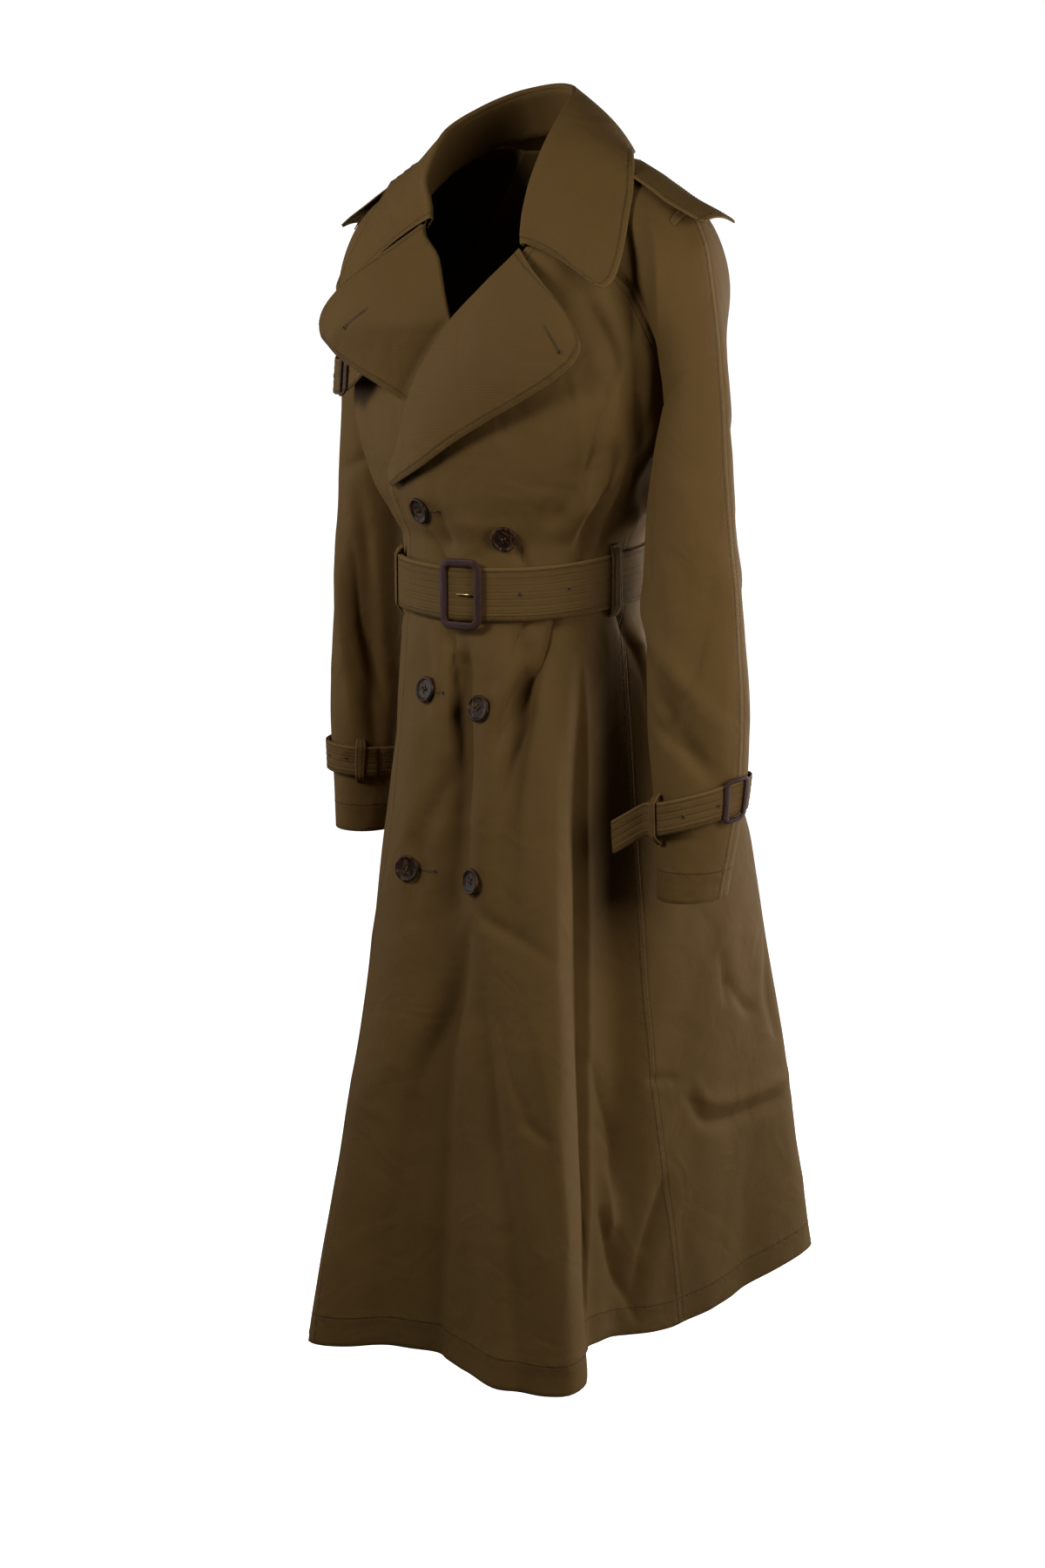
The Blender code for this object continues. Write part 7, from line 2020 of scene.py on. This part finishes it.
def cuff_strap_grid(row, step=1 / 96, shares=np.linspace(-0.5, 0.5, 9)):
    """A cuff strap, wound once round and on to its tail."""
    side, buckle_turn, tail_turn = row[:3]
    tip = np.array(row[3:6])
    rings = cuff_rings(side)
    start = buckle_turn - 0.03
    stop = tail_turn - 1.0
    turns = np.linspace(start, stop, int(round((start - stop) / step)) + 1)
    climb_from, climb_to = buckle_turn + 0.12 - 1, buckle_turn - 1
    climb = np.clip((climb_from - turns) / (climb_from - climb_to), 0, 1)
    outs = CUFF_STRAP_OFF + CUFF_STRAP_LAP * smooth(climb)
    grid = [[cuff_point(rings, turn, cuff_strap_z(row, turn) + CUFF_STRAP_WIDTH * share, out)
             for turn, out in zip(turns, outs)] for share in shares]
    if np.any(tip):
        way = unit(grid[0][-1] - grid[0][-2]) * np.linalg.norm(tip) * 0.35
        for line in grid:
            end = line[-1] + tip
            line += list(bezier(line[-1], line[-1] + way, end - tip * 0.35, end,
                                np.linspace(0, 1, 17)[1:]))
    return np.array(grid)


def cuff_loop_grid(row, rings, turn):
    """The loop that holds a cuff strap to the sleeve."""
    half = CUFF_STRAP_WIDTH / 2
    path = hump(foot=half + 0.009, shoulder=half + 0.0036, top=half - 0.001,
                low=CLOTH / 2 + 0.0007, over=CUFF_OVER, fine=5)
    return np.array([[cuff_point(rings, turn + side, cuff_strap_z(row, turn + side) + up, out)
                      for side in np.linspace(-0.014, 0.014, 7)] for up, out in path])


for row in CUFF_STRAPS:
    side, buckle_turn, tail_turn = row[:3]
    cloth("cuff_strap_" + side, cuff_strap_grid(row), [strap_look], thickness=CUFF_STRAP_THICK,
          rows=rows_at(STRAP_END_STITCH, "start", "end"), edges=["start", "end", "last"])
    rings = cuff_rings(side)

    def place(across, up, out):
        turn = buckle_turn - 0.01 + across / CUFF_ROUND
        return cuff_point(rings, turn, cuff_strap_z(row, turn) + up, CUFF_OVER + out)

    buckle("cuff_buckle_" + side, place, **CUFF_BUCKLE)
    cloth("cuff_loop_" + side, cuff_loop_grid(row, rings, tail_turn + 0.06), [cloth_look],
          thickness=CUFF_LOOP_THICK, rows=rows_at(0.002, "first", "last"), edges=["first", "last"])
print("cuff straps done")

# %% [markdown]
# ## Throat latch
# The throat latch closes the collar in bad weather. It hangs open here from under the right lapel,
# a short stitched strap on edge with a small buckle of its own.

# %% Throat latch
# Stations of the throat latch along its middle line, from under the right lapel.
LATCH_LINE = table(
    "along x_mm y_mm z_mm",
    (0, -96, -135.8, -172), (1, -126, -127.5, -190), (2, -148, -117, -197), (3, -166, -108, -199),
    (4, -180, -97, -198), (5, -190, -82, -195), (6, -192, -68, -192),
)
LATCH_WIDTH = 0.036
LATCH_THICK = 0.0018
LATCH_BUCKLE = {"width": 0.018, "height": 0.044, "corner": 0.004, "bar": 0.0045, "thick": 0.0026}
LATCH_BUCKLE_AT = 1.75  # place of its buckle on the line
LATCH_BUCKLE_OFF = 0.0018   # from the strap's face to the middle of the buckle
LATCH_STEP = 0.0187     # metres from one row of the line to the next
LATCH_UP = np.array([0.10, 0.0, 0.995])     # the strap stands on edge, leaning a little


def latch_grid(count=49):
    """The latch strap, on edge."""
    line = columns_at(LATCH_LINE, np.linspace(0.0, 6.0, count), "x", "y", "z")
    return np.array([line - LATCH_UP * LATCH_WIDTH / 2 * share for share in np.linspace(-1, 1, 9)])


def latch_place(across, up, out):
    """A point by the strap: across runs along it from its buckle."""
    at = LATCH_BUCKLE_AT + across / LATCH_STEP
    here, ahead = columns_at(LATCH_LINE, np.array([at, at + 0.1]), "x", "y", "z")
    outward = unit(np.cross(unit(ahead - here), np.array([0.0, 0.0, 1.0])))
    if outward[1] > 0:
        outward = -outward
    return here + LATCH_UP * up + outward * (LATCH_THICK / 2 + LATCH_BUCKLE_OFF + out)


cloth("throat_latch", latch_grid(), [strap_look], thickness=LATCH_THICK,
      rows=rows_at(STRAP_END_STITCH, "start", "end"), edges=["start", "end", "last"])
buckle("latch_buckle", latch_place, **LATCH_BUCKLE)
print("pieces so far:", len(coat))

# %% [markdown]
# ## Stitches
# Topstitching is a row of short beads of thread, a few millimetres apart, that follows an edge.
# A tree of Geometry Nodes turns any set of lines into such rows: it resamples each line to the
# stitch pitch, turns a small bead to the line and to the cloth, and realises them as one mesh.

# %% Stitch tree
def stitch_tree(look):
    """Lines in, beads of thread out; the point attribute "away" points out of the cloth."""
    tree = bpy.data.node_groups.new("stitch_rows", "GeometryNodeTree")
    face = tree.interface
    face.new_socket(name="Rows", in_out="INPUT", socket_type="NodeSocketGeometry")
    for name, size in (("Pitch", 0.0036), ("Bead length", 0.0029), ("Thread width", 0.00075)):
        socket = face.new_socket(name=name, in_out="INPUT", socket_type="NodeSocketFloat")
        socket.default_value = size
    face.new_socket(name="Seed", in_out="INPUT", socket_type="NodeSocketInt").default_value = 7
    face.new_socket(name="Stitches", in_out="OUTPUT", socket_type="NodeSocketGeometry")
    given = add(tree, "NodeGroupInput").outputs
    lines = add(tree, "GeometryNodeMeshToCurve", {"Mesh": given["Rows"]}).outputs["Curve"]
    spaced = add(tree, "GeometryNodeResampleCurve", {
        "Curve": lines, "Length": given["Pitch"]}, mode="LENGTH").outputs["Curve"]
    tangent = add(tree, "GeometryNodeInputTangent").outputs["Tangent"]
    away = add(tree, "GeometryNodeInputNamedAttribute", {"Name": "away"},
               data_type="FLOAT_VECTOR").outputs["Attribute"]
    turn = add(tree, "FunctionNodeAxesToRotation", {
        "Primary Axis": tangent, "Secondary Axis": away}, primary_axis="X", secondary_axis="Z")
    uneven = add(tree, "FunctionNodeRandomValue", {
        2: 0.88, 3: 1.08, "Seed": given["Seed"]}, data_type="FLOAT").outputs[1]
    length = maths(tree, "MULTIPLY", given["Bead length"], uneven)
    low = maths(tree, "MULTIPLY", given["Thread width"], 0.7)
    size = add(tree, "ShaderNodeCombineXYZ", {"X": length, "Y": given["Thread width"], "Z": low})
    bead = add(tree, "GeometryNodeMeshUVSphere", {"Segments": 6, "Rings": 4, "Radius": 0.5})
    smooth = add(tree, "GeometryNodeSetShadeSmooth", {"Geometry": bead.outputs["Mesh"]})
    beads = add(tree, "GeometryNodeInstanceOnPoints", {
        "Points": spaced, "Instance": smooth.outputs["Geometry"],
        "Rotation": turn.outputs["Rotation"], "Scale": size.outputs["Vector"]}).outputs["Instances"]
    real = add(tree, "GeometryNodeRealizeInstances", {"Geometry": beads}).outputs["Geometry"]
    done = add(tree, "GeometryNodeSetMaterial", {"Geometry": real, "Material": look})
    add(tree, "NodeGroupOutput", {"Stitches": done.outputs["Geometry"]})
    return tree


def sew(name, lines, look=thread_look):
    """Rows of stitches along lines, each a pair of (points, directions away from the cloth)."""
    points = np.concatenate([line for line, _ in lines])
    away = np.concatenate([lean for _, lean in lines])
    edges, start = [], 0
    for line, _ in lines:
        edges += [(start + k, start + k + 1) for k in range(len(line) - 1)]
        start += len(line)
    mesh = bpy.data.meshes.new(name + "_lines")
    mesh.from_pydata(points.tolist(), edges, [])
    mesh.attributes.new("away", "FLOAT_VECTOR", "POINT").data.foreach_set("vector", away.ravel())
    holder = put(name + "_lines", mesh)
    holder.modifiers.new("stitches", "NODES").node_group = stitch_tree(look)
    seen = holder.evaluated_get(bpy.context.evaluated_depsgraph_get())
    result = bpy.data.meshes.new_from_object(seen)
    bpy.data.objects.remove(holder)
    result.name = name
    result.materials.clear()
    result.materials.append(look)
    result.polygons.foreach_set("material_index", np.zeros(len(result.polygons), int))
    coat[name] = put(name, result)


def stitch_line(name, border, inset, start=0.0, stop=1.0, face=1.0):
    """A line on a piece, inset from one of its borders, between two shares of its length.

    face is 1 for the side that the piece's normals point to and -1 for the other.
    """
    grid, normals, thickness = grids[name]
    surface = grid + normals * face * (thickness / 2 + 0.0001)
    away = border_distance(grid, border)
    lean = normals * face
    if border in ("start", "end"):
        surface, away, lean = (np.swapaxes(values, 0, 1) for values in (surface, away, lean))
    if border in ("last", "end"):
        surface, away, lean = surface[:, ::-1], away[:, ::-1], lean[:, ::-1]
    points, leans = (np.array([[np.interp(inset, gaps, row[:, axis]) for axis in range(3)]
                               for gaps, row in zip(away, values)]) for values in (surface, lean))
    first, last = int(round(start * (len(points) - 1))), int(round(stop * (len(points) - 1)))
    return points[first:last + 1], unit(leans[first:last + 1])


def outward_side(name):
    """1 if a piece's normals point away from the coat's middle, and -1 if they point in."""
    grid, normals, _ = grids[name]
    way = (grid - np.array([0.0, 0.02, 0.0])) * np.array([1.0, 1.0, 0.0])
    return 1.0 if float(np.sum(normals * way)) > 0 else -1.0


def strap_side(name):
    """The same for a round strap and the middle of its loop."""
    grid, normals, _ = grids[name]
    middle = grid[:, :80].reshape(-1, 3).mean(axis=0)
    return 1.0 if float(np.sum(normals[:, :80] * (grid[:, :80] - middle))) > 0 else -1.0


print("stitch tree ready")

# %% [markdown]
# ## Where the rows run
# A coat is topstitched along its fronts, hem, seams, cuffs, collar and straps. Each row is a line
# at a set distance from the border of its panel, so it follows every fold of the cloth. The rows
# are joined into four objects, as one object for each row would only crowd the scene.

# %% Rows of stitches
FELL_TOP = 0.76         # share of a front's side, from the hem, that is a felled side seam
FELL_EDGE = 0.0012      # from a seam to the row beside it
FRONT_ROW = (0.0, 0.74)     # stretch of a front's edge, from the hem, that has its row
COLLAR_END_ROW = (0.3, 0.985)       # the same for the ends of the collar and the lapels
SHOULDER_STRAP_ROW = (0.0, 0.94)    # and for each border of a shoulder strap
STRAP_ROWS = 5          # rows of stitches along a cuff strap or the throat latch


def side_by_side(name, inset, width, count, face):
    """Rows of stitches along a strap, evenly spaced between two insets."""
    return [stitch_line(name, "start", inset + (width - 2 * inset) * k / (count - 1), face=face)
            for k in range(count)]


body_rows = [stitch_line("front_" + side, "first", FRONT_STITCH, *FRONT_ROW) for side in SIDES]
body_rows += [stitch_line(name, "start", HEM_STITCH)
              for name in ("front_left", "front_right", "back")]
for side in SIDES:
    body_rows += [stitch_line("front_" + side, "last", inset, 0.0, FELL_TOP)
                  for inset in (SEAM_STITCH, FELL_EDGE)]
    body_rows.append(stitch_line("sleeve_front_" + side, "last", SEAM_STITCH))
    body_rows += [stitch_line("sleeve_" + half + "_" + side, "end", CUFF_STITCH) for half in HALVES]
sew("topstitching_body", body_rows)

collar_rows = []
for name, ends in (("lapel_left", ["start"]), ("lapel_right", ["start"]),
                   ("collar_leaf", ["start", "end"])):
    face = outward_side(name)
    collar_rows.append(stitch_line(name, "last", EDGE_STITCH, face=face))
    collar_rows += [stitch_line(name, end, EDGE_STITCH, *COLLAR_END_ROW, face=face)
                    for end in ends]
for side in SIDES:
    name = "epaulette_" + side
    face = 1.0 if grids[name][1][:, :, 2].mean() > 0 else -1.0
    collar_rows += [stitch_line(name, border, STRAP_STITCH, *SHOULDER_STRAP_ROW, face=face)
                    for border in ("first", "last", "end")]
sew("topstitching_collar", collar_rows)

belt_rows = side_by_side("belt", BELT_STITCH, BELT_WIDTH, BELT_ROWS, outward_side("belt"))
sew("stitching_belt", belt_rows)
strap_rows = []
for name, width, face in (("cuff_strap_left", CUFF_STRAP_WIDTH, strap_side),
                          ("cuff_strap_right", CUFF_STRAP_WIDTH, strap_side),
                          ("throat_latch", LATCH_WIDTH, outward_side)):
    strap_rows += side_by_side(name, STRAP_END_STITCH, width, STRAP_ROWS, face(name))
sew("stitching_straps", strap_rows)
print("stitch faces:", {name: len(piece.data.polygons) for name, piece in coat.items()
                        if "stitching" in name})

# %% [markdown]
# ## Eyelets and buttonholes
# A stitched strap is pierced every few centimetres, and each hole is worked round with thread. A
# coat's buttonhole is a slit between two worked edges that ends in a small eye, so that the
# button's shank can sit in it. Each outline below is drawn flat and then laid on its cloth. The
# holes are not cut: a thin dark solid inside each outline is painted shade.

# %% Worked holes
HOLES = (
    # piece, (share up, share along) of the middle of an eyelet or of the two ends of a slit
    ("belt", (0.50, 0.754)), ("belt", (0.50, 0.701)),
    ("belt", (0.52, 0.652)), ("belt", (0.50, 0.603)),
    ("cuff_strap_left", (0.44, 0.768)), ("cuff_strap_left", (0.48, 0.697)),
    ("cuff_strap_right", (0.58, 0.920)), ("cuff_strap_right", (0.52, 0.850)),
    ("throat_latch", (0.40, 0.440)), ("throat_latch", (0.50, 0.620)),
    ("lapel_left", (0.300, 0.720), (0.352, 0.890)),
    ("lapel_right", (0.385, 0.640), (0.375, 0.800)),
)
EYE = 0.0020            # half width of an eyelet's worked edge
SLIT = 0.0007           # half width of a slit's worked edge
EDGE_THREAD = 0.00055
BUTTONHOLE = 0.022      # length of a slit on the front
HOLE_SHIFT = 0.017      # from the button to the middle of its slit, round the body
FRONT_RADIUS = 0.14     # of the front where the slits are


def hole_outline(length):
    """An eyelet, or a slit along the first axis with an eye at its end, as a closed flat line."""
    turns = np.radians(np.arange(0, 360, 20))
    if not length:
        return np.stack([np.cos(turns), np.sin(turns)], axis=-1) * EYE
    open_at = math.asin(SLIT / EYE)
    eye = [(length / 2 + EYE * math.cos(t), EYE * math.sin(t))
           for t in np.linspace(-math.pi + open_at, math.pi - open_at, 15)]
    sides = np.linspace(length / 2 - EYE - 0.001, -length / 2, 8)
    return np.array(eye + [(x, SLIT) for x in sides] + [(x, -SLIT) for x in sides[::-1]])


def worked_hole(name, lay, length=0.0):
    """Thread round a hole and a thin dark solid in it as painted shade; lay(along, aside, out) puts
    a point on the cloth.
    """
    line = hole_outline(length)
    ahead = unit(np.roll(line, -1, axis=0) - np.roll(line, 1, axis=0))
    aside = np.stack([ahead[:, 1], -ahead[:, 0]], axis=-1)
    edge = [[lay(*(p + n * EDGE_THREAD * math.cos(t)), EDGE_THREAD * (0.5 + 0.8 * math.sin(t)))
             for t in np.radians(np.arange(0, 360, 60))] for p, n in zip(line, aside)]
    coat[name + "_edge"] = solid(name + "_edge", *ring(np.array(edge)), buttonhole_look)
    # Painted shade: a thin, nearly black solid stands in for the dark inside of the hole.
    shade = [[lay(p[0], p[1], out) for p in line] for out in (-0.0002, 0.00025)]
    coat[name + "_shade"] = solid(name + "_shade", *rod(np.array(shade)), hole_shade_look)


def on_piece(name, spot, other=None):
    """The function that lays a hole on a piece of cloth, and the hole's length."""
    grid, normals, thickness = grids[name]
    side = strap_side(name) if name.startswith("cuff") else outward_side(name)
    size = np.array(grid.shape[:2]) - 1.001

    def at(shares):
        place = np.clip(shares, 0, 1) * size
        (i, j), (u, v) = place.astype(int), place % 1
        point, away = ((1 - u) * ((1 - v) * rows[i, j] + v * rows[i, j + 1])
                       + u * ((1 - v) * rows[i + 1, j] + v * rows[i + 1, j + 1])
                       for rows in (grid, normals))
        return point, unit(away) * side

    first = np.array(spot)
    second = np.array(other) if other else first + np.array([0.0, 0.01])
    run = at(second)[0] - at(first)[0]
    span = float(np.linalg.norm(run))

    def lay(along, aside, out):
        share = (along + (span / 2 if other else 0.0)) / span
        point, away = at(first + (second - first) * share)
        return point + unit(np.cross(away, unit(run))) * aside + away * (thickness / 2 + out)

    return lay, span if other else 0.0


def on_front(angle, z):
    """The function that lays a buttonhole on the left front, level with a button."""
    def lay(along, aside, out):
        turn = math.radians(angle) + (along + HOLE_SHIFT) / FRONT_RADIUS
        point, normal = face_at(front_tree, turn, z + aside)
        return point + normal * (CLOTH / 2 + out)
    return lay


for number, (piece, *spots) in enumerate(HOLES):
    worked_hole("worked_hole_{}_{}".format(number + 1, piece), *on_piece(piece, *spots))
for name, angle, z in BUTTONS:
    if name.endswith("_right"):
        worked_hole("buttonhole_" + name, on_front(angle, z), BUTTONHOLE)
print("worked holes:", sum("_edge" in name for name in coat))

# %% [markdown]
# ## Floor and lights
# The coat is lit as in a studio: a key light beside the wearer's left, a small one high in front,
# a broad one on the far side, and two rims behind that draw the outline of back and skirt. A pale
# room fills the rest. The floor is plain and pale and stays well below the hem.

# %% Floor and lights
FLOOR_Z = -1.62
FLOOR_HALF = 30.0
PAPER_GLOW = "#fdfdfd"

sweep = bpy.data.meshes.new("floor")
sweep.from_pydata([(x * FLOOR_HALF, y * FLOOR_HALF, FLOOR_Z)
                   for x, y in ((-1, -1), (1, -1), (1, 1), (-1, 1))], [], [(0, 1, 2, 3)])
floor = put("floor", sweep)
paper, paper_tree, paper_shader = new_material("matt_white_paper")
grain = add(paper_tree, "ShaderNodeTexNoise", {"Scale": 3.0, "Detail": 2.0}).outputs["Fac"]
shade = blend(paper_tree, grain, "#f4f3f1", "#f7f6f5")
paper_tree.links.new(shade, paper_shader.inputs["Base Color"])
for socket, value in (("Roughness", 0.9), ("Specular IOR Level", 0.1),
                      ("Emission Color", linear(PAPER_GLOW)), ("Emission Strength", 1.15)):
    paper_shader.inputs[socket].default_value = value
sweep.materials.append(paper)
floor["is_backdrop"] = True

floor.visible_diffuse = False        # the paper is seen, but throws no light up at the coat
floor.visible_glossy = False

room = bpy.data.worlds.new("room")
bpy.context.scene.world = room
room.use_nodes = True
background = room.node_tree.nodes["Background"]
seen_directly = add(room.node_tree, "ShaderNodeLightPath").outputs["Is Camera Ray"]
brightness = stretch(room.node_tree, seen_directly, 0.02, 1.1)
room.node_tree.links.new(brightness, background.inputs["Strength"])
background.inputs["Color"].default_value = linear(PAPER_GLOW)
bpy.context.scene.view_settings.view_transform = "Standard"


def soft_light(name, place, target, size, power):
    """A square light of this side, in metres, that faces the target from its place."""
    lamp = bpy.data.lights.new(name, "AREA")
    lamp.energy = power
    lamp.size = size
    holder = put(name, lamp)
    holder.location = place
    holder.visible_camera = False
    holder.rotation_euler = (Vector(place) - Vector(target)).to_track_quat("Z", "Y").to_euler()


LIGHTS = (
    # name, place, point that it faces, side of its square in metres, watts
    ("key", (1.38, -0.24, -0.1), (0.0, 0.0, -0.3), 0.8, 10.5),
    ("front", (-0.547, -1.504, 0.5), (0.0, 0.0, 0.0), 0.6, 14.0),
    ("far_side", (-2.44, -0.89, -0.3), (0.0, 0.0, -0.4), 1.5, 18.0),
    ("back_rim", (0.45, 2.56, -0.3), (0.0, 0.0, -0.4), 1.5, 36.0),
    ("skirt_rim", (1.543, 1.839, -0.95), (0.0, 0.0, -0.85), 1.0, 17.0),
)
for light in LIGHTS:
    soft_light(*light)

# %% [markdown]
# ## The pieces on the coat's body
# Every piece rides on the coat's one body and stands for the solid of the same name.

# %% Riding and replacing
for name, piece in coat.items():
    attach(piece, "root")
    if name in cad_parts:
        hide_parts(name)
print("pieces:", len(coat), "- solids not stood for:", sorted(set(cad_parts) - set(coat)))

# %% [markdown]
# ## Cut sizes
# A cutter knows every piece as flat cloth, with a width, a length and an area, however it hangs
# later. The sizes are typed in one table, so that they can be read and checked at a glance, with
# how each piece is held and what it rests on.

# %% Cut sizes
FRONTS = ("front_left", "front_right")
SLEEVES_LEFT = ("sleeve_front_left", "sleeve_back_left")
SLEEVES_RIGHT = ("sleeve_front_right", "sleeve_back_right")
CUT_SIZES = (
    # piece, width and length of the cloth it was cut from, area of the cut, how it is held, on what
    ("front_left", 0.61, 1.30, 0.460, "hung", ()),
    ("front_right", 0.56, 1.29, 0.433, "hung", ()),
    ("back", 0.93, 1.37, 0.792, "hung", ()),
    ("sleeve_front_left", 0.18, 0.83, 0.108, "hung", ()),
    ("sleeve_back_left", 0.16, 0.83, 0.101, "hung", ()),
    ("sleeve_front_right", 0.17, 0.84, 0.105, "hung", ()),
    ("sleeve_back_right", 0.165, 0.84, 0.111, "hung", ()),
    ("collar_stand", 0.055, 0.50, 0.0200, "stretched", ("back",)),
    ("collar_leaf", 0.145, 0.78, 0.0680, "folded", ("collar_stand",)),
    ("lapel_left", 0.145, 0.33, 0.0290, "folded", ("front_left",)),
    ("lapel_right", 0.172, 0.32, 0.0296, "folded", ("front_right",)),
    ("throat_latch", 0.132, 0.036, 0.0044, "hung", ("lapel_right",)),
    ("epaulette_left", 0.064, 0.132, 0.0075, "laid", SLEEVES_LEFT),
    ("epaulette_right", 0.064, 0.130, 0.0074, "laid", SLEEVES_RIGHT),
    ("epaulette_loop_left", 0.074, 0.010, 0.0006, "stretched", ("epaulette_left",)),
    ("epaulette_loop_right", 0.074, 0.010, 0.0006, "stretched", ("epaulette_right",)),
    ("belt", 1.03, 0.054, 0.0555, "stretched", FRONTS + ("back",)),
    ("cuff_strap_left", 0.49, 0.034, 0.0155, "stretched", SLEEVES_LEFT),
    ("cuff_strap_right", 0.453, 0.033, 0.0147, "stretched", SLEEVES_RIGHT),
)
LOOP_SIZE = (0.012, 0.078, 0.0009)          # a belt loop's width, length and area
CUFF_LOOP_SIZE = (0.010, 0.057, 0.0005)
for name in sorted(set(grids) - {row[0] for row in CUT_SIZES}):
    strap = name.replace("loop", "strap") if name.startswith("cuff") else "belt"
    width, length, area = CUFF_LOOP_SIZE if name.startswith("cuff") else LOOP_SIZE
covered = sum(flat_area(grid) for grid, _, _ in grids.values())
print("sheets:", len(grids), "covering", round(covered, 2), "m2")

# %% [markdown]
# The dressed coat is meant to fill the same box as its solids. Both boxes are measured and
# printed.

# %% Sizes and finish
drawn_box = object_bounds()


def plain(box):
    return [[round(float(value), 5) for value in corner] for corner in box]


{"cad": plain(cad_box), "visual": plain(drawn_box)}
print("solids", plain(cad_box), "pieces", plain(drawn_box))
print("triangles:", sum(len(face.vertices) - 2
                        for piece in coat.values() for face in piece.data.polygons))
